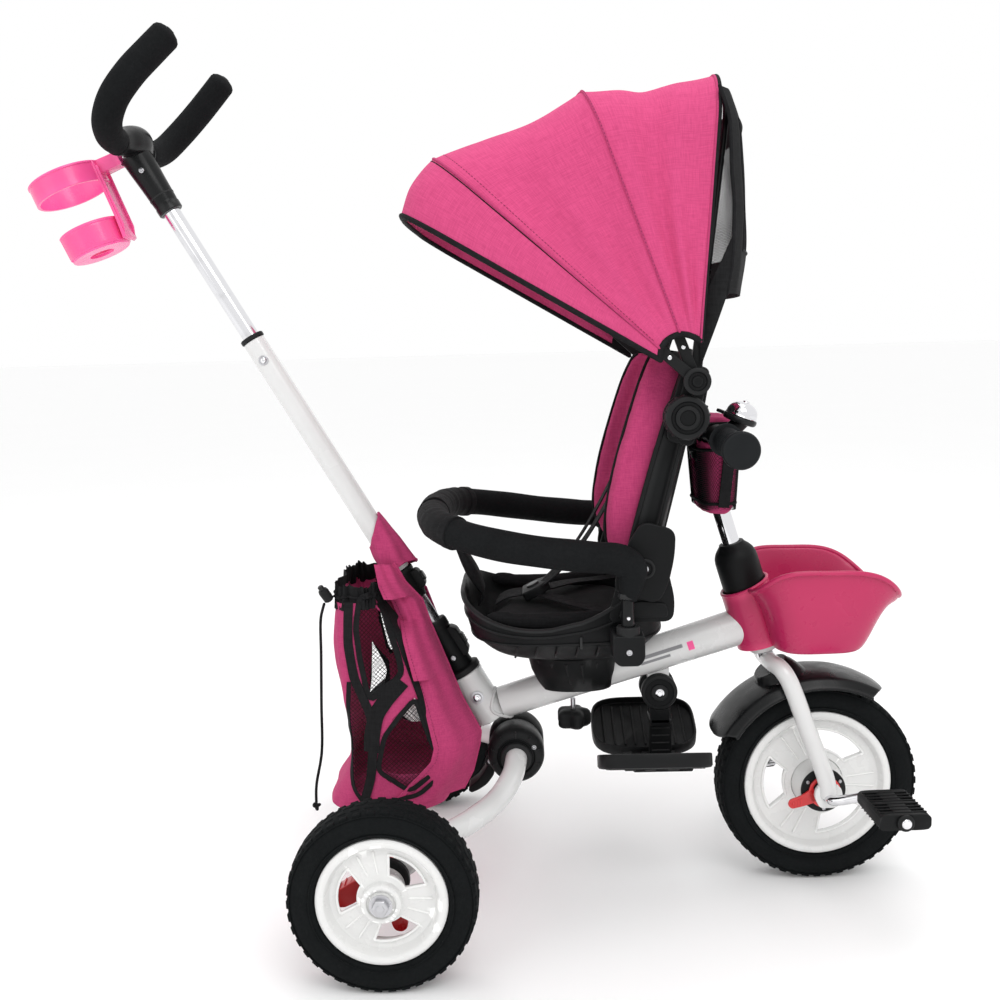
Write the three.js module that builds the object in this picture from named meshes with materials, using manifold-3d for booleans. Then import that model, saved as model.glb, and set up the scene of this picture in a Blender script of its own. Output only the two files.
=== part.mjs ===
// Children's push tricycle: steel frame, steered front wheel, folding rear fork,
// reversible seat with recline, folding canopy, telescopic steering push pole.
// Units mm.  +X towards the front wheel, +Y to the rider-frame left, +Z up.
import * as THREE from 'three';
import { mergeVertices } from 'three/addons/utils/BufferGeometryUtils.js';
import Module from 'manifold-3d';

const wasm = await Module();
wasm.setup();
const { Manifold, Mesh: MfMesh } = wasm;
const V = (x, y, z) => new THREE.Vector3(x, y, z);
const RAD = Math.PI / 180;

// ---------------------------------------------------------------- driving dimensions
const GAP = 0.3;                       // clearance between separate pieces
const ROUNDNESS = 0.72;                // share of the nominal facet count used on round bars
const ORIGIN_X = 117.5;                // distance from rear axle to the middle of the overall length
// wheels
const REAR_R = 105, REAR_W = 48, REAR_Y = 242, REAR_RIM_R = 73;
const FRONT_R = 127.9, FRONT_Z = 128, FRONT_W = 46, FRONT_RIM_R = 95, FRONT_X = 534;
// frame
const MAIN_A = V(112, 0, 233.6), MAIN_B = V(458, 0, 340.5), MAIN_R0 = 20.5, MAIN_R1 = 23.5;
const POLE_P0 = V(83, 0, 281), POLE_U = V(-0.5, 0, 0.8660254);
const SOCKET_R = 21.75, SOCKET_LEN = 104;
const FOLD_C = V(147, 0, 181), FOLD_R = 36, FOLD_HW = 45, ARM_R = 14;
const SEAT_X = 222;                    // vertical seat swivel axis
// steering
const STEER_P = V(468.3, 0, 303.7), STEER_D = V(-0.29237, 0, 0.95630), STEER_R = 11, STEER_TURN = 2.4;
// push pole, distances along the pole axis from the top of the socket
const COLLAR_R = 23, SLEEVE_R = 15, SLEEVE_TOP = 79, LOWER_R = 11, CONN_0 = 115, CONN_1 = 158;
const OUTER_R = 14, OUTER_TOP = 498, INNER_R = 10.6, HUB_0 = 681, HUB_1 = 776;
// footrest
const FOOT_PIVOT = V(332, 0, 254), FOOT_Z = 152, FOOT_TILT = 22;
// seat
const RECLINE_P = V(300.7, 0, 443), LEAN = 16;
const BAR_R = 18, BAR_HALF = 162;
// canopy
const CAN_P = V(357.6, 0, 654);

// ---------------------------------------------------------------- helpers
function solid(geometry) {
  let g = geometry.clone();
  for (const n of Object.keys(g.attributes)) if (n !== 'position') g.deleteAttribute(n);
  g = mergeVertices(g, 1e-4);
  const pos = g.attributes.position.array, idx = [];
  const src = g.index.array;
  for (let i = 0; i < src.length; i += 3) {
    const [a, b, c] = [src[i], src[i + 1], src[i + 2]];
    if (a !== b && b !== c && a !== c) idx.push(a, b, c);
  }
  let vol = 0;
  const p = (i) => V(pos[3 * i], pos[3 * i + 1], pos[3 * i + 2]);
  for (let i = 0; i < idx.length; i += 3) vol += p(idx[i]).dot(p(idx[i + 1]).cross(p(idx[i + 2])));
  if (vol < 0) for (let i = 0; i < idx.length; i += 3) [idx[i + 1], idx[i + 2]] = [idx[i + 2], idx[i + 1]];
  return new Manifold(new MfMesh({ numProp: 3, vertProperties: new Float32Array(pos), triVerts: new Uint32Array(idx) }));
}
function geometryOf(m) {
  const mesh = m.getMesh();
  const g = new THREE.BufferGeometry();
  g.setAttribute('position', new THREE.BufferAttribute(new Float32Array(mesh.vertProperties), 3));
  g.setIndex(new THREE.BufferAttribute(new Uint32Array(mesh.triVerts), 1));
  g.computeVertexNormals();
  return g;
}
const moved = (m, matrix) => m.transform(Array.from(matrix.elements));
const shift = (m, x, y, z) => m.translate([x, y, z]);
function frameAt(origin, dir) {        // local Z along dir, local Y kept near world Y
  const z = dir.clone().normalize();
  const y0 = Math.abs(z.y) > 0.9 ? V(0, 0, 1) : V(0, 1, 0);
  const x = y0.clone().cross(z).normalize();
  const y = z.clone().cross(x);
  return new THREE.Matrix4().makeBasis(x, y, z).setPosition(origin);
}
function rod(a, b, r0, r1 = r0, facets = 24) {
  const seg = Math.max(8, Math.round(facets * ROUNDNESS));
  const h = a.distanceTo(b);
  const g = new THREE.CylinderGeometry(r1, r0, h, seg).rotateX(Math.PI / 2).translate(0, 0, h / 2);
  return moved(solid(g), frameAt(a, b.clone().sub(a)));
}
function pipe(a, b, r, bore, seg = 24) {
  const d = b.clone().sub(a).normalize();
  return rod(a, b, r, r, seg).subtract(rod(a.clone().addScaledVector(d, -2), b.clone().addScaledVector(d, 2), bore, bore, seg));
}
function revolve(profile, a, dir, seg = 32) {   // profile [radius, height] about an axis
  const g = new THREE.LatheGeometry(profile.map(([r, h]) => new THREE.Vector2(r, h)), seg).rotateX(Math.PI / 2);
  return moved(solid(g), frameAt(a, dir));
}
function ringClosed(profile) { return [...profile, profile[0]]; }
function box(x0, x1, y0, y1, z0, z1) {
  return solid(new THREE.BoxGeometry(x1 - x0, y1 - y0, z1 - z0).translate((x0 + x1) / 2, (y0 + y1) / 2, (z0 + z1) / 2));
}
function loft(rings) {                 // rings of equal point count, fan caps
  const n = rings[0].length, pos = [], idx = [];
  for (const ring of rings) for (const p of ring) pos.push(p.x, p.y, p.z);
  for (let k = 0; k + 1 < rings.length; k++) for (let i = 0; i < n; i++) {
    const j = (i + 1) % n, a = k * n + i, b = k * n + j, c = (k + 1) * n + j, d = (k + 1) * n + i;
    idx.push(a, b, c, a, c, d);
  }
  for (const k of [0, rings.length - 1]) {
    const c = rings[k].reduce((s, p) => s.add(p), V(0, 0, 0)).multiplyScalar(1 / n);
    const ci = pos.length / 3; pos.push(c.x, c.y, c.z);
    for (let i = 0; i < n; i++) {
      const j = (i + 1) % n;
      if (k === 0) idx.push(ci, k * n + j, k * n + i); else idx.push(ci, k * n + i, k * n + j);
    }
  }
  const g = new THREE.BufferGeometry();
  g.setAttribute('position', new THREE.Float32BufferAttribute(pos, 3)); g.setIndex(idx);
  return solid(g);
}
function sweep(points, radius, { seg = 12, steps = 24, flat = 1, round = 0 } = {}) {
  const curve = new THREE.CatmullRomCurve3(points, false, 'centripetal');
  const pts = curve.getPoints(steps), rings = [];
  let up = V(0, 0, 1);
  for (let k = 0; k < pts.length; k++) {
    const t = (k === 0 ? pts[1].clone().sub(pts[0]) : k === pts.length - 1 ? pts[k].clone().sub(pts[k - 1])
      : pts[k + 1].clone().sub(pts[k - 1])).normalize();
    if (k === 0 && Math.abs(t.z) > 0.9) up = V(1, 0, 0);
    up = up.clone().addScaledVector(t, -up.dot(t)).normalize();
    const side = t.clone().cross(up);
    const r = typeof radius === 'function' ? radius(k / (pts.length - 1)) : radius;
    const ring = [];
    for (let i = 0; i < seg; i++) {
      const a = (i + 0.5) / seg * 2 * Math.PI;
      ring.push(pts[k].clone().addScaledVector(side, r * flat * Math.cos(a)).addScaledVector(up, r * Math.sin(a)));
    }
    rings.push(ring);
  }
  if (round) {                         // rounded ends
    for (const end of [0, rings.length - 1]) {
      const c = rings[end].reduce((s, p) => s.add(p), V(0, 0, 0)).multiplyScalar(1 / seg);
      const q = rings[end === 0 ? 1 : end - 1].reduce((s, p) => s.add(p), V(0, 0, 0)).multiplyScalar(1 / seg);
      const d = c.clone().sub(q).normalize();
      const cap = [0.5, 0.866].map((h) => rings[end].map((p) => p.clone().sub(c).multiplyScalar(Math.sqrt(1 - h * h)).add(c).addScaledVector(d, h * round)));
      if (end === 0) rings.unshift(cap[1], cap[0]); else rings.push(cap[0], cap[1]);
    }
  }
  return loft(rings);
}
function superRing(x0, x1, hw, z, n = 28, p = 0.6) {      // rounded rectangle in plan
  const cx = (x0 + x1) / 2, a = (x1 - x0) / 2, ring = [];
  for (let i = 0; i < n; i++) {
    const t = (i + 0.5) / n * 2 * Math.PI, c = Math.cos(t), s = Math.sin(t);
    const zz = typeof z === 'function' ? z(c, s) : z;
    ring.push(V(cx + a * Math.sign(c) * Math.abs(c) ** p, hw * Math.sign(s) * Math.abs(s) ** p, zz));
  }
  return ring;
}
function slab(outline, y0, y1) {       // outline [x,z] extruded along Y
  const s = new THREE.Shape(outline.map(([x, z]) => new THREE.Vector2(x, z)));
  const g = new THREE.ExtrudeGeometry(s, { depth: y1 - y0, bevelEnabled: false, curveSegments: 8 });
  g.applyMatrix4(new THREE.Matrix4().set(1, 0, 0, 0, 0, 0, -1, y1, 0, 1, 0, 0, 0, 0, 0, 1));
  return solid(g);
}
function thick(grid, t) {              // closed shell of thickness t about an open grid of points
  const nu = grid.length, nv = grid[0].length;
  const normal = (i, j) => {
    const a = grid[Math.min(i + 1, nu - 1)][j].clone().sub(grid[Math.max(i - 1, 0)][j]);
    const b = grid[i][Math.min(j + 1, nv - 1)].clone().sub(grid[i][Math.max(j - 1, 0)]);
    return a.cross(b).normalize();
  };
  const pos = [], idx = [], id = (s, i, j) => s * nu * nv + i * nv + j;
  for (const s of [0, 1]) for (let i = 0; i < nu; i++) for (let j = 0; j < nv; j++) {
    const q = grid[i][j].clone().addScaledVector(normal(i, j), s ? -t : 0); pos.push(q.x, q.y, q.z);
  }
  const quad = (a, b, c, d) => idx.push(a, b, c, a, c, d);
  for (let i = 0; i + 1 < nu; i++) for (let j = 0; j + 1 < nv; j++) {
    quad(id(0, i, j), id(0, i + 1, j), id(0, i + 1, j + 1), id(0, i, j + 1));
    quad(id(1, i, j), id(1, i, j + 1), id(1, i + 1, j + 1), id(1, i + 1, j));
  }
  for (let i = 0; i + 1 < nu; i++) {
    quad(id(0, i, 0), id(1, i, 0), id(1, i + 1, 0), id(0, i + 1, 0));
    quad(id(0, i, nv - 1), id(0, i + 1, nv - 1), id(1, i + 1, nv - 1), id(1, i, nv - 1));
  }
  for (let j = 0; j + 1 < nv; j++) {
    quad(id(0, 0, j), id(0, 0, j + 1), id(1, 0, j + 1), id(1, 0, j));
    quad(id(0, nu - 1, j), id(1, nu - 1, j), id(1, nu - 1, j + 1), id(0, nu - 1, j + 1));
  }
  const g = new THREE.BufferGeometry();
  g.setAttribute('position', new THREE.Float32BufferAttribute(pos, 3)); g.setIndex(idx);
  return solid(g);
}
const mirrorY = (m) => m.mirror([0, 1, 0]);
const alongPole = (t) => POLE_P0.clone().addScaledVector(POLE_U, t);
const alongSteer = (t) => STEER_P.clone().addScaledVector(STEER_D, t);
const turnSteer = new THREE.Matrix4().makeTranslation(STEER_P.x, 0, STEER_P.z)
  .multiply(new THREE.Matrix4().makeRotationAxis(STEER_D, STEER_TURN * RAD))
  .multiply(new THREE.Matrix4().makeTranslation(-STEER_P.x, 0, -STEER_P.z));

const group = new THREE.Group();
group.name = 'push_tricycle';
function add(name, m, color, roughness = 0.5, metalness = 0) {
  const mesh = new THREE.Mesh(geometryOf(shift(m, -ORIGIN_X, 0, 0)), new THREE.MeshStandardMaterial({ color, roughness, metalness }));
  mesh.name = name; mesh.material.name = 'mat_' + name;
  group.add(mesh);
  return m;
}
const WHITE = 0xf0f0ef, BLACK = 0x191a1c, CHROME = 0xc8c9cc, PINK = 0xc44683, LINER = 0xa83c69, HOT = 0xf54b96, TUB = 0xcd326e, RED = 0xc01822, RUBBER = 0x141416;

// ---------------------------------------------------------------- main frame
const socketEnd = alongPole(-SOCKET_LEN);
const foldBarrel = rod(V(FOLD_C.x, -FOLD_HW, FOLD_C.z), V(FOLD_C.x, FOLD_HW, FOLD_C.z), FOLD_R, FOLD_R, 32);
const foldBarrelBig = rod(V(FOLD_C.x, -FOLD_HW - 1, FOLD_C.z), V(FOLD_C.x, FOLD_HW + 1, FOLD_C.z), FOLD_R + GAP, FOLD_R + GAP, 32);
add('pole_socket', pipe(socketEnd, POLE_P0, SOCKET_R, SLEEVE_R + 0.6, 28).subtract(foldBarrelBig), WHITE, 0.25);
const headAxisBig = rod(alongSteer(-6), alongSteer(66), 17.5 + GAP, 17.5 + GAP, 32);
add('head_tube', pipe(alongSteer(0), alongSteer(58), 17.5, STEER_R + 0.4, 32), WHITE, 0.25);
const mainBig = rod(MAIN_A.clone().addScaledVector(MAIN_B.clone().sub(MAIN_A), -0.1), MAIN_B, MAIN_R0 + GAP, MAIN_R1 + GAP, 32);
{
  let m = rod(MAIN_A, MAIN_B, MAIN_R0, MAIN_R1, 32)
    .add(rod(V(SEAT_X, 0, 236), V(SEAT_X, 0, 262), 7, 7, 16));
  m = m.subtract(rod(MAIN_A.clone().addScaledVector(MAIN_B.clone().sub(MAIN_A), -0.1), MAIN_B.clone().addScaledVector(MAIN_B.clone().sub(MAIN_A), 0.1), MAIN_R0 - 2.4, MAIN_R1 - 2.4, 32))
    .add(rod(V(SEAT_X, 0, 236), V(SEAT_X, 0, 250), 7, 7, 16))
    .subtract(rod(V(SEAT_X, 0, 230), V(SEAT_X, 0, 246), 3.5, 3.5, 12))
    .subtract(rod(alongPole(-130), alongPole(20), SOCKET_R + GAP, SOCKET_R + GAP, 28))
    .subtract(headAxisBig).subtract(foldBarrelBig);
  const parts = m.decompose().sort((a, b) => b.volume() - a.volume());
  add('main_tube', parts[0], WHITE, 0.25);
}
add('fold_housing', foldBarrel.subtract(rod(V(FOLD_C.x, -60, FOLD_C.z), V(FOLD_C.x, 60, FOLD_C.z), ARM_R + 1, ARM_R + 1, 28))
  .add(rod(V(113, -8, 165), V(113, 8, 165), 7, 7, 16).subtract(rod(V(113, -12, 165), V(113, 12, 165), 3.4, 3.4, 12))
    .subtract(foldBarrel.scale([1, 1, 1]))), BLACK, 0.45);
add('fold_lever', slab([[109, 159], [119, 160], [117, 146], [100, 128], [86, 122], [84, 130], [96, 138], [105, 150]], -14, 14)
  .add(rod(V(113, 8.5, 165), V(113, 14, 165), 7, 7, 16)).add(rod(V(113, -14, 165), V(113, -8.5, 165), 7, 7, 16))
  .add(rod(V(113, -14, 165), V(113, 14, 165), 3, 3, 12))
  .subtract(box(100, 130, -8.4, 8.4, 157, 180).subtract(rod(V(113, -14, 165), V(113, 14, 165), 3, 3, 12)))
  .subtract(rod(V(FOLD_C.x, -60, FOLD_C.z), V(FOLD_C.x, 60, FOLD_C.z), FOLD_R + 3.5, FOLD_R + 3.5, 32)), BLACK, 0.45);
add('seat_saddle', loft([superRing(SEAT_X - 42, SEAT_X + 50, 34, 262, 24, 0.8), superRing(SEAT_X - 54, SEAT_X + 56, 52, 288, 24, 0.9), superRing(SEAT_X - 57, SEAT_X + 57, 57, 312, 24, 1)])
  .subtract(mainBig).decompose().sort((a, b) => b.volume() - a.volume())[0], BLACK, 0.5);
{ // star knob clamping the seat post from below
  const pts = [];
  for (let i = 0; i < 30; i++) { const a = i / 30 * 2 * Math.PI; const r = 20 + 3 * Math.cos(5 * a); pts.push(V(SEAT_X + r * Math.cos(a), r * Math.sin(a), 0)); }
  const at = (z, k) => pts.map((p) => V(SEAT_X + (p.x - SEAT_X) * k, p.y * k, z));
  add('seat_knob', loft([at(206, 0.8), at(209, 1), at(225, 1), at(229, 0.55)]).add(rod(V(SEAT_X, 0, 228), V(SEAT_X, 0, 243), 3, 3, 12)), BLACK, 0.5);
}
add('footrest_bracket', rod(V(FOOT_PIVOT.x, -8, FOOT_PIVOT.z), V(FOOT_PIVOT.x, 8, FOOT_PIVOT.z), 14, 14, 24)
  .add(box(FOOT_PIVOT.x - 14, FOOT_PIVOT.x + 14, -8, 8, FOOT_PIVOT.z, 300))
  .subtract(rod(V(FOOT_PIVOT.x, -12, FOOT_PIVOT.z), V(FOOT_PIVOT.x, 12, FOOT_PIVOT.z), 4.4, 4.4, 16))
  .subtract(mainBig).decompose().sort((a, b) => a.boundingBox().min[2] - b.boundingBox().min[2])[0], WHITE, 0.25);

// ---------------------------------------------------------------- rear fork, wheels, brakes
{
  const half = [V(FOLD_C.x, 0, FOLD_C.z), V(FOLD_C.x, -28, FOLD_C.z), V(FOLD_C.x, -50, FOLD_C.z), V(142, -76, 170), V(124, -106, 153), V(93, -148, 145), V(64, -174, 139), V(30, -190, 122), V(8, -196, 109), V(1, -201, 105)];
  const full = [...half.slice(1).reverse(), half[0], ...half.slice(1).map((p) => V(p.x, -p.y, p.z))];
  let m = sweep(full, ARM_R - 0.2, { seg: 10, steps: 30 });
  m = m.add(rod(V(0, -209, 105), V(0, -190, 105), 13, 13, 20)).add(rod(V(0, 190, 105), V(0, 209, 105), 13, 13, 20));
  for (const s of [-1, 1]) m = m.add(rod(V(0, s * 200, 105), V(0, s * 272, 105), 5, 5, 16)).add(rod(V(0, s * 269.5, 105), V(0, s * 276, 105), 9, 9, 6));
  m = m.intersect(box(-60, 200, -276, 276, 40, 260));
  add('rear_arm_tube', m, WHITE, 0.25);
}
function tyre(R, inner, w) {
  const h = w / 2;
  return ringClosed([[inner, -h * 0.72], [inner + (R - inner) * 0.35, -h * 0.97], [inner + (R - inner) * 0.7, -h], [R - 3.5, -h * 0.72], [R, -h * 0.4], [R, h * 0.4], [R - 3.5, h * 0.72],
    [inner + (R - inner) * 0.7, h], [inner + (R - inner) * 0.35, h * 0.97], [inner, h * 0.72]]);
}
function rimSolid(centre, rimR, w, bore, hubR, faceOut, windows, outward, bossOut) {
  // outward = -1 for the right hand wheel, +1 for the left hand one
  const h = w * 0.36, d = V(0, outward, 0);
  let m = revolve([[bore, -h - 4], [hubR, -h - 4], [hubR, 4], [rimR - 12, 6], [rimR - 12, -h], [rimR, -h], [rimR, h + 2], [rimR - 11, h + 3], [rimR - 15, h - 6], [rimR - 20, 12],
    [hubR + 6, 12], [hubR, bossOut - 2], [hubR - 4, bossOut], [bore, bossOut], [bore, -h - 4]], centre, d, 28);
  for (const a0 of windows) {
    const pts = [], r0 = hubR + 5, r1 = rimR - 22, aw = 33 * RAD;
    for (let i = 0; i <= 5; i++) { const a = a0 * RAD - aw + 2 * aw * i / 5; pts.push([centre.x + r1 * Math.cos(a), centre.z + r1 * Math.sin(a)]); }
    for (let i = 2; i >= 0; i--) { const a = a0 * RAD - aw * 0.8 + 1.6 * aw * i / 2; pts.push([centre.x + r0 * Math.cos(a), centre.z + r0 * Math.sin(a)]); }
    m = m.subtract(slab(pts, centre.y - 40, centre.y + 40));
  }
  return m;
}
for (const s of [-1, 1]) {
  const side = s < 0 ? 'right' : 'left', c = V(0, s * REAR_Y, REAR_R);
  add('rear_tyre_' + side, revolve(tyre(REAR_R, REAR_RIM_R + GAP, REAR_W), c, V(0, s, 0), 28), RUBBER, 0.9);
  add('rear_rim_' + side, rimSolid(c, REAR_RIM_R, REAR_W, 5.5, 21, 0, [49, 169, 289], s, 25), WHITE, 0.3);
  const yy = (a, b) => (s < 0 ? [-b, -a] : [a, b]);
  const [b0, b1] = yy(180, 206), [f0, f1] = yy(196, 204);
  let bp = slab([[-16, 92], [-20, 106], [-60, 86], [-64, 74], [-52, 68], [-30, 82]], b0, b1)
    .add(slab([[-6, 88], [8, 88], [20, 52], [14, 38], [2, 44]], f0, f1))
    .add(rod(V(0, s * 190, 105), V(0, s * 204, 105), 20, 20, 24))
    .subtract(rod(V(0, s * 170, 105), V(0, s * 215, 105), 14.2, 14.2, 24));
  const armBig = sweep([V(143, s * 72, 170), V(124, s * 106, 153), V(93, s * 148, 145), V(64, s * 174, 139), V(30, s * 190, 122), V(8, s * 196, 109), V(1, s * 201, 105)], ARM_R + 1.6, { seg: 10, steps: 14 });
  bp = bp.subtract(armBig).decompose().sort((a, b) => b.volume() - a.volume())[0];
  add('brake_pedal_' + side, bp, RED, 0.4);
}

// ---------------------------------------------------------------- steering assembly (built straight, then turned)
const wheelC = V(FRONT_X, 0, FRONT_Z);
const addS = (name, m, ...rest) => { add(name, moved(m, turnSteer), ...rest); return m; };
const legs = [V(533.5, -60, 134), V(532, -60, 146), V(508, -55.5, 215), V(486, -51, 276), V(478, -42, 289), V(473, -26, 291), V(472.3, 0, 291), V(473, 26, 291), V(478, 42, 289), V(486, 51, 276), V(508, 55.5, 215), V(532, 60, 146), V(533.5, 60, 134)];
let fork = sweep(legs, 11, { seg: 10, steps: 26 });
for (const s of [-1, 1]) {
  const y = s * 60;
  fork = fork.add(slab([[520, 140], [548, 140], [551, 128], [544, 114], [524, 114], [517, 128]], Math.min(y - s * 4, y + s * 4), Math.max(y - s * 4, y + s * 4)));
  fork = fork.subtract(rod(V(FRONT_X, y - 20, FRONT_Z), V(FRONT_X, y + 20, FRONT_Z), 7.2, 7.2, 16));
}
fork = fork.intersect(box(440, 600, -75, 75, 110, 330));
addS('front_fork', fork, WHITE, 0.25);
const forkBig = sweep(legs, 11.7, { seg: 10, steps: 26 });
addS('steerer_tube', rod(alongSteer(-12), alongSteer(262), STEER_R, STEER_R, 24).subtract(forkBig).decompose().sort((a, b) => b.volume() - a.volume())[0], WHITE, 0.25);
addS('stem_boot', revolve([[STEER_R + 0.4, 62], [27, 62], [27.5, 80], [27, 126], [24, 138], [17, 146], [STEER_R + 0.4, 146], [STEER_R + 0.4, 62]], STEER_P, STEER_D, 22), BLACK, 0.5);
{ // fender: arc shell round the wheel plus a neck up to the steering bearing
  const rings = [];
  const a0 = 58 * RAD, a1 = 152 * RAD, N = 14;
  for (let k = 0; k <= N; k++) {
    const a = a0 + (a1 - a0) * k / N, c = V(FRONT_X, 0, FRONT_Z), e = V(Math.cos(a), 0, Math.sin(a));
    const flare = 1 + 0.1 * Math.cos((k / N) * Math.PI), w = 39 + 4 * (1 - Math.sin(k / N * Math.PI));
    const prof = [[-w, 137], [-w - 1.5, 133], [-w - 4, 133.5], [-w - 2, 142], [-w * 0.6, 147], [0, 148.5], [w * 0.6, 147], [w + 2, 142], [w + 4, 133.5], [w + 1.5, 133], [w, 137], [w * 0.6, 141.5], [0, 143.5], [-w * 0.6, 141.5]];
    rings.push(prof.map(([y, r]) => c.clone().addScaledVector(e, r).add(V(0, y, 0))));
  }
  let m = loft(rings);
  const neck = rod(V(494, 0, 262), alongSteer(-26), 30, 24, 24);
  m = m.add(neck.subtract(rod(V(FRONT_X, -60, FRONT_Z), V(FRONT_X, 60, FRONT_Z), 146, 146, 56)));
  m = m.subtract(forkBig).decompose().sort((a, b) => b.volume() - a.volume())[0];
  addS('front_fender', m, BLACK, 0.45);
}
{ // basket
  const rim = (c, s) => 396 + (c > 0 ? -18 * c * c : -8 * c * c) + 24 * s * s * (1 - 0.4 * c);
  const outer = loft([superRing(478, 572, 60, 311, 24, 0.55), superRing(470, 584, 67, 318, 24, 0.5), superRing(457, 604, 80, 360, 24, 0.5), superRing(446, 619, 88, (c, s) => rim(c, s) - 9, 24, 0.5), superRing(440, 624, 92, rim, 24, 0.5)]);
  const inner = loft([superRing(482, 568, 57, 315, 24, 0.55), superRing(474, 580, 64, 322, 24, 0.5), superRing(461, 600, 76.5, 362, 24, 0.5), superRing(450, 615, 84.5, (c, s) => rim(c, s) - 8, 24, 0.5), superRing(446, 618, 86, (c, s) => rim(c, s) + 12, 24, 0.5)]);
  const hole = rod(alongSteer(-20), alongSteer(200), 31, 31, 28), core = rod(alongSteer(-20), alongSteer(200), 28.2, 28.2, 28);
  const wall = rod(alongSteer(-21), alongSteer(201), 31.6, 31.6, 28).subtract(core);
  let m = outer.subtract(inner).subtract(hole).add(outer.intersect(wall));
  m = m.decompose().sort((a, b) => b.volume() - a.volume())[0];
  addS('front_basket', m, TUB, 0.35);
}
const barPts = [V(391, -196, 578), V(392, -150, 580), V(393, -100, 584), V(389, -55, 586), V(386.5, 0, 584), V(389, 55, 586), V(393, 100, 584), V(392, 150, 580), V(391, 196, 578)];
addS('handlebar', sweep(barPts, 10, { seg: 12, steps: 20 }).add(rod(alongSteer(264), alongSteer(300), 15, 15, 24)).subtract(rod(alongSteer(255), alongSteer(262.5), 18, 18, 24)), BLACK, 0.45);
for (const s of [-1, 1]) {
  const side = s < 0 ? 'right' : 'left';
  const y = (v) => s * v;
  let m = sweep([V(392.6, y(112), 583), V(392, y(150), 580), V(391, y(200), 577.8)], 15.5, { seg: 14, steps: 5 })
    .add(rod(V(391.1, y(194), 578.1), V(391, y(201), 577.8), 20.5, 20.5, 24)).add(rod(V(392.6, y(112), 583), V(392.7, y(117), 582.7), 19, 19, 24));
  m = m.subtract(sweep([V(393, y(95), 584.3), ...(s < 0 ? [V(393, -100, 584), V(392, -150, 580), V(391, -198, 578)] : [V(393, 100, 584), V(392, 150, 580), V(391, 198, 578)])], 11.1, { seg: 12, steps: 8 }));
  addS('grip_' + side, m.decompose().sort((a, b) => b.volume() - a.volume())[0], 0x3a3c3e, 0.7);
}
{ // soft pouch hung behind the stem from the bar
  let m = loft([superRing(387, 414, 44, 486, 24, 0.5), superRing(381, 424, 52, 500, 24, 0.5), superRing(377, 428, 56, 560, 24, 0.5), superRing(374, 424, 57, 598, 24, 0.5), superRing(379, 418, 52, 606, 24, 0.6)]);
  m = m.subtract(rod(alongSteer(150), alongSteer(256), 13, 13, 20)).subtract(rod(alongSteer(254), alongSteer(306), 17, 17, 24)).subtract(sweep(barPts, 11.8, { seg: 10, steps: 20 }));
  m = m.decompose().sort((a, b) => b.volume() - a.volume())[0];
  addS('bar_pouch', m, PINK, 0.9);
}
const bellC = V(416, -86, 605), bellUp = V(0.35, -0.1, 0.93).normalize();
{
  let m = rod(V(392.8, -96, 584.2), V(391, -78, 585), 14.5, 14.5, 20).add(rod(V(398, -86, 590), bellC.clone().addScaledVector(bellUp, -3), 9, 12, 16))
    .add(rod(bellC.clone().addScaledVector(bellUp, -4), bellC.clone().addScaledVector(bellUp, 3), 19, 20, 24));
  m = m.subtract(sweep(barPts, 10.9, { seg: 12, steps: 20 }));
  addS('bell_base', m.decompose().sort((a, b) => b.volume() - a.volume())[0], BLACK, 0.4);
  addS('bell_dome', revolve([[0, 3.7], [18.5, 3.7], [18.5, 8], [16, 15], [11, 19.5], [4, 21.5], [0, 21.7]], bellC, bellUp, 20), CHROME, 0.1, 1);
}
addS('front_tyre', revolve(tyre(FRONT_R, FRONT_RIM_R + GAP, FRONT_W), wheelC, V(0, -1, 0), 32), RUBBER, 0.9);
{
  const h = 15;
  let m = revolve([[7, -38], [24, -38], [26, -14], [FRONT_RIM_R - 24, -8], [FRONT_RIM_R - 12, -h - 2], [FRONT_RIM_R, -h - 2], [FRONT_RIM_R, h + 2], [FRONT_RIM_R - 11, h + 3], [FRONT_RIM_R - 16, h - 4], [FRONT_RIM_R - 26, 4],
    [34, 6], [30, 30], [26, 38], [7, 38], [7, -38]], wheelC, V(0, -1, 0), 32);
  for (const a0 of [60, 180, 300]) {
    const pts = [], r0 = 42, r1 = FRONT_RIM_R - 24, aw = 30 * RAD;
    for (let i = 0; i <= 5; i++) { const a = a0 * RAD - aw + 2 * aw * i / 5; pts.push([wheelC.x + r1 * Math.cos(a), wheelC.z + r1 * Math.sin(a)]); }
    for (let i = 2; i >= 0; i--) { const a = a0 * RAD - aw * 0.75 + 1.5 * aw * i / 2; pts.push([wheelC.x + r0 * Math.cos(a), wheelC.z + r0 * Math.sin(a)]); }
    m = m.subtract(slab(pts, -40, 40));
  }
  addS('front_rim', m, WHITE, 0.3);
}
addS('clutch_knob', rod(V(FRONT_X, -48.2, FRONT_Z), V(FRONT_X, -45, FRONT_Z), 20, 20, 20)
  .add(slab([[FRONT_X - 16, FRONT_Z + 4], [FRONT_X - 14, FRONT_Z - 12], [FRONT_X - 42, FRONT_Z - 20], [FRONT_X - 45, FRONT_Z - 10]], -48.2, -45))
  .subtract(rod(V(FRONT_X, -60, FRONT_Z), V(FRONT_X, -40, FRONT_Z), 9.5, 9.5, 20)), RED, 0.4);
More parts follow.
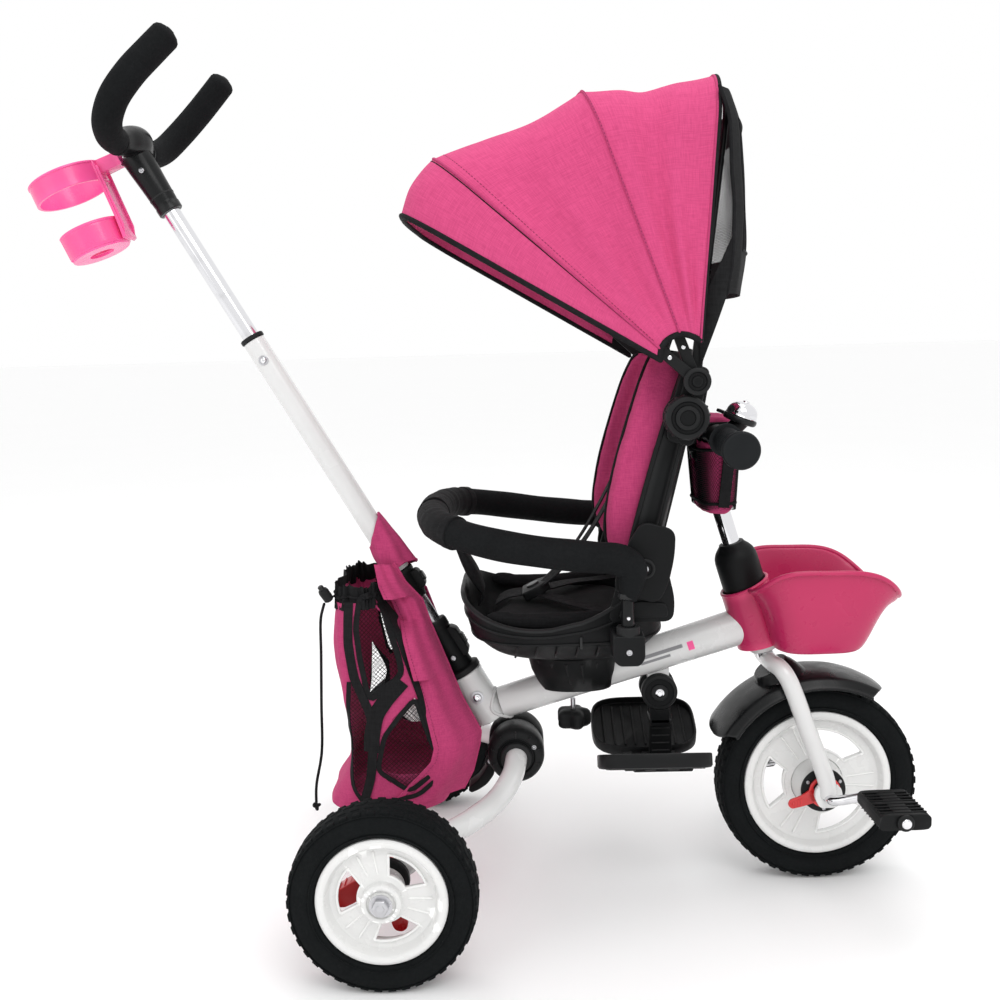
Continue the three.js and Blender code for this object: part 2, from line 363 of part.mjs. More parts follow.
const crankDx = 49, crankDz = 18;
{
  const a = V(FRONT_X + crankDx, 0, FRONT_Z + crankDz), b = V(FRONT_X - crankDx, 0, FRONT_Z - crankDz);
  const half = (c, s) => [V(c.x, s * 186, c.z), V(c.x, s * 145, c.z), V(c.x, s * 118, c.z), V(c.x, s * 105, c.z), V(c.x, s * 98, c.z).lerp(V(FRONT_X, s * 98, FRONT_Z), 0.14), V(FRONT_X, s * 81, FRONT_Z).lerp(V(c.x, s * 81, c.z), 0.16), V(FRONT_X, s * 74, FRONT_Z)];
  const rodR = half(a, -1), rodL = half(b, 1);
  let m = sweep([...rodR, V(FRONT_X, -50, FRONT_Z), V(FRONT_X, 0, FRONT_Z), V(FRONT_X, 50, FRONT_Z), ...rodL.reverse()], 6, { seg: 8, steps: 44 });
  m = m.add(rod(V(FRONT_X, -44.5, FRONT_Z), V(FRONT_X, -39, FRONT_Z), 16, 16, 24)).add(rod(V(FRONT_X, 39, FRONT_Z), V(FRONT_X, 44.5, FRONT_Z), 16, 16, 24));
  addS('crank_axle', m, CHROME, 0.15, 1);
}
for (const s of [-1, 1]) {
  const side = s < 0 ? 'right' : 'left', cx = FRONT_X + (s < 0 ? 1 : -1) * crankDx, cz = FRONT_Z + (s < 0 ? 1 : -1) * crankDz;
  const y0 = s < 0 ? -183 : 110, y1 = s < 0 ? -110 : 183;
  let m = slab([[cx - 30, cz - 6], [cx - 26, cz - 9], [cx + 26, cz - 9], [cx + 30, cz - 6], [cx + 30, cz + 6], [cx + 26, cz + 9], [cx - 26, cz + 9], [cx - 30, cz + 6]], y0, y1)
    .subtract(rod(V(cx, y0 - 2, cz), V(cx, y1 + 2, cz), 6.9, 6.9, 16));
  for (const [u0, u1] of [[-24, -10], [10, 24]]) m = m.subtract(box(cx + u0, cx + u1, y0 + 8, y1 - 8, cz - 20, cz + 20));
  addS('pedal_' + side, m, BLACK, 0.5);
}

// ---------------------------------------------------------------- footrest
{
  const P = FOOT_PIVOT;
  const disc = (y0, y1, r) => rod(V(P.x, y0, P.z), V(P.x, y1, P.z), r, r, 28);
  let m = disc(-20, -8.6, 23).add(disc(8.6, 20, 23)).add(disc(-20, 20, 4))
    .add(box(P.x - 16, P.x + 16, -20, 20, 212, 237))
    .add(box(P.x - 11, P.x + 17, -5, 5, FOOT_Z + 4, 215))
    .add(box(P.x - 34, P.x + 44, -11, 11, FOOT_Z - 8, FOOT_Z + 6));
  add('footrest_strut', m, BLACK, 0.45);
}
for (const s of [-1, 1]) {
  const side = s < 0 ? 'right' : 'left';
  const hw = 50, n = 28, ring = (dz, k) => {
    const pts = [];
    for (let i = 0; i < n; i++) {
      const t = (i + 0.5) / n * 2 * Math.PI, c = Math.cos(t), q = Math.sin(t);
      pts.push(V(319 + 70 * k * Math.sign(c) * Math.abs(c) ** 0.55, s * (hw + hw * k * Math.sign(q) * Math.abs(q) ** 0.6), dz));
    }
    return pts;
  };
  let m = loft([ring(-5, 0.96), ring(-2, 1), ring(4, 1), ring(5, 0.97)]).add(loft([ring(4, 1), ring(13, 1.0)]).subtract(loft([ring(3, 0.93), ring(14, 0.93)])));
  const tr = new THREE.Matrix4().makeTranslation(0, s * 18.5, FOOT_Z).multiply(new THREE.Matrix4().makeRotationX(s * FOOT_TILT * RAD));
  m = moved(m, tr).subtract(box(230, 420, -17, 17, 120, 185)).decompose().sort((a, b) => b.volume() - a.volume())[0];
  add('foot_plate_' + side, m, BLACK, 0.5);
}

// ---------------------------------------------------------------- push pole and handle
add('pole_sleeve', rod(alongPole(-78), alongPole(2), SLEEVE_R, SLEEVE_R, 24).add(rod(alongPole(0.4), alongPole(8), COLLAR_R, COLLAR_R, 28))
  .add(rod(alongPole(6), alongPole(SLEEVE_TOP), SLEEVE_R + 1, SLEEVE_R, 24)).add(moved(solid(new THREE.BoxGeometry(16, 22, 42)), frameAt(alongPole(42).add(V(12, 0, 7)), POLE_U)))
  .subtract(rod(alongPole(15), alongPole(SLEEVE_TOP + 3), LOWER_R + GAP, LOWER_R + GAP, 24)), BLACK, 0.45);
add('pole_lower_tube', rod(alongPole(16), alongPole(202), LOWER_R, LOWER_R, 24), CHROME, 0.3, 1);
add('pole_connector', rod(alongPole(CONN_0), alongPole(CONN_1 - GAP), 13, 16, 24).add(moved(solid(new THREE.BoxGeometry(14, 20, 26)), frameAt(alongPole(137).add(V(13, 0, 7.5)), POLE_U)))
  .subtract(rod(alongPole(CONN_0 - 3), alongPole(CONN_1 + 3), LOWER_R + GAP, LOWER_R + GAP, 24)), BLACK, 0.45);
const buttonAt = alongPole(470);
const buttonHole = rod(buttonAt.clone().add(V(0, 4, 0)), buttonAt.clone().add(V(0, -22, 0)), 4.4, 4.4, 16);
add('pole_outer_tube', pipe(alongPole(CONN_1), alongPole(OUTER_TOP), OUTER_R, LOWER_R + GAP, 24).subtract(rod(buttonAt.clone().add(V(0, -9, 0)), buttonAt.clone().add(V(0, -22, 0)), 4.4, 4.4, 16)), WHITE, 0.25);
add('pole_inner_tube', rod(alongPole(362), alongPole(HUB_0 + 12), INNER_R, INNER_R, 24).subtract(buttonHole), CHROME, 0.1, 1);
add('height_button', rod(buttonAt.clone().add(V(0, -11, 0)), buttonAt.clone().add(V(0, -17, 0)), 3.9, 3.9, 16), CHROME, 0.2, 1);
const gripR = [V(-303, -46, 948), V(-300, -74, 951), V(-292, -100, 962), V(-277, -116, 982), V(-255, -121, 1006), V(-234, -118, 1027), V(-216, -114, 1045)];
{
  let m = rod(alongPole(HUB_0), alongPole(HUB_1 - 9), 14.5, 19, 20)
    .add(sweep([V(-303, -45.4, 948), V(-301, -28, 950), V(-297, -12, 953), V(-295, 0, 954), V(-297, 12, 953), V(-301, 28, 950), V(-303, 45.4, 948)], (t) => 14 + 5 * Math.sin(t * Math.PI), { seg: 14, steps: 12 }))
    .subtract(rod(alongPole(HUB_0 - 4), alongPole(HUB_0 + 13), INNER_R + GAP, INNER_R + GAP, 24));
  m = m.intersect(box(-340, -200, -45.4, 45.4, 800, 1000));
  add('handle_hub', m, BLACK, 0.4);
}
add('handle_grip_right', sweep(gripR, 16.5, { seg: 12, steps: 14, round: 9 }).intersect(box(-400, -100, -200, -45.8, 900, 1100)), BLACK, 0.95);
add('handle_grip_left', mirrorY(sweep(gripR, 16.5, { seg: 12, steps: 14, round: 9 }).intersect(box(-400, -100, -200, -45.8, 900, 1100))), BLACK, 0.95);
{ // drink holder: upper ring, lower cradle, one upright and a clip to the handle hub
  const c = V(-380, 0, 905), d = V(-0.375, 0, 0.927);
  const at = (h) => c.clone().addScaledVector(d, h);
  const band = (h0, h1, r, t) => pipe(at(h0), at(h1), r, r - t, 40);
  let m = band(-12, 12, 46, 4).add(rod(at(-88), at(-84), 36, 36, 40).add(band(-84, -58, 38, 4))
    .subtract(rod(at(-100), at(-50), 15, 15, 24)));
  const across = V(0.927, 0, 0.375);
  const gapBox = moved(solid(new THREE.BoxGeometry(50, 34, 60)), frameAt(at(-75).addScaledVector(across, -34), d));
  m = m.subtract(gapBox);
  const strip = moved(solid(new THREE.BoxGeometry(6, 40, 100)), frameAt(at(-38).addScaledVector(across, 39.5), d));
  m = m.add(strip).add(moved(solid(new THREE.BoxGeometry(36, 26, 16)), frameAt(at(4).addScaledVector(across, 60), d)));
  m = m.subtract(rod(alongPole(640), alongPole(800), 20.5, 20.5, 24)).subtract(sweep([V(-303, -50, 948), V(-295, 0, 954), V(-303, 50, 948)], 20, { seg: 12, steps: 8 }));
  m = m.decompose().sort((a, b) => b.volume() - a.volume())[0];
  add('cup_holder', m, HOT, 0.35);
}

// ---------------------------------------------------------------- seat
{
  let m = loft([superRing(SEAT_X - 56, SEAT_X + 64, 60, 312.4, 24, 0.8), superRing(118, 312, 100, 328, 24, 0.62), superRing(98, 328, 128, 350, 24, 0.55), superRing(88, 334, 136, 392, 24, 0.5), superRing(86, 336, 137, 415, 24, 0.5)]);
  const inner = loft([superRing(SEAT_X - 50, SEAT_X + 58, 56, 319, 24, 0.8), superRing(124, 306, 95, 333, 24, 0.62), superRing(104, 323, 123, 353, 24, 0.55), superRing(93, 329, 131, 392, 24, 0.5), superRing(91, 331, 132, 425, 24, 0.5)]);
  m = m.subtract(inner).subtract(rod(V(178, -200, 525), V(178, 200, 525), 156, 156, 72));
  for (const s of [-1, 1]) {
    const [e0, e1] = s < 0 ? [-137, -130.5] : [130.5, 137];
    m = m.add(slab([[262, 380], [330, 380], [333, 410], [324, 446], [315, 459], [300.7, 465], [286, 459], [277, 446]], e0, e1));
    const [l0, l1] = s < 0 ? [-176, -120] : [120, 176];
    m = m.add(slab([[262, 344], [268, 338], [290, 338], [296, 346], [296, 372], [262, 372]], l0, l1));
    m = m.subtract(rod(V(279, s * 164, 346), V(279, s * 164, 380), 7.8, 7.8, 18)).subtract(rod(V(RECLINE_P.x, s * 120, RECLINE_P.z), V(RECLINE_P.x, s * 150, RECLINE_P.z), 6.4, 6.4, 20));
  }
  m = m.subtract(inner);
  add('seat_shell', m.decompose().sort((a, b) => b.volume() - a.volume())[0], BLACK, 0.45);
}
add('seat_cushion', loft([superRing(140, 292, 82, 338, 24, 0.6), superRing(122, 303, 100, 346, 24, 0.55), superRing(118, 306, 106, 360, 24, 0.55), superRing(126, 298, 98, 371, 24, 0.6)]), LINER, 0.95);
const ringPts = (() => {
  const n = [V(279, 164, 414), V(283, 164, 430), V(284, 164, 446), V(272, 163, 457), V(240, 162, 461), V(190, 161, 467), V(140, 156, 475), V(98, 138, 483), V(68, 104, 489), V(55, 58, 491), V(52, 0, 491)];
  return [...n, ...n.slice(0, -1).reverse().map((p) => V(p.x, -p.y, p.z))];
})();
{
  let m = sweep(ringPts, (t) => { const e = Math.min(t, 1 - t); return e < 0.045 ? 10 + 8 * e / 0.045 : BAR_R; }, { seg: 10, steps: 34 });
  for (const s of [-1, 1]) m = m.add(rod(V(279, s * 164, 348), V(279, s * 164, 418), 7, 7, 16));
  add('bumper_bar', m, BLACK, 0.9);
}
add('crotch_strap', loft([0, 0.25, 0.5, 0.75, 1].map((t) => {
  const c = V(112 - 34 * t - 4 * Math.sin(t * Math.PI), 0, 384 + 84 * t);
  return [V(c.x - 2.5, -17, c.z), V(c.x + 2.5, -17, c.z), V(c.x + 2.5, 17, c.z), V(c.x - 2.5, 17, c.z)];
})).subtract(sweep(ringPts, BAR_R + 0.8, { seg: 10, steps: 34 })).decompose().sort((a, b) => b.volume() - a.volume())[0], BLACK, 0.9);

// backrest built in its own frame: s up the back, n towards its rear face
const backDir = V(Math.sin(LEAN * RAD), 0, Math.cos(LEAN * RAD)), backRear = V(Math.cos(LEAN * RAD), 0, -Math.sin(LEAN * RAD));
const backM = new THREE.Matrix4().makeBasis(backRear, V(0, 1, 0), backDir).setPosition(RECLINE_P);
{
  const sec = (s, n0, n1, hw, p = 0.5) => { return superRing(n0, n1, hw, s, 20, p); };
  let m = loft([sec(-14, -20, 16, 124), sec(20, -34, 20, 129), sec(120, -36, 17, 129), sec(190, -30, 14, 126), sec(236, -20, 11, 112), sec(250, -12, 7, 96)]);
  m = m.subtract(loft([sec(-40, -70, 10, 119), sec(20, -70, 14, 124), sec(120, -70, 12, 124), sec(190, -70, 9, 121), sec(232, -70, 6, 107), sec(244, -70, 2, 88)]));
  for (const s of [-1, 1]) {
    // recline pivots
    m = m.add(rod(V(0, s * 122, 0), V(0, s * 130, 0), 15, 15, 24)).add(rod(V(0, s * 128, 0), V(0, s * 139, 0), 6, 6, 16)).add(rod(V(0, s * 137.6, 0), V(0, s * 142, 0), 10, 10, 20));
    // canopy mounts: arm plate, big round hub, small pivot boss
    const q = (x) => s * x;
    const arm = slab([[-14, 150], [14, 150], [16, 180], [13, 219], [8, 230], [-14, 230], [-19, 219], [-18, 180]], s < 0 ? -138 : 127, s < 0 ? -127 : 138);
    m = m.add(arm).add(rod(V(-2, q(130), 177.3), V(-2, q(160), 177.3), 24, 23, 28)).add(rod(V(-3.4, q(130), 218.6), V(-3.4, q(164), 218.6), 6, 6, 20));
    m = m.add(rod(V(-3.4, q(162.4), 218.6), V(-3.4, q(166), 218.6), 15, 14, 24));
  }
  const placed = moved(m, backM);
  add('backrest_shell', placed.decompose().sort((a, b) => b.volume() - a.volume())[0], BLACK, 0.45);
  let c = loft([sec(-6, -30, 6, 113), sec(24, -48, 10, 119), sec(120, -58, 8, 119), sec(190, -56, 5, 116), sec(228, -50, 2, 100), sec(236, -44, -3, 88)]);
  c = c.subtract(loft([sec(-30, -130, -16, 80, 0.7), sec(24, -130, -18, 86, 0.7), sec(120, -130, -18, 86, 0.7), sec(200, -130, -20, 82, 0.7), sec(260, -130, -22, 78, 0.7)]));
  add('back_cushion', moved(c, backM).decompose().sort((a, b) => b.volume() - a.volume())[0], PINK, 0.95);
}

// ---------------------------------------------------------------- canopy
// point on a bow lying in the plane at angle a through the pivot axis
function bowPoint(a, L, hw, v, cr = 62) {   // v in 0..1 from right pivot to left pivot
  const e = V(Math.cos(a * RAD), 0, Math.sin(a * RAD));
  const straight = L - cr, arc = cr * Math.PI / 2, top = 2 * (hw - cr), total = 2 * straight + 2 * arc + top;
  let d = v * total, r, y;
  const half = d <= total / 2; if (!half) d = total - d;
  if (d < straight) { r = d; y = hw; } else if (d < straight + arc) { const q = (d - straight) / cr; r = straight + cr * Math.sin(q); y = hw - cr + cr * Math.cos(q); } else { const w = d - straight - arc; y = hw - cr - w; r = L + 8 * (1 - (y / (hw - cr)) ** 2); }
  return V(CAN_P.x + e.x * r, half ? -y : y, CAN_P.z + e.z * r);
}
const BOWS = { front: { a: 138.5, L: 366, y: 158.5 }, mid: { a: 110.5, L: 326, y: 151 }, rear: { a: 83, L: 320, y: 143.5 } };
for (const [k, b] of Object.entries(BOWS)) {
  const pts = [];
  for (let i = 0; i <= 24; i++) { const v = 0.018 + (1 - 0.036) * i / 24; pts.push(bowPoint(b.a, b.L, b.y, v)); }
  let m = sweep(pts, 3.2, { seg: 6, steps: 24 });
  for (const s of [-1, 1]) {
    const ring = rod(V(CAN_P.x, s * (b.y - 3), CAN_P.z), V(CAN_P.x, s * (b.y + 3), CAN_P.z), 12, 12, 20).subtract(rod(V(CAN_P.x, s * (b.y - 8), CAN_P.z), V(CAN_P.x, s * (b.y + 8), CAN_P.z), 6.4, 6.4, 16));
    m = m.add(ring);
  }
  m = m.subtract(rod(V(CAN_P.x, -200, CAN_P.z), V(CAN_P.x, 200, CAN_P.z), 6.4, 6.4, 16));
  add('bow_' + k, m.decompose().sort((p, q) => q.volume() - p.volume())[0], BLACK, 0.4);
}
{
  const lerp = (a, b, t) => a + (b - a) * t;
  const keysF = [[139.6, 377, 168.5], [130, 362, 168], [120, 346, 167.2], [110.5, 339, 167], [101, 332, 166.2], [93, 330, 166], [86, 332, 166]];
  const grid = keysF.map(([a, L, hw]) => { const row = []; for (let i = 0; i <= 18; i++) { const v = 0.055 + 0.89 * i / 18; row.push(bowPoint(a, L, hw, v)); } return row; });
  add('canopy_fabric', thick(grid, 2.4), PINK, 0.95);
  const keysV = [[148.5, 374, 171], [145, 380, 171.5], [140.6, 380.5, 171.2]];
  add('canopy_visor', thick(keysV.map(([a, L, hw]) => { const row = []; for (let i = 0; i <= 18; i++) { const v = 0.055 + 0.89 * i / 18; row.push(bowPoint(a, L, hw, v)); } return row; }), 2.4), PINK, 0.95);
  // rear curtain with mesh window, hung from the rear bow
  const keysC = [[83, 332, 166, 0], [0, 958, 166, 420], [0, 925, 164, 428], [0, 850, 161, 433], [0, 790, 157, 433], [0, 748, 150, 428]];
  const rows = [];
  for (const k of keysC.slice(1)) {
    const row = []; const [, z, hw, x] = k;
    for (let i = 0; i <= 12; i++) {
      const q = -1 + 2 * i / 12, y = hw * Math.sign(q) * Math.min(1, Math.abs(q) * 1.22), fx = Math.max(0, (Math.abs(q) - 0.82) / 0.18);
      row.push(V(x - 30 * (y / hw) ** 2 - 8 * fx, y, z));
    }
    rows.push(row);
  }
  add('canopy_curtain', thick(rows, -2.4), BLACK, 0.95);
}

// ---------------------------------------------------------------- storage bag hung behind the frame
{
  const sec = (z, x0, x1, hw) => superRing(x0, x1, hw, z, 20, 0.55);
  const out = loft([sec(128, -86, 50, 84), sec(136, -94, 62, 92), sec(200, -84, 84, 104), sec(270, -80, 44, 100), sec(340, -78, 26, 92), sec(392, -72, -18, 82)]);
  const inn = loft([sec(132, -82, 46, 80), sec(140, -90, 58, 88), sec(200, -80, 80, 100), sec(270, -76, 40, 96), sec(340, -74, 22, 88), sec(400, -68, -24, 76)]);
  let m = out.subtract(inn);
  m = m.subtract(rod(alongPole(-130), alongPole(300), COLLAR_R + 4, COLLAR_R + 4, 24)).subtract(foldBarrelBig);
  add('storage_bag', m.decompose().sort((a, b) => b.volume() - a.volume())[0], PINK, 0.95);
}
add('bag_cord', sweep([V(-82, -70, 392), V(-86, -74, 376), V(-87, -80, 330), V(-89, -84, 270), V(-91, -88, 210), V(-99, -92, 168), V(-100, -94, 140)], 1.8, { seg: 8, steps: 10 }), BLACK, 0.9);

export default group;
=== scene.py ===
# Visual model of a children's push tricycle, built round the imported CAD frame.
import bpy, bmesh, math
import numpy as np
from mathutils import Vector, Matrix, noise


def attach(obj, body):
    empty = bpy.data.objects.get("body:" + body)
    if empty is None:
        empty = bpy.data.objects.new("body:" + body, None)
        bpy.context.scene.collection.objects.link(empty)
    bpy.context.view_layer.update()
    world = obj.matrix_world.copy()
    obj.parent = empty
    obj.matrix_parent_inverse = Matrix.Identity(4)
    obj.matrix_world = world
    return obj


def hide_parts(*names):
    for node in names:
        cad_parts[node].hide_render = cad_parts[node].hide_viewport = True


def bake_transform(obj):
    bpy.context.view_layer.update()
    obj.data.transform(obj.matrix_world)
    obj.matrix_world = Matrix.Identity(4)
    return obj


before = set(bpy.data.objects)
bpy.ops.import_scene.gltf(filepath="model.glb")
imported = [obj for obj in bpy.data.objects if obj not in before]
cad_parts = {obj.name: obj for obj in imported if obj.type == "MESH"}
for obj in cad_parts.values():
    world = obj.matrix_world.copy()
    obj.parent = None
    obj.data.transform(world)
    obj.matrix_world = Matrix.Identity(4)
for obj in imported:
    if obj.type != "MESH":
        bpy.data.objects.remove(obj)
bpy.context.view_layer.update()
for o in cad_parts.values():
    for p in o.data.polygons:
        p.use_smooth = False

# ------------------------------------------------------------------ shared numbers (mm, rear axle at x = 0)
OX = 117.5
S = 0.001
rad = math.radians
def A3(*v): return np.array(v, float)
def unit(v): v = np.array(v, float); return v / np.linalg.norm(v)
POLE_P0, POLE_U = A3(83, 0, 281), unit((-0.5, 0, 0.8660254))
STEER_P, STEER_D = A3(468.3, 0, 303.7), unit((-0.29237, 0, 0.9563))
def pole(t): return POLE_P0 + POLE_U * t
def steer(t): return STEER_P + STEER_D * t
def rotate(p, c, k, a):
    p = np.asarray(p, float) - c
    return p * math.cos(a) + np.cross(k, p) * math.sin(a) + np.outer(p @ k, k).reshape(p.shape) * (1 - math.cos(a)) + c
def turned(p): return rotate(np.atleast_2d(p), STEER_P, STEER_D, rad(2.4))
LEAN = rad(16)
BK_S, BK_N, RECL = A3(math.sin(LEAN), 0, math.cos(LEAN)), A3(math.cos(LEAN), 0, -math.sin(LEAN)), A3(300.7, 0, 443)
def back(n, y, s): return RECL + BK_N * n + A3(0, 1, 0) * y + BK_S * s
CAN = A3(357.6, 0, 654)
FOLD = A3(147, 0, 181)

# ------------------------------------------------------------------ materials
def material(name, base, rough, metal=0.0, **k):
    m = bpy.data.materials.new(name); m.use_nodes = True
    nt = m.node_tree; b = nt.nodes["Principled BSDF"]
    b.inputs["Base Color"].default_value = (*base, 1); b.inputs["Roughness"].default_value = rough; b.inputs["Metallic"].default_value = metal
    for key, val in k.items():
        b.inputs[key.replace("_", " ")].default_value = val
    return m, nt, b
def nd(nt, kind, **k):
    n = nt.nodes.new(kind)
    for key, val in k.items():
        if key in n.inputs: n.inputs[key].default_value = val
        else: setattr(n, key, val)
    return n
def coords(nt, scale=(1, 1, 1), rot=(0, 0, 0), uv=False):
    tc = nt.nodes.new("ShaderNodeTexCoord"); mp = nt.nodes.new("ShaderNodeMapping")
    mp.inputs["Scale"].default_value = scale; mp.inputs["Rotation"].default_value = rot
    nt.links.new(tc.outputs["UV" if uv else "Object"], mp.inputs["Vector"])
    return mp.outputs["Vector"]
def noise_tex(nt, vec, scale, detail=3, rough=0.55):
    n = nt.nodes.new("ShaderNodeTexNoise"); n.inputs["Scale"].default_value = scale
    n.inputs["Detail"].default_value = detail; n.inputs["Roughness"].default_value = rough
    nt.links.new(vec, n.inputs["Vector"]); return n.outputs["Fac"]
def ramp(nt, fac, stops):
    r = nt.nodes.new("ShaderNodeValToRGB"); e = r.color_ramp.elements
    while len(e) < len(stops): e.new(0.5)
    for el, (p, c) in zip(e, stops):
        el.position = p; el.color = (*c, 1) if len(c) == 3 else c
    nt.links.new(fac, r.inputs["Fac"]); return r.outputs["Color"]
def mapr(nt, fac, a, b, lo=0.0, hi=1.0):
    n = nt.nodes.new("ShaderNodeMapRange"); n.inputs["From Min"].default_value = a; n.inputs["From Max"].default_value = b
    n.inputs["To Min"].default_value = lo; n.inputs["To Max"].default_value = hi
    nt.links.new(fac, n.inputs["Value"]); return n.outputs["Result"]
def mix(nt, fac, a, b, mode="MIX"):
    n = nt.nodes.new("ShaderNodeMix"); n.data_type = "RGBA"; n.blend_type = mode
    if isinstance(fac, (int, float)): n.inputs[0].default_value = fac
    else: nt.links.new(fac, n.inputs[0])
    for sock, v in ((n.inputs[6], a), (n.inputs[7], b)):
        if isinstance(v, tuple): sock.default_value = (*v, 1)
        else: nt.links.new(v, sock)
    return n.outputs[2]
def math_node(nt, op, a, b=None):
    n = nt.nodes.new("ShaderNodeMath"); n.operation = op
    for i, v in enumerate((a, b)):
        if v is None: continue
        if isinstance(v, (int, float)): n.inputs[i].default_value = v
        else: nt.links.new(v, n.inputs[i])
    return n.outputs[0]
def bump(nt, b, height, strength, dist=0.0005):
    n = nt.nodes.new("ShaderNodeBump"); n.inputs["Strength"].default_value = strength; n.inputs["Distance"].default_value = dist
    nt.links.new(height, n.inputs["Height"]); nt.links.new(n.outputs["Normal"], b.inputs["Normal"])
def edge_wear(nt):
    g = nt.nodes.new("ShaderNodeNewGeometry"); return mapr(nt, g.outputs["Pointiness"], 0.52, 0.6)

def paint(name, base, rough=0.2):
    m, nt, b = material(name, base, rough, **{"Coat_Weight": 0.6, "Coat_Roughness": 0.06})
    v = coords(nt)
    nt.links.new(mapr(nt, noise_tex(nt, v, 26, 4), 0.3, 0.75, rough - 0.05, rough + 0.12), b.inputs["Roughness"])
    dirty = tuple(c * 0.93 for c in base)
    nt.links.new(mix(nt, mapr(nt, noise_tex(nt, v, 9, 5), 0.45, 0.75), base, dirty), b.inputs["Base Color"])
    bump(nt, b, noise_tex(nt, v, 420, 2), 0.06, 0.0003)
    return m
def plastic(name, base, rough=0.45, grain=1500, strength=0.25, coat=0.0, vary=0.25, spec=0.5):
    m, nt, b = material(name, base, rough, **({"Coat_Weight": coat, "Coat_Roughness": 0.12} if coat else {}))
    b.inputs["Specular IOR Level"].default_value = spec
    v = coords(nt)
    nt.links.new(mapr(nt, noise_tex(nt, v, 40, 4), 0.3, 0.75, rough - 0.08, rough + 0.12), b.inputs["Roughness"])
    lo, hi = tuple(c * (1 - vary) for c in base), tuple(min(1, c * (1 + vary) + 0.004) for c in base)
    col = mix(nt, noise_tex(nt, v, 14, 5), lo, hi)
    worn = tuple(min(1, c * 1.35 + 0.02) for c in base)
    nt.links.new(mix(nt, edge_wear(nt), col, worn), b.inputs["Base Color"])
    bump(nt, b, noise_tex(nt, v, grain, 2, 0.5), strength, 0.0003)
    return m
def metal(name, base, rough, brushed=False):
    m, nt, b = material(name, base, rough, 1.0)
    v = coords(nt, (1, 1, 0.04) if brushed else (1, 1, 1))
    nt.links.new(mapr(nt, noise_tex(nt, v, 900 if brushed else 30, 4), 0.3, 0.75, rough * 0.7, rough * 1.5 + 0.02), b.inputs["Roughness"])
    v2 = coords(nt)
    nt.links.new(mix(nt, mapr(nt, noise_tex(nt, v2, 60, 5), 0.55, 0.8), base, tuple(c * 0.8 for c in base)), b.inputs["Base Color"])
    if brushed: bump(nt, b, noise_tex(nt, v, 900, 2), 0.08, 0.0002)
    return m
def foam(name, base, rough=0.88):
    m, nt, b = material(name, base, rough)
    b.inputs["Specular IOR Level"].default_value = 0.11
    v = coords(nt)
    vo = nt.nodes.new("ShaderNodeTexVoronoi"); vo.inputs["Scale"].default_value = 900; nt.links.new(v, vo.inputs["Vector"])
    n2 = noise_tex(nt, v, 35, 4)
    nt.links.new(mix(nt, n2, tuple(c * 0.75 for c in base), tuple(c * 1.45 for c in base)), b.inputs["Base Color"])
    nt.links.new(mapr(nt, noise_tex(nt, v, 300, 3), 0.3, 0.7, rough - 0.12, rough + 0.08), b.inputs["Roughness"])
    bump(nt, b, vo.outputs["Distance"], 0.35, 0.0005)
    return m
def fabric(name, light, dark, scale=1.0, uv=True, sheen=0.35, melange=1.0, slub=0.35):
    """Melange weave: two thread directions with slubs, heathered colour, thread bump."""
    m, nt, b = material(name, light, 0.9, **{"Sheen_Weight": sheen, "Sheen_Roughness": 0.45})
    b.inputs["Sheen Tint"].default_value = (*[min(1, c * 1.3 + 0.15) for c in light], 1)
    b.inputs["Specular IOR Level"].default_value = 0.25
    if uv:
        warp = noise_tex(nt, coords(nt, (1, 0.06, 1), uv=True), 620 * scale, 3)
        weft = noise_tex(nt, coords(nt, (0.06, 1, 1), uv=True), 620 * scale, 3)
    else:
        warp = noise_tex(nt, coords(nt, (1, 1, 0.08)), 620 * scale, 3)
        weft = noise_tex(nt, coords(nt, (0.1, 0.1, 1)), 620 * scale, 3)
    both = math_node(nt, "MULTIPLY", math_node(nt, "ADD", warp, weft), 0.5)
    speck = noise_tex(nt, coords(nt, uv=uv), 900 * scale, 2)
    fac = mapr(nt, both, 0.40, 0.60)
    col = mix(nt, fac, dark, light)
    blot = mapr(nt, noise_tex(nt, coords(nt), 7, 4), 0.35, 0.7)
    col = mix(nt, math_node(nt, "MULTIPLY", blot, 0.22), col, tuple(c * 0.72 for c in light))
    col = mix(nt, math_node(nt, "MULTIPLY", mapr(nt, speck, 0.6, 0.75), slub), col, tuple(min(1, c * 1.5 + 0.08) for c in light))
    nt.links.new(col, b.inputs["Base Color"])
    wv = []
    for d in ("X", "Y"):
        w = nt.nodes.new("ShaderNodeTexWave"); w.wave_type = "BANDS"; w.bands_direction = d
        w.inputs["Scale"].default_value = 210 * scale; w.inputs["Distortion"].default_value = 0.6; w.inputs["Detail"].default_value = 1
        nt.links.new(coords(nt, uv=uv), w.inputs["Vector"]); wv.append(w.outputs["Fac"])
    h = math_node(nt, "ADD", math_node(nt, "MULTIPLY", wv[0], wv[1]), math_node(nt, "MULTIPLY", both, 1.2))
    bump(nt, b, h, 0.28, 0.0005)
    return m
def webbing(name, base):
    m, nt, b = material(name, base, 0.85)
    b.inputs["Specular IOR Level"].default_value = 0.15
    w = nt.nodes.new("ShaderNodeTexWave"); w.wave_type = "BANDS"; w.bands_direction = "DIAGONAL"; w.inputs["Scale"].default_value = 260
    v = coords(nt); nt.links.new(v, w.inputs["Vector"])
    nt.links.new(mix(nt, noise_tex(nt, v, 120, 3), tuple(c * 0.6 for c in base), tuple(c * 1.7 + 0.004 for c in base)), b.inputs["Base Color"])
    nt.links.new(mapr(nt, noise_tex(nt, v, 200, 2), 0.3, 0.7, 0.7, 0.92), b.inputs["Roughness"])
    bump(nt, b, math_node(nt, "ADD", w.outputs["Fac"], noise_tex(nt, v, 700, 2)), 0.35, 0.0005)
    return m

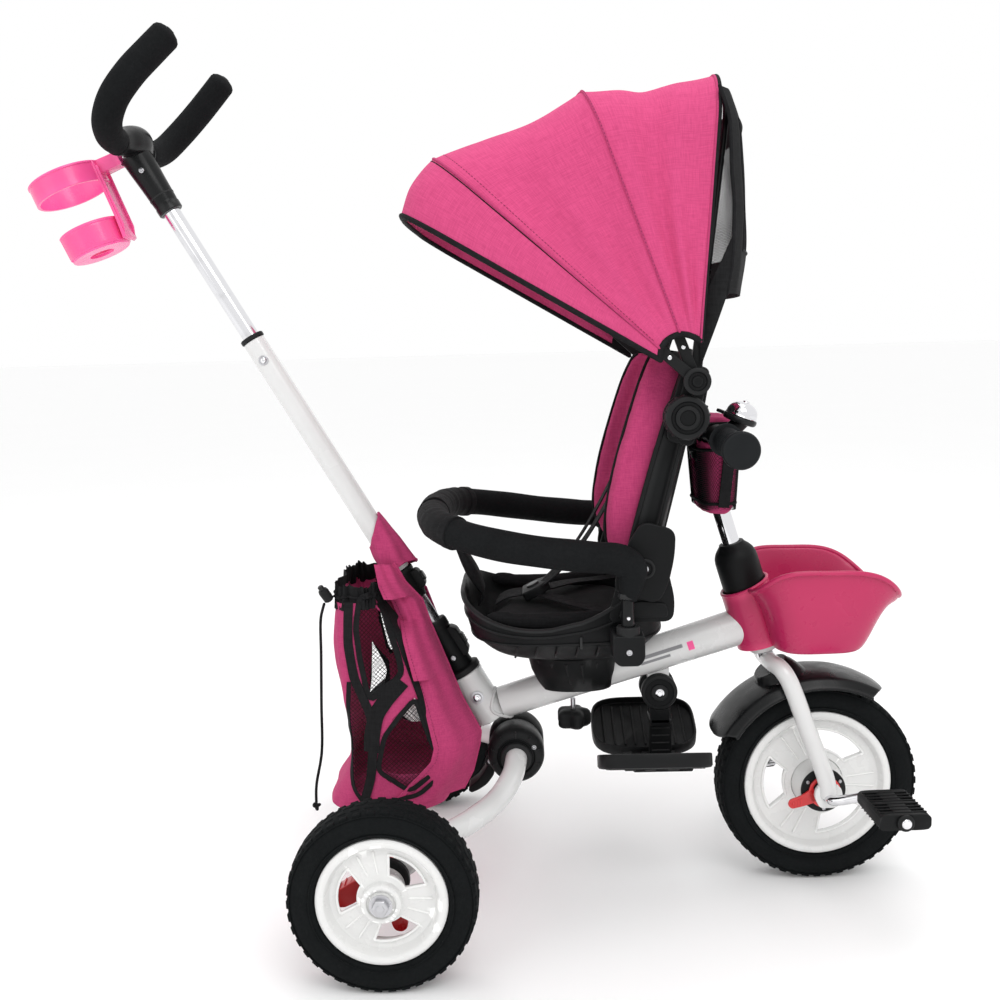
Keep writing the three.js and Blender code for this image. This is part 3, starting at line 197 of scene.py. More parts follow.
WHITE = paint("white_enamel", (0.69, 0.69, 0.685), 0.2)
RIMW = plastic("white_rim_plastic", (0.71, 0.71, 0.70), 0.26, 700, 0.05, coat=0.35, vary=0.03)
CHROME = metal("polished_chrome", (0.78, 0.78, 0.8), 0.06)
SILVER = metal("satin_silver", (0.62, 0.63, 0.65), 0.28, True)
STEEL = metal("zinc_screw", (0.55, 0.55, 0.57), 0.3)
BLACK = plastic("black_moulding", (0.0032, 0.0036, 0.004), 0.46, 1300, 0.3, spec=0.13)
BGLOSS = plastic("black_gloss_moulding", (0.0035, 0.004, 0.0044), 0.29, 900, 0.1, coat=0.06, spec=0.17)
BGREY = plastic("charcoal_grip", (0.0085, 0.0098, 0.011), 0.6, 900, 0.35, spec=0.12)
FOAM = foam("black_foam", (0.0068, 0.0074, 0.008))
TYRE = foam("tyre_rubber", (0.0045, 0.0054, 0.0058), 0.82)
PINK = fabric("pink_melange", (0.64, 0.075, 0.215), (0.52, 0.052, 0.165), scale=1.5, sheen=0.12, slub=0.16)
PINK3 = fabric("pink_melange_body", (0.50, 0.052, 0.165), (0.40, 0.036, 0.128), uv=False, scale=1.5, sheen=0.12, slub=0.14)
LINER = fabric("pink_liner", (0.52, 0.065, 0.18), (0.33, 0.032, 0.11), uv=False)
INNER = fabric("black_lining", (0.0095, 0.0095, 0.0105), (0.004, 0.004, 0.0045), uv=False, sheen=0.0, slub=0.05)
WEB = webbing("black_webbing", (0.006, 0.006, 0.0068))
NET = webbing("black_net", (0.009, 0.009, 0.01))
HOT = plastic("hot_pink_plastic", (0.86, 0.075, 0.285), 0.3, 500, 0.04, coat=0.25, vary=0.05)
TUB = plastic("basket_pink_plastic", (0.46, 0.019, 0.095), 0.3, 500, 0.05, coat=0.12, vary=0.08, spec=0.3)
REDP = plastic("red_plastic", (0.55, 0.012, 0.015), 0.3, 600, 0.05, coat=0.3, vary=0.1)
GREYP = plastic("grey_print", (0.22, 0.22, 0.23), 0.4, 600, 0.03)

# ------------------------------------------------------------------ mesh helpers
def make(name, verts, faces, mat, body, slot, turn=False, uv=None, sharp=38, bevel=0.0, seg=2, sub=0, rep=(), solid=0.0, flip=False, ride=True):
    v = np.asarray(verts, float).reshape(-1, 3)
    if turn: v = turned(v)
    v = (v - A3(OX, 0, 0)) * S
    me = bpy.data.meshes.new(name); me.from_pydata([tuple(p) for p in v], [], [tuple(f) for f in faces]); me.validate(); me.update()
    if uv is not None:
        layer = me.uv_layers.new(name="UVMap"); uvv = np.asarray(uv, float) * S
        idx = np.array([l.vertex_index for l in me.loops]); layer.data.foreach_set("uv", uvv[idx].astype(np.float32).ravel())
    bm = bmesh.new(); bm.from_mesh(me)
    if flip: bmesh.ops.reverse_faces(bm, faces=bm.faces)
    elif not solid: bmesh.ops.recalc_face_normals(bm, faces=bm.faces)
    bm.to_mesh(me); bm.free()
    for p in me.polygons: p.use_smooth = True
    o = bpy.data.objects.new(name, me); bpy.context.scene.collection.objects.link(o)
    me.materials.append(mat)
    if solid:
        m = o.modifiers.new("t", "SOLIDIFY"); m.thickness = solid * S; m.offset = 0
    if bevel:
        m = o.modifiers.new("b", "BEVEL"); m.width = bevel * S; m.segments = seg; m.limit_method = "ANGLE"; m.angle_limit = rad(35); m.harden_normals = False
    if sub:
        m = o.modifiers.new("s", "SUBSURF"); m.levels = m.render_levels = sub
    if solid or bevel or sub: bake(o)
    if sharp: o.data.set_sharp_from_angle(angle=rad(sharp))
    if ride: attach(o, body)
    if rep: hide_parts(*rep)
    return o
def bake(o):
    """Apply every modifier on the object."""
    dg = bpy.context.evaluated_depsgraph_get(); dg.update()
    me = bpy.data.meshes.new_from_object(o.evaluated_get(dg), depsgraph=dg)
    o.modifiers.clear(); old = o.data; o.data = me; me.name = o.name
    bpy.data.meshes.remove(old)
    return o
def spline(pts, n, closed=False):
    """Centripetal Catmull-Rom through pts, resampled to n+1 even points."""
    P = np.asarray(pts, float)
    Q = np.vstack([2 * P[0] - P[1], P, 2 * P[-1] - P[-2]])
    out = []
    for i in range(1, len(Q) - 2):
        p0, p1, p2, p3 = Q[i - 1:i + 3]
        t0 = 0; t1 = t0 + max(np.linalg.norm(p1 - p0), 1e-6) ** 0.5; t2 = t1 + max(np.linalg.norm(p2 - p1), 1e-6) ** 0.5; t3 = t2 + max(np.linalg.norm(p3 - p2), 1e-6) ** 0.5
        t = np.linspace(t1, t2, 24, endpoint=False)[:, None]
        a1 = (t1 - t) / (t1 - t0) * p0 + (t - t0) / (t1 - t0) * p1; a2 = (t2 - t) / (t2 - t1) * p1 + (t - t1) / (t2 - t1) * p2
        a3 = (t3 - t) / (t3 - t2) * p2 + (t - t2) / (t3 - t2) * p3
        b1 = (t2 - t) / (t2 - t0) * a1 + (t - t0) / (t2 - t0) * a2; b2 = (t3 - t) / (t3 - t1) * a2 + (t - t1) / (t3 - t1) * a3
        out.append((t2 - t) / (t2 - t1) * b1 + (t - t1) / (t2 - t1) * b2)
    out = np.vstack(out + [P[-1:]])
    return resample(out, n)
def resample(P, n):
    P = np.asarray(P, float); d = np.r_[0, np.cumsum(np.linalg.norm(np.diff(P, axis=0), axis=1))]
    s = np.linspace(0, d[-1], n + 1)
    return np.stack([np.interp(s, d, P[:, k]) for k in range(P.shape[1])], 1)
def fillet(pts, r, n=8):
    """Polyline with rounded corners."""
    P = [np.asarray(p, float) for p in pts]; out = [P[0]]
    for i in range(1, len(P) - 1):
        a, b, c = P[i - 1], P[i], P[i + 1]; u, v = unit(a - b), unit(c - b)
        rr = r[i - 1] if isinstance(r, (list, tuple)) else r
        d = min(rr, np.linalg.norm(a - b) * 0.48, np.linalg.norm(c - b) * 0.48)
        for t in np.linspace(0, 1, n + 1): out.append((1 - t) ** 2 * (b + u * d) + 2 * t * (1 - t) * b + t * t * (b + v * d))
    out.append(P[-1]); return np.array(out)
def frames(P):
    T = np.gradient(P, axis=0); T /= np.linalg.norm(T, axis=1)[:, None]
    up = A3(0, 0, 1) if abs(T[0][2]) < 0.9 else A3(1, 0, 0); U = []
    for t in T:
        up = up - t * (up @ t); up /= np.linalg.norm(up); U.append(up.copy())
    U = np.array(U); return T, U, np.cross(T, U)
def sweep(P, r, seg=32, section=None, ends="flat", cr=None, twist=None):
    """Tube along P. r is a number or one per point; section is an optional list of (side, up) unit points."""
    P = np.asarray(P, float); T, U, N = frames(P); n = len(P)
    R = np.full(n, float(r)) if np.isscalar(r) else np.asarray(r, float)
    if section is None:
        a = np.linspace(0, 2 * math.pi, seg, endpoint=False); section = np.stack([np.cos(a), np.sin(a)], 1)
    sec = np.asarray(section, float); seg = len(sec)
    rings = [P[i] + R[i] * (np.outer(sec[:, 0], N[i]) + np.outer(sec[:, 1], U[i])) for i in range(n)]
    d = np.r_[0, np.cumsum(np.linalg.norm(np.diff(P, axis=0), axis=1))]; along = list(d)
    if ends in ("round", "soft"):
        k = 1.0 if ends == "round" else 0.35
        c = cr if cr else R[0] * k; c2 = cr if cr else R[-1] * k
        add0, add1 = [], []
        for q in (0.38, 0.71, 0.92, 0.995):
            s = math.sqrt(max(0, 1 - q * q)) if ends == "round" else 1 - (1 - math.sqrt(max(0, 1 - q * q))) * c / R[0]
            add0.append(P[0] - T[0] * c * q + (rings[0] - P[0]) * s); add1.append(P[-1] + T[-1] * c2 * q + (rings[-1] - P[-1]) * s)
        rings = add0[::-1] + rings + add1
        along = [along[0] - c] * 4 + along + [along[-1] + c2] * 4
    V = np.vstack(rings); m = len(rings); F = []
    for i in range(m - 1):
        for j in range(seg): F.append((i * seg + j, i * seg + (j + 1) % seg, (i + 1) * seg + (j + 1) % seg, (i + 1) * seg + j))
    F.append(tuple(range(seg))[::-1]); F.append(tuple((m - 1) * seg + j for j in range(seg)))
    per = float(np.mean(R)) * 2 * math.pi
    uv = [(along[i], per * j / seg) for i in range(m) for j in range(seg)]
    return V, F, uv
def tube(name, P, r, mat, body, slot, seg=32, ends="flat", turn=False, rep=(), section=None, bevel=0.0, sharp=38, cr=None, ride=True):
    V, F, uv = sweep(P, r, seg, section, ends, cr)
    return make(name, V, F, mat, body, slot, turn=turn, uv=uv, rep=rep, bevel=bevel, sharp=sharp, ride=ride)
def basis(d):
    z = unit(d); y = A3(0, 1, 0) if abs(z[1]) < 0.9 else A3(0, 0, 1); x = unit(np.cross(y, z)); return x, np.cross(z, x), z
def lathe_vf(prof, c, d, seg=64, wave=None):
    x, y, z = basis(d); V, F = [], []; n = len(prof)
    for k in range(seg):
        a = 2 * math.pi * k / seg; e = x * math.cos(a) + y * math.sin(a)
        for j, (r, h) in enumerate(prof):
            rr = r + (wave(k, j) if wave else 0); V.append(np.asarray(c) + e * rr + z * h)
    for k in range(seg):
        q = (k + 1) % seg
        for j in range(n - 1): F.append((k * n + j, q * n + j, q * n + j + 1, k * n + j + 1))
    if prof[0][0] > 1e-6 and prof[-1][0] > 1e-6 and prof[0] != prof[-1]:
        pass
    return V, F
def lathe(name, prof, c, d, mat, body, slot, seg=64, turn=False, rep=(), bevel=0.0, bseg=2, sharp=38, wave=None, closed=False):
    if closed: prof = list(prof) + [prof[0]]
    V, F = lathe_vf(prof, c, d, seg, wave)
    v = np.array(V); key = {}; remap = []; W = []
    for p in np.round(v, 4):
        t = tuple(p)
        if t not in key: key[t] = len(W); W.append(p)
        remap.append(key[t])
    G = []
    for f in F:
        g = []
        for i in f:
            i = remap[i]
            if not g or (g[-1] != i and g[0] != i): g.append(i)
        if len(g) >= 3: G.append(g)
    return make(name, W, G, mat, body, slot, turn=turn, rep=rep, bevel=bevel, seg=bseg, sharp=sharp)
def prism_vf(outline, c, ex, ey, ez, h0, h1):
    n = len(outline); V = [np.asarray(c) + ex * x + ey * y + ez * h for h in (h0, h1) for x, y in outline]
    F = [tuple(range(n))[::-1], tuple(range(n, 2 * n))] + [(i, (i + 1) % n, n + (i + 1) % n, n + i) for i in range(n)]
    return V, F
def prism(name, outline, h0, h1, mat, body, slot, c=(0, 0, 0), ex=(1, 0, 0), ey=(0, 0, 1), ez=(0, 1, 0), turn=False, rep=(), bevel=1.0, seg=3, round_r=0, sharp=38):
    o2 = fillet2(outline, round_r) if round_r else outline
    V, F = prism_vf(o2, c, np.array(ex, float), np.array(ey, float), np.array(ez, float), h0, h1)
    return make(name, V, F, mat, body, slot, turn=turn, rep=rep, bevel=bevel, seg=seg, sharp=sharp)
def fillet2(out, r, n=6):
    P = [np.array(p, float) for p in out]; res = []; m = len(P)
    for i in range(m):
        a, b, c = P[i - 1], P[i], P[(i + 1) % m]; u, v = unit(a - b), unit(c - b)
        d = min(r, np.linalg.norm(a - b) * 0.45, np.linalg.norm(c - b) * 0.45)
        for t in np.linspace(0, 1, n + 1): res.append(tuple((1 - t) ** 2 * (b + u * d) + 2 * t * (1 - t) * b + t * t * (b + v * d)))
    return res
def sring(x0, x1, hw, z, n=64, p=0.6):
    t = (np.arange(n) + 0.5) / n * 2 * math.pi; c, s = np.cos(t), np.sin(t)
    zz = np.array([z(a, b) for a, b in zip(c, s)]) if callable(z) else np.full(n, float(z))
    return np.stack([(x0 + x1) / 2 + (x1 - x0) / 2 * np.sign(c) * np.abs(c) ** p, hw * np.sign(s) * np.abs(s) ** p, zz], 1)
def loft_vf(rings, caps=(True, True)):
    n = len(rings[0]); V = np.vstack(rings); F = []
    for k in range(len(rings) - 1):
        for i in range(n): F.append((k * n + i, k * n + (i + 1) % n, (k + 1) * n + (i + 1) % n, (k + 1) * n + i))
    V = list(V)
    for k, on in ((0, caps[0]), (len(rings) - 1, caps[1])):
        if on:
            c = len(V); V.append(np.mean(rings[k], axis=0))
            for i in range(n): F.append((c, k * n + (i + 1) % n, k * n + i) if k == 0 else (c, k * n + i, k * n + (i + 1) % n))
    return V, F
def grid_vf(G):
    nu, nv = len(G), len(G[0]); V = [p for row in G for p in row]
    F = [(i * nv + j, (i + 1) * nv + j, (i + 1) * nv + j + 1, i * nv + j + 1) for i in range(nu - 1) for j in range(nv - 1)]
    du = np.r_[0, np.cumsum([np.mean(np.linalg.norm(np.array(G[i + 1]) - np.array(G[i]), axis=1)) for i in range(nu - 1)])]
    mid = np.array(G[nu // 2]); dv = np.r_[0, np.cumsum(np.linalg.norm(np.diff(mid, axis=0), axis=1))]
    uv = [(du[i], dv[j]) for i in range(nu) for j in range(nv)]
    return V, F, uv
def boolean(o, cutters):
    """Cut plain meshes (verts, faces in mm, already placed) out of an object that has no parent yet."""
    for V, F in cutters:
        me = bpy.data.meshes.new("cut"); v = (np.asarray(V, float) - A3(OX, 0, 0)) * S
        me.from_pydata([tuple(p) for p in v], [], [tuple(f) for f in F])
        bm = bmesh.new(); bm.from_mesh(me); bmesh.ops.recalc_face_normals(bm, faces=bm.faces); bm.to_mesh(me); bm.free()
        c = bpy.data.objects.new("cut", me); bpy.context.scene.collection.objects.link(c)
        m = o.modifiers.new("x", "BOOLEAN"); m.operation = "DIFFERENCE"; m.solver = "EXACT"; m.object = c
        bake(o); bpy.data.objects.remove(c); bpy.data.meshes.remove(me)
    return o
def finish_piece(o, body, rep=(), bevel=0.0, seg=2, sharp=38):
    if bevel:
        m = o.modifiers.new("b", "BEVEL"); m.width = bevel * S; m.segments = seg; m.limit_method = "ANGLE"; m.angle_limit = rad(38)
        bake(o)
    for p in o.data.polygons: p.use_smooth = True
    o.data.set_sharp_from_angle(angle=rad(sharp))
    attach(o, body)
    if rep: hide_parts(*rep)
    return o
def screw(name, c, d, r, body, turn=False, mat=None, hexa=False):
    prof = [(0, r * 0.42), (r * 0.35, r * 0.42), (r * 0.4, r * 0.2), (r * 0.55, r * 0.2), (r * 0.6, r * 0.46), (r * 0.88, r * 0.36), (r, r * 0.1), (r, -r * 0.3), (0, -r * 0.3)]
    return lathe(name, prof, c, d, mat or STEEL, body, "chrome", seg=6 if hexa else 28, turn=turn, sharp=30)

# ------------------------------------------------------------------ camera, floor and light
cd = bpy.data.cameras.new("cam"); cam = bpy.data.objects.new("cam", cd); bpy.context.scene.collection.objects.link(cam)
CP, CYAW, CROLL = 0.145, -0.0232, -0.028
fw = A3(math.sin(CYAW) * math.cos(CP), math.cos(CYAW) * math.cos(CP), -math.sin(CP)); rt = A3(math.cos(CYAW), -math.sin(CYAW), 0.0)
upv = np.cross(rt, fw); cr_, sr_ = math.cos(CROLL), math.sin(CROLL)
rt, upv = cr_ * rt + sr_ * upv, -sr_ * rt + cr_ * upv
cam.matrix_world = Matrix(((rt[0], upv[0], -fw[0], 0.1662 - 0.1175), (rt[1], upv[1], -fw[1], -1.3613), (rt[2], upv[2], -fw[2], 0.7036), (0, 0, 0, 1)))
cd.sensor_width = 36.0; cd.lens = 39.17; cd.clip_start = 0.02
bpy.context.scene.camera = cam
fm, nt, b = material("floor_white", (0.97, 0.97, 0.97), 0.8)
nt.links.new(mix(nt, noise_tex(nt, coords(nt), 2.0, 2), (0.965, 0.965, 0.965), (0.98, 0.98, 0.98)), b.inputs["Base Color"])
me = bpy.data.meshes.new("floor"); me.from_pydata([(-60, -60, 0), (60, -60, 0), (60, 60, 0), (-60, 60, 0)], [], [(0, 1, 2, 3)]); me.materials.append(fm)
fl = bpy.data.objects.new("floor", me); bpy.context.scene.collection.objects.link(fl); fl.location.z = -0.0006
w = bpy.data.worlds.new("w"); bpy.context.scene.world = w; w.use_nodes = True
w.node_tree.nodes["Background"].inputs["Color"].default_value = (1, 1, 1, 1); w.node_tree.nodes["Background"].inputs["Strength"].default_value = 1.0
def area(name, loc, to, size, power):
    l = bpy.data.lights.new(name, "AREA"); l.shape = "RECTANGLE"; l.size, l.size_y = size; l.energy = power
    o = bpy.data.objects.new(name, l); bpy.context.scene.collection.objects.link(o)
    o.location = loc; o.rotation_euler = (Vector(to) - Vector(loc)).to_track_quat("-Z", "Y").to_euler()
area("key", (0.7, -1.9, 2.4), (0.0, 0.0, 0.5), (1.6, 1.2), 20)
area("fill", (-2.0, -1.6, 1.2), (0.0, 0.0, 0.5), (1.4, 1.4), 4)
area("top", (0.1, 0.2, 2.8), (0.0, 0.0, 0.4), (2.0, 1.4), 16)
bpy.context.scene.view_settings.view_transform = "Standard"; bpy.context.scene.view_settings.look = "None"; bpy.context.scene.view_settings.exposure = 0.0

# ------------------------------------------------------------------ main frame tubes
MA, MB = A3(112, 0, 233.6), A3(458, 0, 340.5)
mdir = unit(MB - MA); mlen = np.linalg.norm(MB - MA)
mside, mup = A3(0, -1, 0), unit(np.cross(mdir, A3(0, 1, 0)) * -1)
if mup[2] < 0: mup = -mup
def main_at(t): return MA + mdir * t
def main_r(t): return 20.5 + 3.0 * t / mlen
def weld_path(k):
    a = np.linspace(0, 2 * math.pi, 91)
    return a
t0 = 18.0
tt = np.linspace(t0, mlen - 3, 60)
tube("main_beam", [main_at(t) for t in tt], [main_r(t) for t in tt], WHITE, "frame", "white_paint", 64, rep=("main_tube",))
def weld(name, pts, r, body, turn=False, mat=None, slot="white_paint"):
    P = np.array(pts); n = len(P)
    rr = [r * (1 + 0.22 * math.sin(i * 1.9) * math.sin(i * 0.7 + 1)) for i in range(n)]
    return tube(name, P, rr, mat or WHITE, body, slot, 10, turn=turn)
def saddle_curve(axis_p, axis_d, R, tube_p, tube_d, r, n=96, sign=1):
    """Points where a tube of radius r (through tube_p along tube_d) meets the cylinder of radius R."""
    x, y, z = basis(tube_d); out = []
    ad = unit(axis_d)
    for k in range(n + 1):
        a = 2 * math.pi * k / n; o = tube_p + (x * math.cos(a) + y * math.sin(a)) * r
        w = o - axis_p; dd = tube_d - ad * (tube_d @ ad); ww = w - ad * (w @ ad)
        A_, B_, C_ = dd @ dd, 2 * dd @ ww, ww @ ww - R * R
        disc = max(B_ * B_ - 4 * A_ * C_, 0); t = (-B_ + sign * math.sqrt(disc)) / (2 * A_)
        out.append(o + tube_d * t)
    return out
weld("weld_main_head", saddle_curve(STEER_P, STEER_D, 17.6, MB, mdir, 23.3, sign=-1), 2.3, "frame")
weld("weld_main_socket", saddle_curve(POLE_P0, POLE_U, 21.8, MA, mdir, 20.6, sign=1), 2.2, "frame")
# letter-free printed stripe on the side of the beam
def beam_patch(name, ta, tb, a0, a1, mat, lift=0.18, n=40, m=10):
    G = [[main_at(t) + (mside * math.cos(a) + mup * math.sin(a)) * (main_r(t) + lift) for a in np.linspace(a0, a1, m)] for t in np.linspace(ta, tb, n)]
    V, F, uv = grid_vf(G); return make(name, V, F, mat, "frame", "gloss_black", uv=uv, solid=0.25)
beam_patch("beam_stripe_long", 205, 262, rad(8), rad(20), GREYP)
beam_patch("beam_stripe_short", 205, 244, rad(-8), rad(1), GREYP)
beam_patch("beam_stripe_pink", 268, 276, rad(-8), rad(20), HOT)
# head tube with rolled edges, bearing cups
hp = [(11.6, 0), (16.6, 0), (17.5, 1), (17.5, 5), (18.6, 6), (18.6, 8), (17.5, 9), (17.5, 49), (18.6, 50), (18.6, 52), (17.5, 53), (17.5, 57), (16.6, 58), (11.6, 58)]
lathe("head_tube_shell", hp, STEER_P, STEER_D, WHITE, "frame", "white_paint", 64, rep=("head_tube",), closed=True)
# pole socket
t = -103.0
sp = [(16.7, -70), (20.8, -70), (21.75, -69), (21.75, -6), (22.4, -5), (22.4, -1), (21.4, 0), (16.7, 0)]
lathe("pole_socket_shell", sp, POLE_P0, POLE_U, WHITE, "frame", "white_paint", 64, rep=("pole_socket",), closed=True)
tube("pole_socket_foot", [pole(-104 + 36), pole(-69.5)], 21.3, WHITE, "frame", "white_paint", 64)
screw("socket_bolt", pole(-32) + A3(0, -21.5, 0), (0, -1, 0), 5.2, "frame", mat=CHROME)
lathe("socket_bolt_washer", [(5.5, -0.6), (8.4, -0.6), (8.4, 0.9), (5.5, 1.2)], pole(-32) + A3(0, -21.9, 0), (0, -1, 0), STEEL, "frame", "chrome", 40, closed=True)

# ------------------------------------------------------------------ folding housing under the seat
for s, n in ((-1, "right"), (1, "left")):
    lathe("fold_cheek_" + n, [(15.2, 6), (34, 6), (36, 9), (36, 33), (34.8, 38), (31, 42), (27, 43.6), (24, 43.2), (23, 41), (19, 41), (18, 44.6), (15.2, 44.6)], FOLD, (0, s, 0), BLACK, "frame", "black_plastic", 72, rep=("fold_housing",), closed=True)
    for k in range(10):
        a = 2 * math.pi * (k + 0.5) / 10
        c = FOLD + A3(math.cos(a) * 28.5, s * 43.2, math.sin(a) * 28.5)
        prism("fold_rib_%s_%d" % (n, k), [(-4.6, -0.9), (4.6, -0.9), (4.6, 0.9), (-4.6, 0.9)], -2.5, 0.6, BLACK, "frame", "black_plastic", c=c, ex=(math.cos(a), 0, math.sin(a)), ey=(-math.sin(a), 0, math.cos(a)), ez=(0, s, 0), bevel=0.5)
    screw("fold_screw_" + n, FOLD + A3(26 * math.cos(0.5), s * 42.5, 26 * math.sin(0.5)), (0, s, 0), 3.2, "frame")
lathe("fold_core", [(15.2, -6.5), (32.5, -6.5), (33.6, -5.5), (33.6, 5.5), (32.5, 6.5), (15.2, 6.5)], FOLD, (0, 1, 0), BGLOSS, "frame", "black_plastic", 72, closed=True)
prism("fold_lever_body", [(109, 158.8), (119, 160), (117.5, 146), (108, 133), (97, 125.5), (87, 121.5), (83, 125), (85, 130), (96, 138.5), (104, 149)], -13.6, 13.6, BLACK, "fold_latch", "black_plastic", bevel=1.6, seg=3, round_r=4, rep=("fold_lever",))
lathe("fold_lever_pin", [(0, -15.4), (3.2, -15.4), (3.6, -14.9), (3.6, 14.9), (3.2, 15.4), (0, 15.4)], (113, 0, 165), (0, 1, 0), STEEL, "fold_latch", "black_plastic", 32)
for s in (-1, 1):
    lathe("fold_lever_eye_%d" % s, [(3.7, 8.8), (6.4, 8.8), (7, 9.6), (7, 13.2), (6.3, 13.9), (3.7, 13.9)], (113, 0, 165), (0, s, 0), BLACK, "fold_latch", "black_plastic", 40, closed=True)
for k in range(5):
    x = 88 + k * 4.2; z = 123.2 + k * 2.6
    prism("fold_lever_grip_%d" % k, [(-0.7, -1.2), (0.7, -1.2), (0.7, 0.8), (-0.7, 0.8)], -11, 11, BLACK, "fold_latch", "black_plastic", c=(x, 0, z - 0.6), ex=(0.85, 0, 0.52), ey=(-0.52, 0, 0.85), bevel=0.4)

# ------------------------------------------------------------------ seat saddle and knob
SX = 222
sr = [sring(SX - 42, SX + 50, 34, 262, 96, 0.8), sring(SX - 47, SX + 53, 42, 273, 96, 0.85), sring(SX - 53, SX + 56, 51, 286, 96, 0.9), sring(SX - 56, SX + 57, 55, 298, 96, 0.97), sring(SX - 57, SX + 57, 57, 309, 96, 1), sring(SX - 55.5, SX + 55.5, 55.5, 311.6, 96, 1)]
V, F = loft_vf(sr); o = make("saddle_block", V, F, BLACK, "frame", "black_plastic", ride=False)
mb_v, mb_f, _ = sweep([main_at(-20), main_at(mlen + 20)], [21.0 + 0.05, 24.0], 64)
boolean(o, [(mb_v, mb_f)]); finish_piece(o, "frame", ("seat_saddle",), bevel=1.0)
for k in range(18):
    a = 2 * math.pi * k / 18
    if abs(math.cos(a)) > 0.93: continue
    ca, sa = math.cos(a), math.sin(a)
    p0 = A3(SX + 55.4 * ca, 55.8 * sa, 303); p1 = A3(SX + 4 + 46 * ca, 44 * sa, 276)
    tube("saddle_rib_%d" % k, [p0, (p0 + p1) / 2 + A3(ca, sa, 0) * 1.3, p1], [1.8, 1.7, 1.3], BLACK, "frame", "black_plastic", 12, ends="round")
kn = []
for i in range(120):
    a = i / 120 * 2 * math.pi; r = 20.3 + 2.7 * math.cos(5 * a); kn.append((r * math.cos(a), r * math.sin(a)))
rings = [np.array([(SX + x * k, y * k, z) for x, y in kn]) for z, k in ((206, 0.72), (206.6, 0.84), (208.4, 0.95), (211, 1.0), (222, 1.0), (225.4, 0.95), (227.6, 0.84), (229, 0.6))]
V, F = loft_vf(rings); make("seat_knob_star", V, F, BLACK, "clamp_knob", "black_plastic", rep=("seat_knob",))
lathe("seat_knob_stud", [(0, 227), (3.2, 227), (3.2, 243), (0, 243)], (SX, 0, 0), (0, 0, 1), STEEL, "clamp_knob", "chrome", 24)

# ------------------------------------------------------------------ rear arms
half = [(147, 0, 181), (147, -28, 181), (147, -50, 181), (142, -76, 170), (124, -106, 153), (93, -148, 145), (64, -174, 139), (30, -190, 122), (8, -196, 109), (1, -201, 105)]
arm = [A3(*p) for p in half[::-1]] + [A3(p[0], -p[1], p[2]) for p in half[1:]]
AP = spline(arm, 200)
tube("rear_arm", AP, 13.7, WHITE, "rear_fork", "white_paint", 48, ends="soft", rep=("rear_arm_tube",))
for s, n in ((-1, "right"), (1, "left")):
    lathe("axle_boss_" + n, [(5.2, 188.5), (11.5, 188.5), (13, 190), (13, 208), (12, 209), (5.2, 209)], (0, 0, 105), (0, s, 0), WHITE, "rear_fork", "white_paint", 48, closed=True)
    lathe("rear_axle_" + n, [(0, 180), (5, 180), (5, 271), (4.2, 272), (0, 272)], (0, 0, 105), (0, s, 0), STEEL, "rear_fork", "chrome", 32)
    lathe("rear_nut_" + n, [(0, 268.6), (9, 268.6), (9.6, 269.2), (9.6, 273.6), (8.4, 274.6), (5.2, 275.0), (5, 275.9), (0, 275.9)], (0, 0, 105), (0, s, 0), STEEL, "rear_fork", "chrome", 6, bevel=0.4)
    lathe("rear_washer_" + n, [(5.1, 267.4), (12.6, 267.4), (12.9, 267.8), (12.9, 268.6), (5.1, 268.6)], (0, 0, 105), (0, s, 0), STEEL, "rear_fork", "chrome", 40, closed=True)
    lathe("arm_bush_" + n, [(14.0, 41), (18.6, 41), (19.6, 42), (19.6, 48), (18.2, 49.5), (14.0, 49.5)], (147, 0, 181), (0, s, 0), BLACK, "rear_fork", "black_plastic", 48, closed=True)

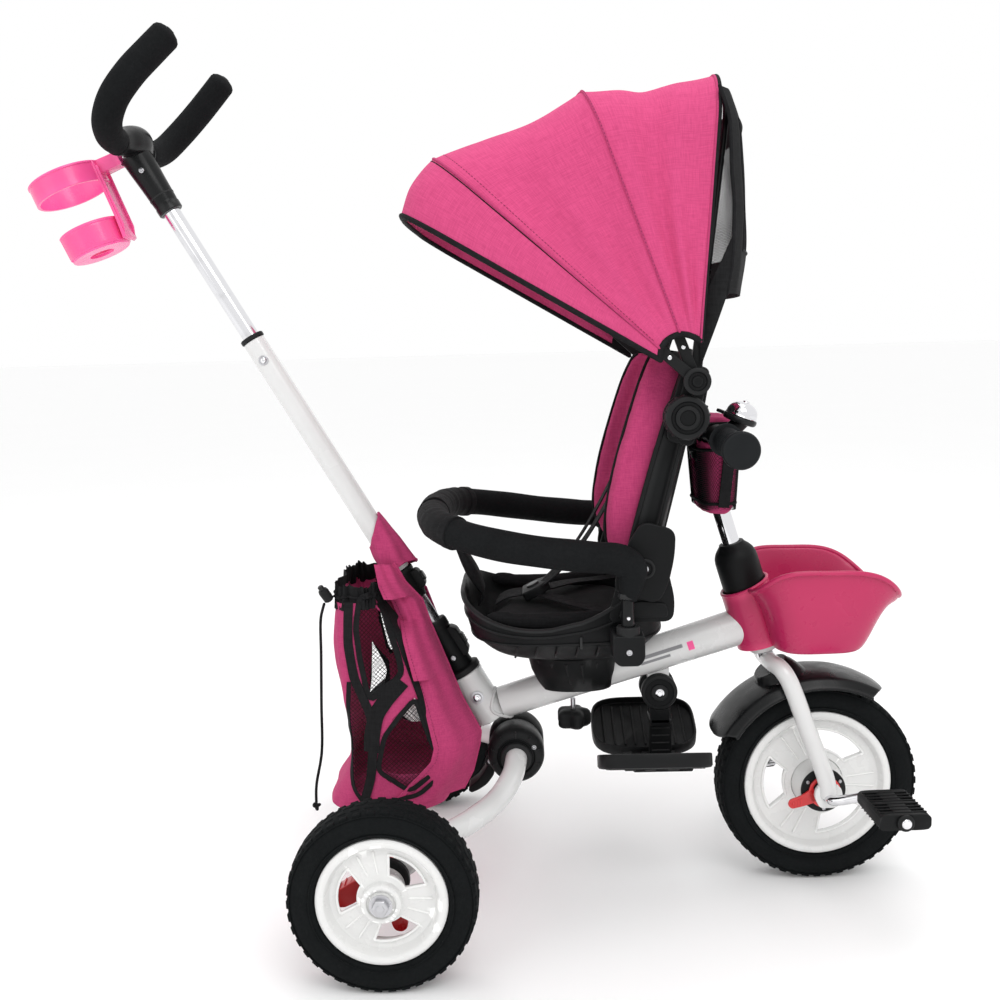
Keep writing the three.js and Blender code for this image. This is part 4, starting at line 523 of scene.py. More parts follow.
# ------------------------------------------------------------------ wheels
def tyre_piece(name, c, R, inner, w, body, turn, node, lugs):
    h = w / 2; q = (R - inner)
    prof = [(inner, -h * 0.70), (inner + q * 0.06, -h * 0.84), (inner + q * 0.3, -h * 0.965), (inner + q * 0.52, -h), (inner + q * 0.7, -h * 0.985), (R - 4.4, -h * 0.86), (R - 2.0, -h * 0.68)]
    prof += [(R - 0.9, -h * 0.5), (R - 0.2, -h * 0.30), (R, -h * 0.1)]
    prof = prof + [(r, -z) for r, z in prof[::-1]]
    o = lathe(name, prof, c, (0, 1, 0), TYRE, body, "tyre_foam", 160, turn=turn, rep=(node,), closed=True)
    # tread blocks: shoulder lugs and a staggered centre row, all inside the outer radius
    V, F = [], []; n = lugs
    def block(a, half_a, y0, y1, r0, r1, skew):
        base = len(V)
        for rr in (r0, r1):
            k = 0.82 if rr == r1 else 1.0
            for sa, sy in ((-1, 0), (1, 0), (1, 1), (-1, 1)):
                y = (y0 + y1) / 2 + (1 if sy else -1) * (y1 - y0) / 2 * k
                aa = a + sa * half_a * k + skew * (y - (y0 + y1) / 2)
                V.append(A3(c[0] + rr * math.cos(aa), c[1] + y, c[2] + rr * math.sin(aa)))
        b0 = base
        F.extend([(b0, b0 + 1, b0 + 2, b0 + 3), (b0 + 7, b0 + 6, b0 + 5, b0 + 4), (b0, b0 + 4, b0 + 5, b0 + 1), (b0 + 1, b0 + 5, b0 + 6, b0 + 2), (b0 + 2, b0 + 6, b0 + 7, b0 + 3), (b0 + 3, b0 + 7, b0 + 4, b0)])
    for k in range(n):
        a = 2 * math.pi * k / n
        for s in (-1, 1):
            ya, yb = sorted((s * h * 0.50, s * h * 0.88)); block(a + (0.5 if s > 0 else 0) * 2 * math.pi / n, 0.34 * 2 * math.pi / n, ya, yb, R - 6.5, R - 1.1, 0.0)
        block(a + 0.25 * 2 * math.pi / n, 0.36 * 2 * math.pi / n, -h * 0.40, -h * 0.04, R - 3.5, R + 0.55, 0.004)
        block(a + 0.75 * 2 * math.pi / n, 0.36 * 2 * math.pi / n, h * 0.04, h * 0.40, R - 3.5, R + 0.55, -0.004)
    make(name + "_tread", V, F, TYRE, body, "tyre_foam", turn=turn, bevel=0.35, seg=2, sharp=30)
    for s in (-1, 1):   # moulded ring lines on the sidewall
        for rr in (inner + q * 0.18, inner + q * 0.86):
            a = np.linspace(0, 2 * math.pi, 161)
            yy = s * h * (0.955 if rr < inner + q * 0.5 else 0.90)
            tube("%s_line_%d_%d" % (name, s, int(rr)), [A3(c[0] + rr * math.cos(t), c[1] + yy, c[2] + rr * math.sin(t)) for t in a], 0.85, TYRE, body, "tyre_foam", 8, turn=turn)
def spoke_rim(name, c, rimR, w, hub_r, windows, half_ang, out, body, turn, node, r0, r1, face, boss_prof, lip, back=6):
    """Three-spoke moulded wheel centre: dished disc, a deep barrel and a boss, returned with cutters for its three
    windows.
    """
    h = w * 0.36; d = (0, out, 0)
    prof = [(7.6, -h - 3), (hub_r, -h - 3), (hub_r + 1, -h), (hub_r + 3, -back + 9), (rimR - 16, -back + 8), (rimR - 13.5, -h + 1), (rimR - 1, -h - 1.5), (rimR - 0.3, -h), (rimR - 0.3, h + 1.5), (rimR - 1.4, h + 2.6), (rimR - 6, h + 3.2), (rimR - 9.5, h + 2.4), (rimR - 11.5, h - 0.4), (rimR - 14.5, face + 0.8), (rimR - 19, face - 0.6), ((rimR + hub_r) / 2, face + 1.0), (hub_r + 9, face + 2.4), (hub_r + 4, face + 5)]
    prof += boss_prof + [(7.6, boss_prof[-1][1])]
    x, y, z = basis(d)
    V, F = lathe_vf(prof + [prof[0]], c, d, 144); o = None
    o = lathe(name, prof, c, d, RIMW, body, "white_plastic", 144, closed=True)
    o.parent = None; o.matrix_world = Matrix.Identity(4)
    cuts = []
    for a0 in windows:
        pts = []
        for i in range(15):
            a = rad(a0) - half_ang + 2 * half_ang * i / 14; pts.append((r1 * math.cos(a), r1 * math.sin(a)))
        for i in range(9):
            a = rad(a0) + half_ang * 0.78 - 2 * half_ang * 0.78 * i / 8; pts.append((r0 * math.cos(a), r0 * math.sin(a)))
        pts = fillet2(pts, 5.0, 3)
        cuts.append(prism_vf(pts, np.array(c, float), A3(1, 0, 0), A3(0, 0, 1), A3(0, 1, 0), -45, 45))
    return o, cuts
def window_edge(name, c, a0, half_ang, r0, r1, y, r, body, turn, out):
    pts = []
    for i in range(17):
        a = rad(a0) - half_ang + 2 * half_ang * i / 16; pts.append((r1 * math.cos(a), r1 * math.sin(a)))
    for i in range(9):
        a = rad(a0) + half_ang * 0.78 - 2 * half_ang * 0.78 * i / 8; pts.append((r0 * math.cos(a), r0 * math.sin(a)))
    pts = fillet2(pts, 5.0, 3); pts.append(pts[0])
    P = resample([A3(c[0] + px, c[1] + out * y(math.hypot(px, pz)), c[2] + pz) for px, pz in pts], 120)
    return tube(name, P, r, RIMW, body, "white_plastic", 12, turn=turn)
def wheel(name, c, R, rimR, w, hub_r, windows, half_ang, out, body, turn, tyre_node, rim_node, r0, r1, face, boss, lugs, both=False):
    tyre_piece(name + "_tyre", c, R, rimR + 0.3, w, body, turn, tyre_node, lugs)
    o, cuts = spoke_rim(name + "_rim", c, rimR, w, hub_r, windows, half_ang, out, body, turn, rim_node, r0, r1, face, boss, True)
    boolean(o, cuts)
    if turn:
        co = np.array([v.co for v in o.data.vertices]) / S + A3(OX, 0, 0); co = (turned(co) - A3(OX, 0, 0)) * S
        o.data.vertices.foreach_set("co", co.astype(np.float32).ravel()); o.data.update()
    finish_piece(o, body, (rim_node,), bevel=0.5)
    def yf(r):
        t = (r - hub_r) / (rimR - 20 - hub_r); return face + 2.2 * (1 - min(max(t, 0), 1)) + 0.2
    for k, a0 in enumerate(windows):
        window_edge("%s_window_lip_%d" % (name, k), c, a0, half_ang, r0, r1, yf, 1.7, body, turn, out)
        mid = rad(a0 + 60); u = A3(math.cos(mid), 0, math.sin(mid)); v = A3(-math.sin(mid), 0, math.cos(mid))
        for q in (-1, 1):   # raised flutes down each spoke
            p0 = np.array(c) + u * (hub_r + 7) + v * q * 5.5; p1 = np.array(c) + u * (rimR - 20) + v * q * 9.0
            P = [p0 + (p1 - p0) * t + A3(0, out, 0) * (yf(hub_r + 7 + (rimR - 27 - hub_r) * t) + 0.1) for t in np.linspace(0, 1, 12)]
            tube("%s_flute_%d_%d" % (name, k, q), P, [1.0] + [1.5] * 10 + [1.0], RIMW, body, "white_plastic", 12, ends="round", turn=turn)
for s, n in ((-1, "right"), (1, "left")):
    wheel("rear_wheel_" + n, (0, s * 242, 105), 105, 73, 48, 21, [49, 169, 289], rad(32), s, "rear_wheel_" + n, False, "rear_tyre_" + n, "rear_rim_" + n, 27, 50.5, 7.5,
          [(22.5, 14), (22.5, 21.5), (21.5, 23.4), (18.6, 24.6), (16.5, 24.0), (15.4, 20.5), (13.6, 20.5), (12.9, 24.4)], 42)
wheel("front_wheel", (534, 0, 128), 127.9, 95, 46, 30, [60, 180, 300], rad(30), -1, "front_wheel", True, "front_tyre", "front_rim", 43, 70, 10,
      [(33, 12), (31, 28), (29, 31), (26.5, 37), (25, 38), (10, 38)], 52)
lathe("front_hub_far", [(7.6, 8), (32, 8), (30, 29), (26, 37.4), (24.6, 38), (7.6, 38)], (534, 0, 128), (0, 1, 0), RIMW, "front_wheel", "white_plastic", 72, turn=True, closed=True)
lathe("hub_disc_near", [(9.6, 38.2), (27.5, 38.2), (28.4, 39), (28.4, 41.2), (27, 42.4), (22, 43.4), (9.6, 43.6)], (534, 0, 128), (0, -1, 0), BLACK, "front_wheel", "black_plastic", 72, turn=True, closed=True)
for k in range(3):
    a = rad(30 + 120 * k); screw("hub_screw_%d" % k, (534 + 23.5 * math.cos(a), -43.4, 128 + 23.5 * math.sin(a)), (0, -1, 0), 2.3, "front_wheel", turn=True)

# ------------------------------------------------------------------ brakes
for s, n in ((-1, "right"), (1, "left")):
    def yy(a, b): return (a, b) if s > 0 else (-b, -a)
    y0, y1 = yy(181, 203); f0, f1 = yy(205.2, 209.5)
    prism("brake_pad_" + n, [(-17, 91), (-22, 105), (-40, 100), (-60, 88), (-65, 78), (-61, 69), (-52, 67.5), (-38, 74), (-28, 82)], y0, y1, REDP, "brake_" + n, "red_plastic", bevel=1.8, seg=4, round_r=5, rep=("brake_pedal_" + n,))
    for k in range(5):
        x = -58 + 7.5 * k; z = 94.2 + (105 - 88) / 38 * (x + 60) * 1.0 - 4.2
        prism("brake_rib_%s_%d" % (n, k), [(-1.1, -1.2), (1.1, -1.2), (0.7, 0.9), (-0.7, 0.9)], y0 + 3, y1 - 3, REDP, "brake_" + n, "red_plastic", c=(x, 0, z), ex=(0.91, 0, 0.41), ey=(-0.41, 0, 0.91), bevel=0.4)
    prism("brake_finger_" + n, [(-7, 86), (8, 88), (15, 72), (21, 52), (20, 42), (14, 37.5), (6, 39), (2, 46), (0, 64)], *yy(196.5, 203.5), REDP, "brake_" + n, "red_plastic", bevel=1.4, seg=3, round_r=4)
    lathe("brake_ring_" + n, [(14.6, 188), (19, 188), (20, 189), (20, 203), (19, 204), (14.6, 204)], (0, 0, 105), (0, s, 0), REDP, "brake_" + n, "red_plastic", 60, closed=True)
    lathe("brake_drum_" + n, [(14.4, 206), (25, 206), (26, 207), (26, 213.5), (24.5, 215), (14.4, 215)], (0, 0, 105), (0, s, 0), BLACK, "rear_fork", "black_plastic", 60, closed=True)

# ------------------------------------------------------------------ fork, steerer, boot
legs = [(533.5, -60, 130), (532, -60, 146), (508, -55.5, 215), (486, -51, 276), (478, -42, 289), (473, -26, 291), (472.3, 0, 291)]
legs = [A3(*p) for p in legs] + [A3(p[0], -p[1], p[2]) for p in legs[-2::-1]]
LP = spline(legs, 180)
tube("fork_tube", LP, 11, WHITE, "steering", "white_paint", 48, ends="soft", turn=True, rep=("front_fork",))
for s in (-1, 1):
    y = s * 60
    V, F = prism_vf(fillet2([(519, 141), (549, 141), (552, 128), (545, 113.5), (523, 113.5), (516, 128)], 5), A3(0, 0, 0), A3(1, 0, 0), A3(0, 0, 1), A3(0, 1, 0), y - 3.6, y + 3.6)
    o = make("dropout_%d" % s, V, F, WHITE, "steering", "white_paint", ride=False)
    cv, cf = lathe_vf([(0, -9), (7.4, -9), (7.4, 9), (0, 9)], (534, y, 128), (0, 1, 0), 40)
    cv2, cf2, _ = sweep([(534, y - 9, 128), (534, y + 9, 128)], 7.4, 40)
    boolean(o, [(cv2, cf2)])
    co = np.array([v.co for v in o.data.vertices]) / S + A3(OX, 0, 0); co = (turned(co) - A3(OX, 0, 0)) * S
    o.data.vertices.foreach_set("co", co.astype(np.float32).ravel()); o.data.update()
    finish_piece(o, "steering", bevel=0.8)
    a = np.linspace(0, 2 * math.pi, 60)
    weld("weld_dropout_%d" % s, [A3(533.3 + 12.0 * math.cos(t), y + 6.2 * math.sin(t), 139.5 + 1.2 * math.cos(2 * t)) for t in a], 1.5, "steering", turn=True)
lathe("steerer", [(0, -11), (10.4, -11), (11, -10), (11, 261), (10.4, 262), (0, 262)], STEER_P, STEER_D, CHROME, "steering", "white_paint", 48, turn=True, rep=("steerer_tube",))
bp = []
bp += [(11.4, 60.5), (24, 60.5), (26.2, 62)]
for k in range(4): zc = 66 + 4.4 * k; bp += [(26.9, zc), (27.3, zc + 1.1), (26.9, zc + 2.2), (25.9, zc + 3.3)]
bp += [(26.8, 84.5), (27.2, 90), (27.0, 124), (26.2, 129.5), (24.2, 134.5), (21, 139), (17.6, 142.6), (16.2, 144.2), (15.6, 146), (11.4, 146)]
lathe("stem_cover", bp, STEER_P, STEER_D, BLACK, "steering", "black_plastic", 80, turn=True, rep=("stem_boot",), closed=True)

# ------------------------------------------------------------------ fender
FC = A3(534, 0, 128)
def fender_point(a, v, r_add=0.0):
    k = (a - rad(56)) / rad(98); w = 40 + 5 * (1 - math.sin(min(max(k, 0), 1) * math.pi)); y = v * (w + 3.5)
    r = 148.4 - 5.2 * abs(v) ** 2.6 - 8.8 * max(0, abs(v) - 0.86) / 0.14 * 1.0 + r_add
    return A3(534 + r * math.cos(a), y, 128 + r * math.sin(a))
NA, NV = 96, 56
G = []
for i in range(NA):
    u = i / (NA - 1); row = []
    for j in range(NV):
        v = -1 + 2 * j / (NV - 1)
        a0 = rad(57.5) + rad(6.5) * (abs(v) ** 3) ; a1 = rad(153) - rad(7.0) * (abs(v) ** 3)
        row.append(fender_point(a0 + (a1 - a0) * u, v))
    G.append(row)
V, F, uv = grid_vf(G)
make("fender_shell", V, F, BGLOSS, "steering", "black_plastic", turn=True, uv=uv, solid=2.6, sharp=50, rep=("front_fender",))
for s in (-1, 1):
    P = [fender_point(a, s * 1.0, -0.8) for a in np.linspace(rad(64), rad(146), 90)]
    tube("fender_bead_%d" % s, P, 1.9, BGLOSS, "steering", "black_plastic", 14, ends="round", turn=True)
    P = [fender_point(a, s * 0.52, 0.3) for a in np.linspace(rad(66), rad(98), 40)]
    tube("fender_crease_%d" % s, P, 1.1, BGLOSS, "steering", "black_plastic", 10, ends="round", turn=True)
nk0, nk1 = A3(494, 0, 255), steer(-24); nkd = unit(nk1 - nk0); nl = np.linalg.norm(nk1 - nk0)
lathe("fender_neck", [(0, 0), (35, 0), (33, 8), (30.5, 16), (27.5, 24), (25.2, nl - 4), (24.2, nl - 1), (23, nl), (0, nl)], nk0, nkd, BGLOSS, "steering", "black_plastic", 72, turn=True)
for s in (-1, 1):
    screw("fender_screw_%d" % s, fender_point(rad(112), s * 0.62, -0.2), (math.cos(rad(112)), s * 0.12, math.sin(rad(112))), 3.6, "steering", turn=True)

# ------------------------------------------------------------------ basket
def brim(c, s): return 396 + (-18 * c * c if c > 0 else -8 * c * c) + 24 * s * s * (1 - 0.4 * c)
NB = 192
def mixr(a, b, t): return a * (1 - t) + b * t
ko = [sring(478, 572, 60, 311, NB, 0.55), sring(470, 584, 67, 318, NB, 0.5), sring(457, 604, 80, 360, NB, 0.5), sring(446, 619, 88, lambda c, s: brim(c, s) - 9, NB, 0.5), sring(441, 623, 91, lambda c, s: brim(c, s) - 3, NB, 0.5)]
def smooth_loft(keys, n):
    K = np.array(keys); out = []
    for t in np.linspace(0, len(K) - 1, n):
        i = min(int(t), len(K) - 2); f = t - i
        p0, p1, p2, p3 = K[max(i - 1, 0)], K[i], K[i + 1], K[min(i + 2, len(K) - 1)]
        m1, m2 = (p2 - p0) / 2, (p3 - p1) / 2
        out.append((2 * f ** 3 - 3 * f ** 2 + 1) * p1 + (f ** 3 - 2 * f * f + f) * m1 + (-2 * f ** 3 + 3 * f * f) * p2 + (f ** 3 - f * f) * m2)
    return out
outer = smooth_loft(ko, 26)
ctr = A3(531, 0, 0)
def inset(ring, d):
    c = ring.mean(axis=0); T = np.roll(ring, -1, 0) - np.roll(ring, 1, 0); N = np.stack([T[:, 1], -T[:, 0]], 1); N /= np.linalg.norm(N, axis=1)[:, None] + 1e-9
    r = ring.copy(); r[:, :2] -= N * d * np.sign(np.sum(N * (ring[:, :2] - c[:2]), 1))[:, None]; return r
lip = inset(outer[-1], -1.8); lip[:, 2] += 1.4
lip2 = inset(outer[-1], -1.0); lip2[:, 2] += 3.6
lip3 = inset(outer[-1], 1.2); lip3[:, 2] += 3.8
inner = [inset(r, 2.9) for r in outer]
for r in inner[:3]: r[:, 2] = np.maximum(r[:, 2], 315.0)
V, F = loft_vf(outer + [lip, lip2, lip3] + inner[::-1])
o = make("basket_shell", V, F, TUB, "steering", "basket_plastic", ride=False)
cv, cf, _ = sweep([steer(-40), steer(220)], 31.0, 64)
boolean(o, [(cv, cf)])
co = np.array([v.co for v in o.data.vertices]) / S + A3(OX, 0, 0); co = (turned(co) - A3(OX, 0, 0)) * S
o.data.vertices.foreach_set("co", co.astype(np.float32).ravel()); o.data.update()
finish_piece(o, "steering", ("front_basket",), sharp=50)
rimp = np.vstack([inset(outer[-1], 0.2), inset(outer[-1], 0.2)[:1]])
rimp[:, 2] += 1.2
ax_d = STEER_D
keep = [p for p in rimp if np.linalg.norm(np.cross(p - STEER_P, ax_d)) > 33]
idx = [i for i, p in enumerate(rimp[:-1]) if np.linalg.norm(np.cross(p - STEER_P, ax_d)) <= 33]
if idx:
    start = max(idx); seq = [rimp[(start + 1 + i) % NB] for i in range(NB - len(idx))]
else: seq = list(rimp)
tube("basket_rolled_rim", resample(np.array(seq), 300), 3.1, TUB, "steering", "basket_plastic", 20, ends="round", turn=True)
a = np.linspace(0, 2 * math.pi, 73)
x_, y_, z_ = basis(STEER_D)
V, F = [], []
tlo = (313.5 - STEER_P[2]) / STEER_D[2]
def stem_top(ang):
    d = x_ * math.cos(ang) + y_ * math.sin(ang)
    return (388 + 4 * d[0] - STEER_P[2]) / STEER_D[2]
G = [[STEER_P + STEER_D * (tlo + (stem_top(t) - tlo) * k / 8) + (x_ * math.cos(t) + y_ * math.sin(t)) * 30.2 for k in range(9)] for t in a]
V, F, uv = grid_vf(G)
make("basket_stem_wall", V, F, TUB, "steering", "basket_plastic", turn=True, uv=uv, solid=2.8)
tube("basket_stem_rim", [STEER_P + STEER_D * stem_top(t) + (x_ * math.cos(t) + y_ * math.sin(t)) * 30.2 for t in a], 2.3, TUB, "steering", "basket_plastic", 14, turn=True)
for k in range(7):   # empty loop: no flutes are made
    pass

# ------------------------------------------------------------------ handlebar, grips, bell
bar = [(391, -197, 578), (392, -150, 580), (393, -100, 584), (389, -55, 586), (386.5, 0, 584), (389, 55, 586), (393, 100, 584), (392, 150, 580), (391, 197, 578)]
BP = spline(bar, 140)
tube("handlebar_tube", BP, 10, BGLOSS, "steering", "black_plastic", 40, ends="soft", turn=True, rep=("handlebar",))
lathe("bar_clamp", [(0, 264), (14, 264), (15, 265), (15, 272), (16.2, 273.5), (16.2, 294), (15, 296), (13, 300), (9, 302), (0, 302.4)], STEER_P, STEER_D, BLACK, "steering", "black_plastic", 64, turn=True)
prism("bar_clamp_block", [(-17, -13), (17, -13), (17, 12), (10, 15.5), (-10, 15.5), (-17, 12)], -26, 26, BLACK, "steering", "black_plastic", c=(386.5, 0, 585), ex=(1, 0, 0), ey=(0, 0, 1), ez=(0, 1, 0), turn=True, bevel=2.2, seg=4, round_r=5)
for y in (-17, 17):
    screw("bar_clamp_screw_%d" % y, (386.5, y, 600.4), (0, 0, 1), 3.4, "steering", turn=True)
def follow(P, y0, y1, n):
    ys = P[:, 1]; o = np.argsort(ys); Y = np.linspace(y0, y1, n)
    return np.stack([np.interp(Y, ys[o], P[o, 0]), Y, np.interp(Y, ys[o], P[o, 2])], 1)
for s, nme in ((-1, "right"), (1, "left")):
    P = follow(BP, s * 112, s * 200, 89)
    rr = []
    for i, p in enumerate(P):
        d = abs(p[1])
        r = 15.2 + 0.7 * math.sin((d - 118) / 76 * math.pi)
        if 121 < d < 192: r += 0.75 * (abs(((d - 121) % 5.4) / 5.4 - 0.5) * 2 > 0.45) - 0.35
        if d < 113: r = 17.4
        elif d < 117.3: r = 19.2
        elif d < 118: r = 17.5
        if d > 193.5: r = 20.0
        if d > 194.5: r = 20.9
        if d > 199: r = 20.2
        rr.append(r)
    sec = [(math.cos(a), math.sin(a)) for a in np.linspace(0, 2 * math.pi, 64, endpoint=False)]
    tube("bar_grip_" + nme, P, rr, BGREY, "steering", "foam", turn=True, section=sec, ends="soft", cr=2.2, rep=("grip_" + nme,), sharp=42)
BC, BU = A3(416, -86, 605), unit((0.35, -0.1, 0.93))
tube("bell_band", follow(BP, -97, -77, 10), 13.2, BLACK, "steering", "gloss_black", 48, turn=True, ends="soft", cr=1.4, rep=("bell_base",))
tube("bell_foot", [A3(399, -86, 590), BC - BU * 8, BC - BU * 3], [7.5, 9.5, 12.5], BLACK, "steering", "gloss_black", 40, turn=True)
lathe("bell_base_plate", [(0, -4), (17.6, -4), (19.2, -3.2), (20.2, -1), (20.2, 1.4), (19.3, 3.0), (0, 3.2)], BC, BU, BGLOSS, "steering", "gloss_black", 72, turn=True)
bd = [(17.2, 3.7), (18.7, 3.7), (19.0, 4.3), (18.7, 5.0)] + [(18.3 * math.cos(t) ** 0.8 if t < 1.5 else 0, 5.6 + 14.6 * math.sin(t)) for t in np.linspace(0, 1.35, 14)]
bd += [(4.0, 20.4), (3.6, 21.5), (2.2, 22.2), (0, 22.4)]
lathe("bell_cap", bd, BC, BU, CHROME, "bell", "chrome", 80, turn=True, rep=("bell_dome",))
bx, by, bz = basis(BU)
prism("bell_thumb", [(17, -4), (30, -5.5), (33, -3), (33, 3), (30, 5.5), (17, 4)], -2.2, 1.6, BLACK, "steering", "gloss_black", c=BC, ex=tuple(bx * -0.7 + by * 0.7), ey=tuple(unit(np.cross(BU, bx * -0.7 + by * 0.7))), ez=tuple(BU), turn=True, bevel=1.2, seg=3, round_r=2)

# ------------------------------------------------------------------ cranks, pedals, clutch
DX, DZ = 49, 18
def half_crank(x, z, s):
    c = A3(534 + x, 0, 128 + z); f = A3(534, 0, 128)
    def L(p, q, t): return p + (q - p) * t
    return [A3(c[0], s * 187, c[2]), A3(c[0], s * 145, c[2]), A3(c[0], s * 118, c[2]), A3(c[0], s * 105, c[2]), L(A3(c[0], s * 98, c[2]), A3(f[0], s * 98, f[2]), 0.14), L(A3(f[0], s * 81, f[2]), A3(c[0], s * 81, c[2]), 0.16), A3(f[0], s * 74, f[2])]
CR = spline(half_crank(DX, DZ, -1) + [A3(534, -50, 128), A3(534, 0, 128), A3(534, 50, 128)] + half_crank(-DX, -DZ, 1)[::-1], 260)
tube("crank_rod", CR, 6.0, CHROME, "cranks", "chrome", 32, ends="soft", turn=True, rep=("crank_axle",))
for s in (-1, 1):
    lathe("crank_collar_%d" % s, [(6.2, 44.2), (15.4, 44.2), (16, 44.8), (16, 47.6), (14, 48.1), (9, 48.1), (9, 56), (8, 57), (6.2, 57)], (534, 0, 128), (0, s, 0), BLACK if s < 0 else CHROME, "cranks", "chrome", 56, turn=True, closed=True)
for s, n in ((-1, "right"), (1, "left")):
    cx, cz = 534 - s * DX, 128 - s * DZ
    y0, y1 = (-183, -110) if s < 0 else (110, 183)
    out = [(-30, -5), (-27, -8.6), (-20, -9.4), (20, -9.4), (27, -8.6), (30, -5), (30, 5), (27, 8.6), (20, 9.4), (-20, 9.4), (-27, 8.6), (-30, 5)]
    V, F = prism_vf(fillet2(out, 2.5, 4), A3(cx, 0, cz), A3(1, 0, 0), A3(0, 0, 1), A3(0, 1, 0), y0, y1)
    o = make("pedal_body_" + n, V, F, BLACK, "pedal_body_" + n, "black_plastic", ride=False)
    cuts = [sweep([(cx, y0 - 4, cz), (cx, y1 + 4, cz)], 6.9, 32)[:2]]
    for u0, u1 in ((-25, -10.5), (10.5, 25)):
        for q0, q1 in ((y0 + 6, (y0 + y1) / 2 - 2), ((y0 + y1) / 2 + 2, y1 - 6)):
            ol = fillet2([(u0, q0), (u1, q0), (u1, q1), (u0, q1)], 3, 4)
            cuts.append(prism_vf(ol, A3(cx, 0, cz), A3(1, 0, 0), A3(0, 1, 0), A3(0, 0, 1), -20, 20))
    boolean(o, cuts)
    co = np.array([v.co for v in o.data.vertices]) / S + A3(OX, 0, 0); co = (turned(co) - A3(OX, 0, 0)) * S
    o.data.vertices.foreach_set("co", co.astype(np.float32).ravel()); o.data.update()
    finish_piece(o, "pedal_body_" + n, ("pedal_" + n,), bevel=0.8)
    for k in range(8):
        yk = y0 + 8 + (y1 - y0 - 16) * k / 7
        for q in (-1, 1):
            prism("pedal_bar_%s_%d_%d" % (n, k, q), [(-27.5, -0.8), (27.5, -0.8), (27, 0.7), (-27, 0.7)], -0.9, 0.9, BLACK, "pedal_body_" + n, "black_plastic", c=(cx, yk, cz + q * 9.4), turn=True, bevel=0.35)
    lathe("pedal_cap_" + n, [(6.4, 0), (9.4, 0), (9.8, 0.6), (9.8, 2.6), (8, 4.0), (0, 4.4), (0, 3.8), (6.2, 3.6)], (cx, s * 183, cz), (0, s, 0), BLACK, "pedal_body_" + n, "black_plastic", 40, turn=True)
tb = fillet2([(-14, 7), (-12, -13), (-26, -17.5), (-42, -21), (-47, -16), (-45, -9), (-30, -4)], 4, 5)
prism("clutch_tab", tb, -48.4, -44.9, REDP, "clutch", "red_plastic", c=(534, 0, 128), turn=True, bevel=0.9, seg=3, rep=("clutch_knob",))
lathe("clutch_ring", [(16.6, 44.6), (19.4, 44.6), (20.2, 45.4), (20.2, 47.6), (19.2, 48.4), (16.6, 48.4)], (534, 0, 128), (0, -1, 0), REDP, "clutch", "red_plastic", 64, turn=True, closed=True)
for k in range(4):
    prism("clutch_rib_%d" % k, [(-0.8, -4.2), (0.8, -4.2), (0.8, 4.2), (-0.8, 4.2)], -0.2, 0.9, REDP, "clutch", "red_plastic", c=(534 - 30 - 3.6 * k, -48.4, 128 - 11.6 - 1.2 * k), ex=(1, 0, 0), ey=(0, 0, 1), ez=(0, -1, 0), turn=True, bevel=0.35)

# ------------------------------------------------------------------ footrest
FP = A3(332, 0, 254)
V, F = prism_vf(fillet2([(-13, 6), (13, 6), (14, 46), (-14, 46)], 2), FP - A3(0, 0, 12), A3(1, 0, 0), A3(0, 0, 1), A3(0, 1, 0), -7.6, 7.6)
o = make("footrest_lug", V, F, WHITE, "frame", "white_paint", ride=False)
boolean(o, [(mb_v, mb_f)]); finish_piece(o, "frame", ("footrest_bracket",), bevel=0.8)
lathe("footrest_eye", [(4.5, -7.9), (13, -7.9), (14, -7), (14, 7), (13, 7.9), (4.5, 7.9)], FP, (0, 1, 0), WHITE, "frame", "white_paint", 56, closed=True)
for s in (-1, 1):
    lathe("footrest_cheek_%d" % s, [(4.2, 8.7), (22, 8.7), (23, 9.7), (23, 17.6), (21.6, 19.4), (18.4, 20), (17.6, 19.0), (11.5, 18.6), (10.6, 20.2), (4.2, 20.2)], FP, (0, s, 0), BLACK, "footrest", "black_plastic", 72, closed=True, rep=("footrest_strut",) if s < 0 else ())
    screw("footrest_bolt_%d" % s, FP + A3(0, s * 19.8, 0), (0, s, 0), 6.2, "footrest", mat=CHROME)
    prism("footrest_fork_%d" % s, [(-14, -14), (14, -14), (13, -42), (-11, -42)], min(s * 8.8, s * 17), max(s * 8.8, s * 17), BLACK, "footrest", "black_plastic", c=FP, bevel=1.2, seg=3, round_r=3)
prism("footrest_yoke", [(-13, -36), (14, -36), (15, -44), (-12, -46)], -17, 17, BLACK, "footrest", "black_plastic", c=FP, bevel=1.5, seg=3, round_r=3)
prism("footrest_leg", [(-11, -40), (16, -40), (17, -94), (22, -98), (-20, -98), (-12, -92)], -5, 5, BLACK, "footrest", "black_plastic", c=FP, bevel=1.4, seg=3, round_r=4)
for k in range(4):
    prism("footrest_leg_rib_%d" % k, [(-9, -0.9), (14, -0.9), (14, 0.9), (-9, 0.9)], -5.9, 5.9, BLACK, "footrest", "black_plastic", c=FP + A3(0, 0, -52 - 10 * k), bevel=0.5)
prism("footrest_hinge_block", [(-34, -110), (44, -110), (44, -98), (38, -95.5), (-28, -95.5), (-34, -98)], -11, 11, BLACK, "footrest", "black_plastic", c=FP, bevel=1.6, seg=3, round_r=3)
TILT = rad(22)
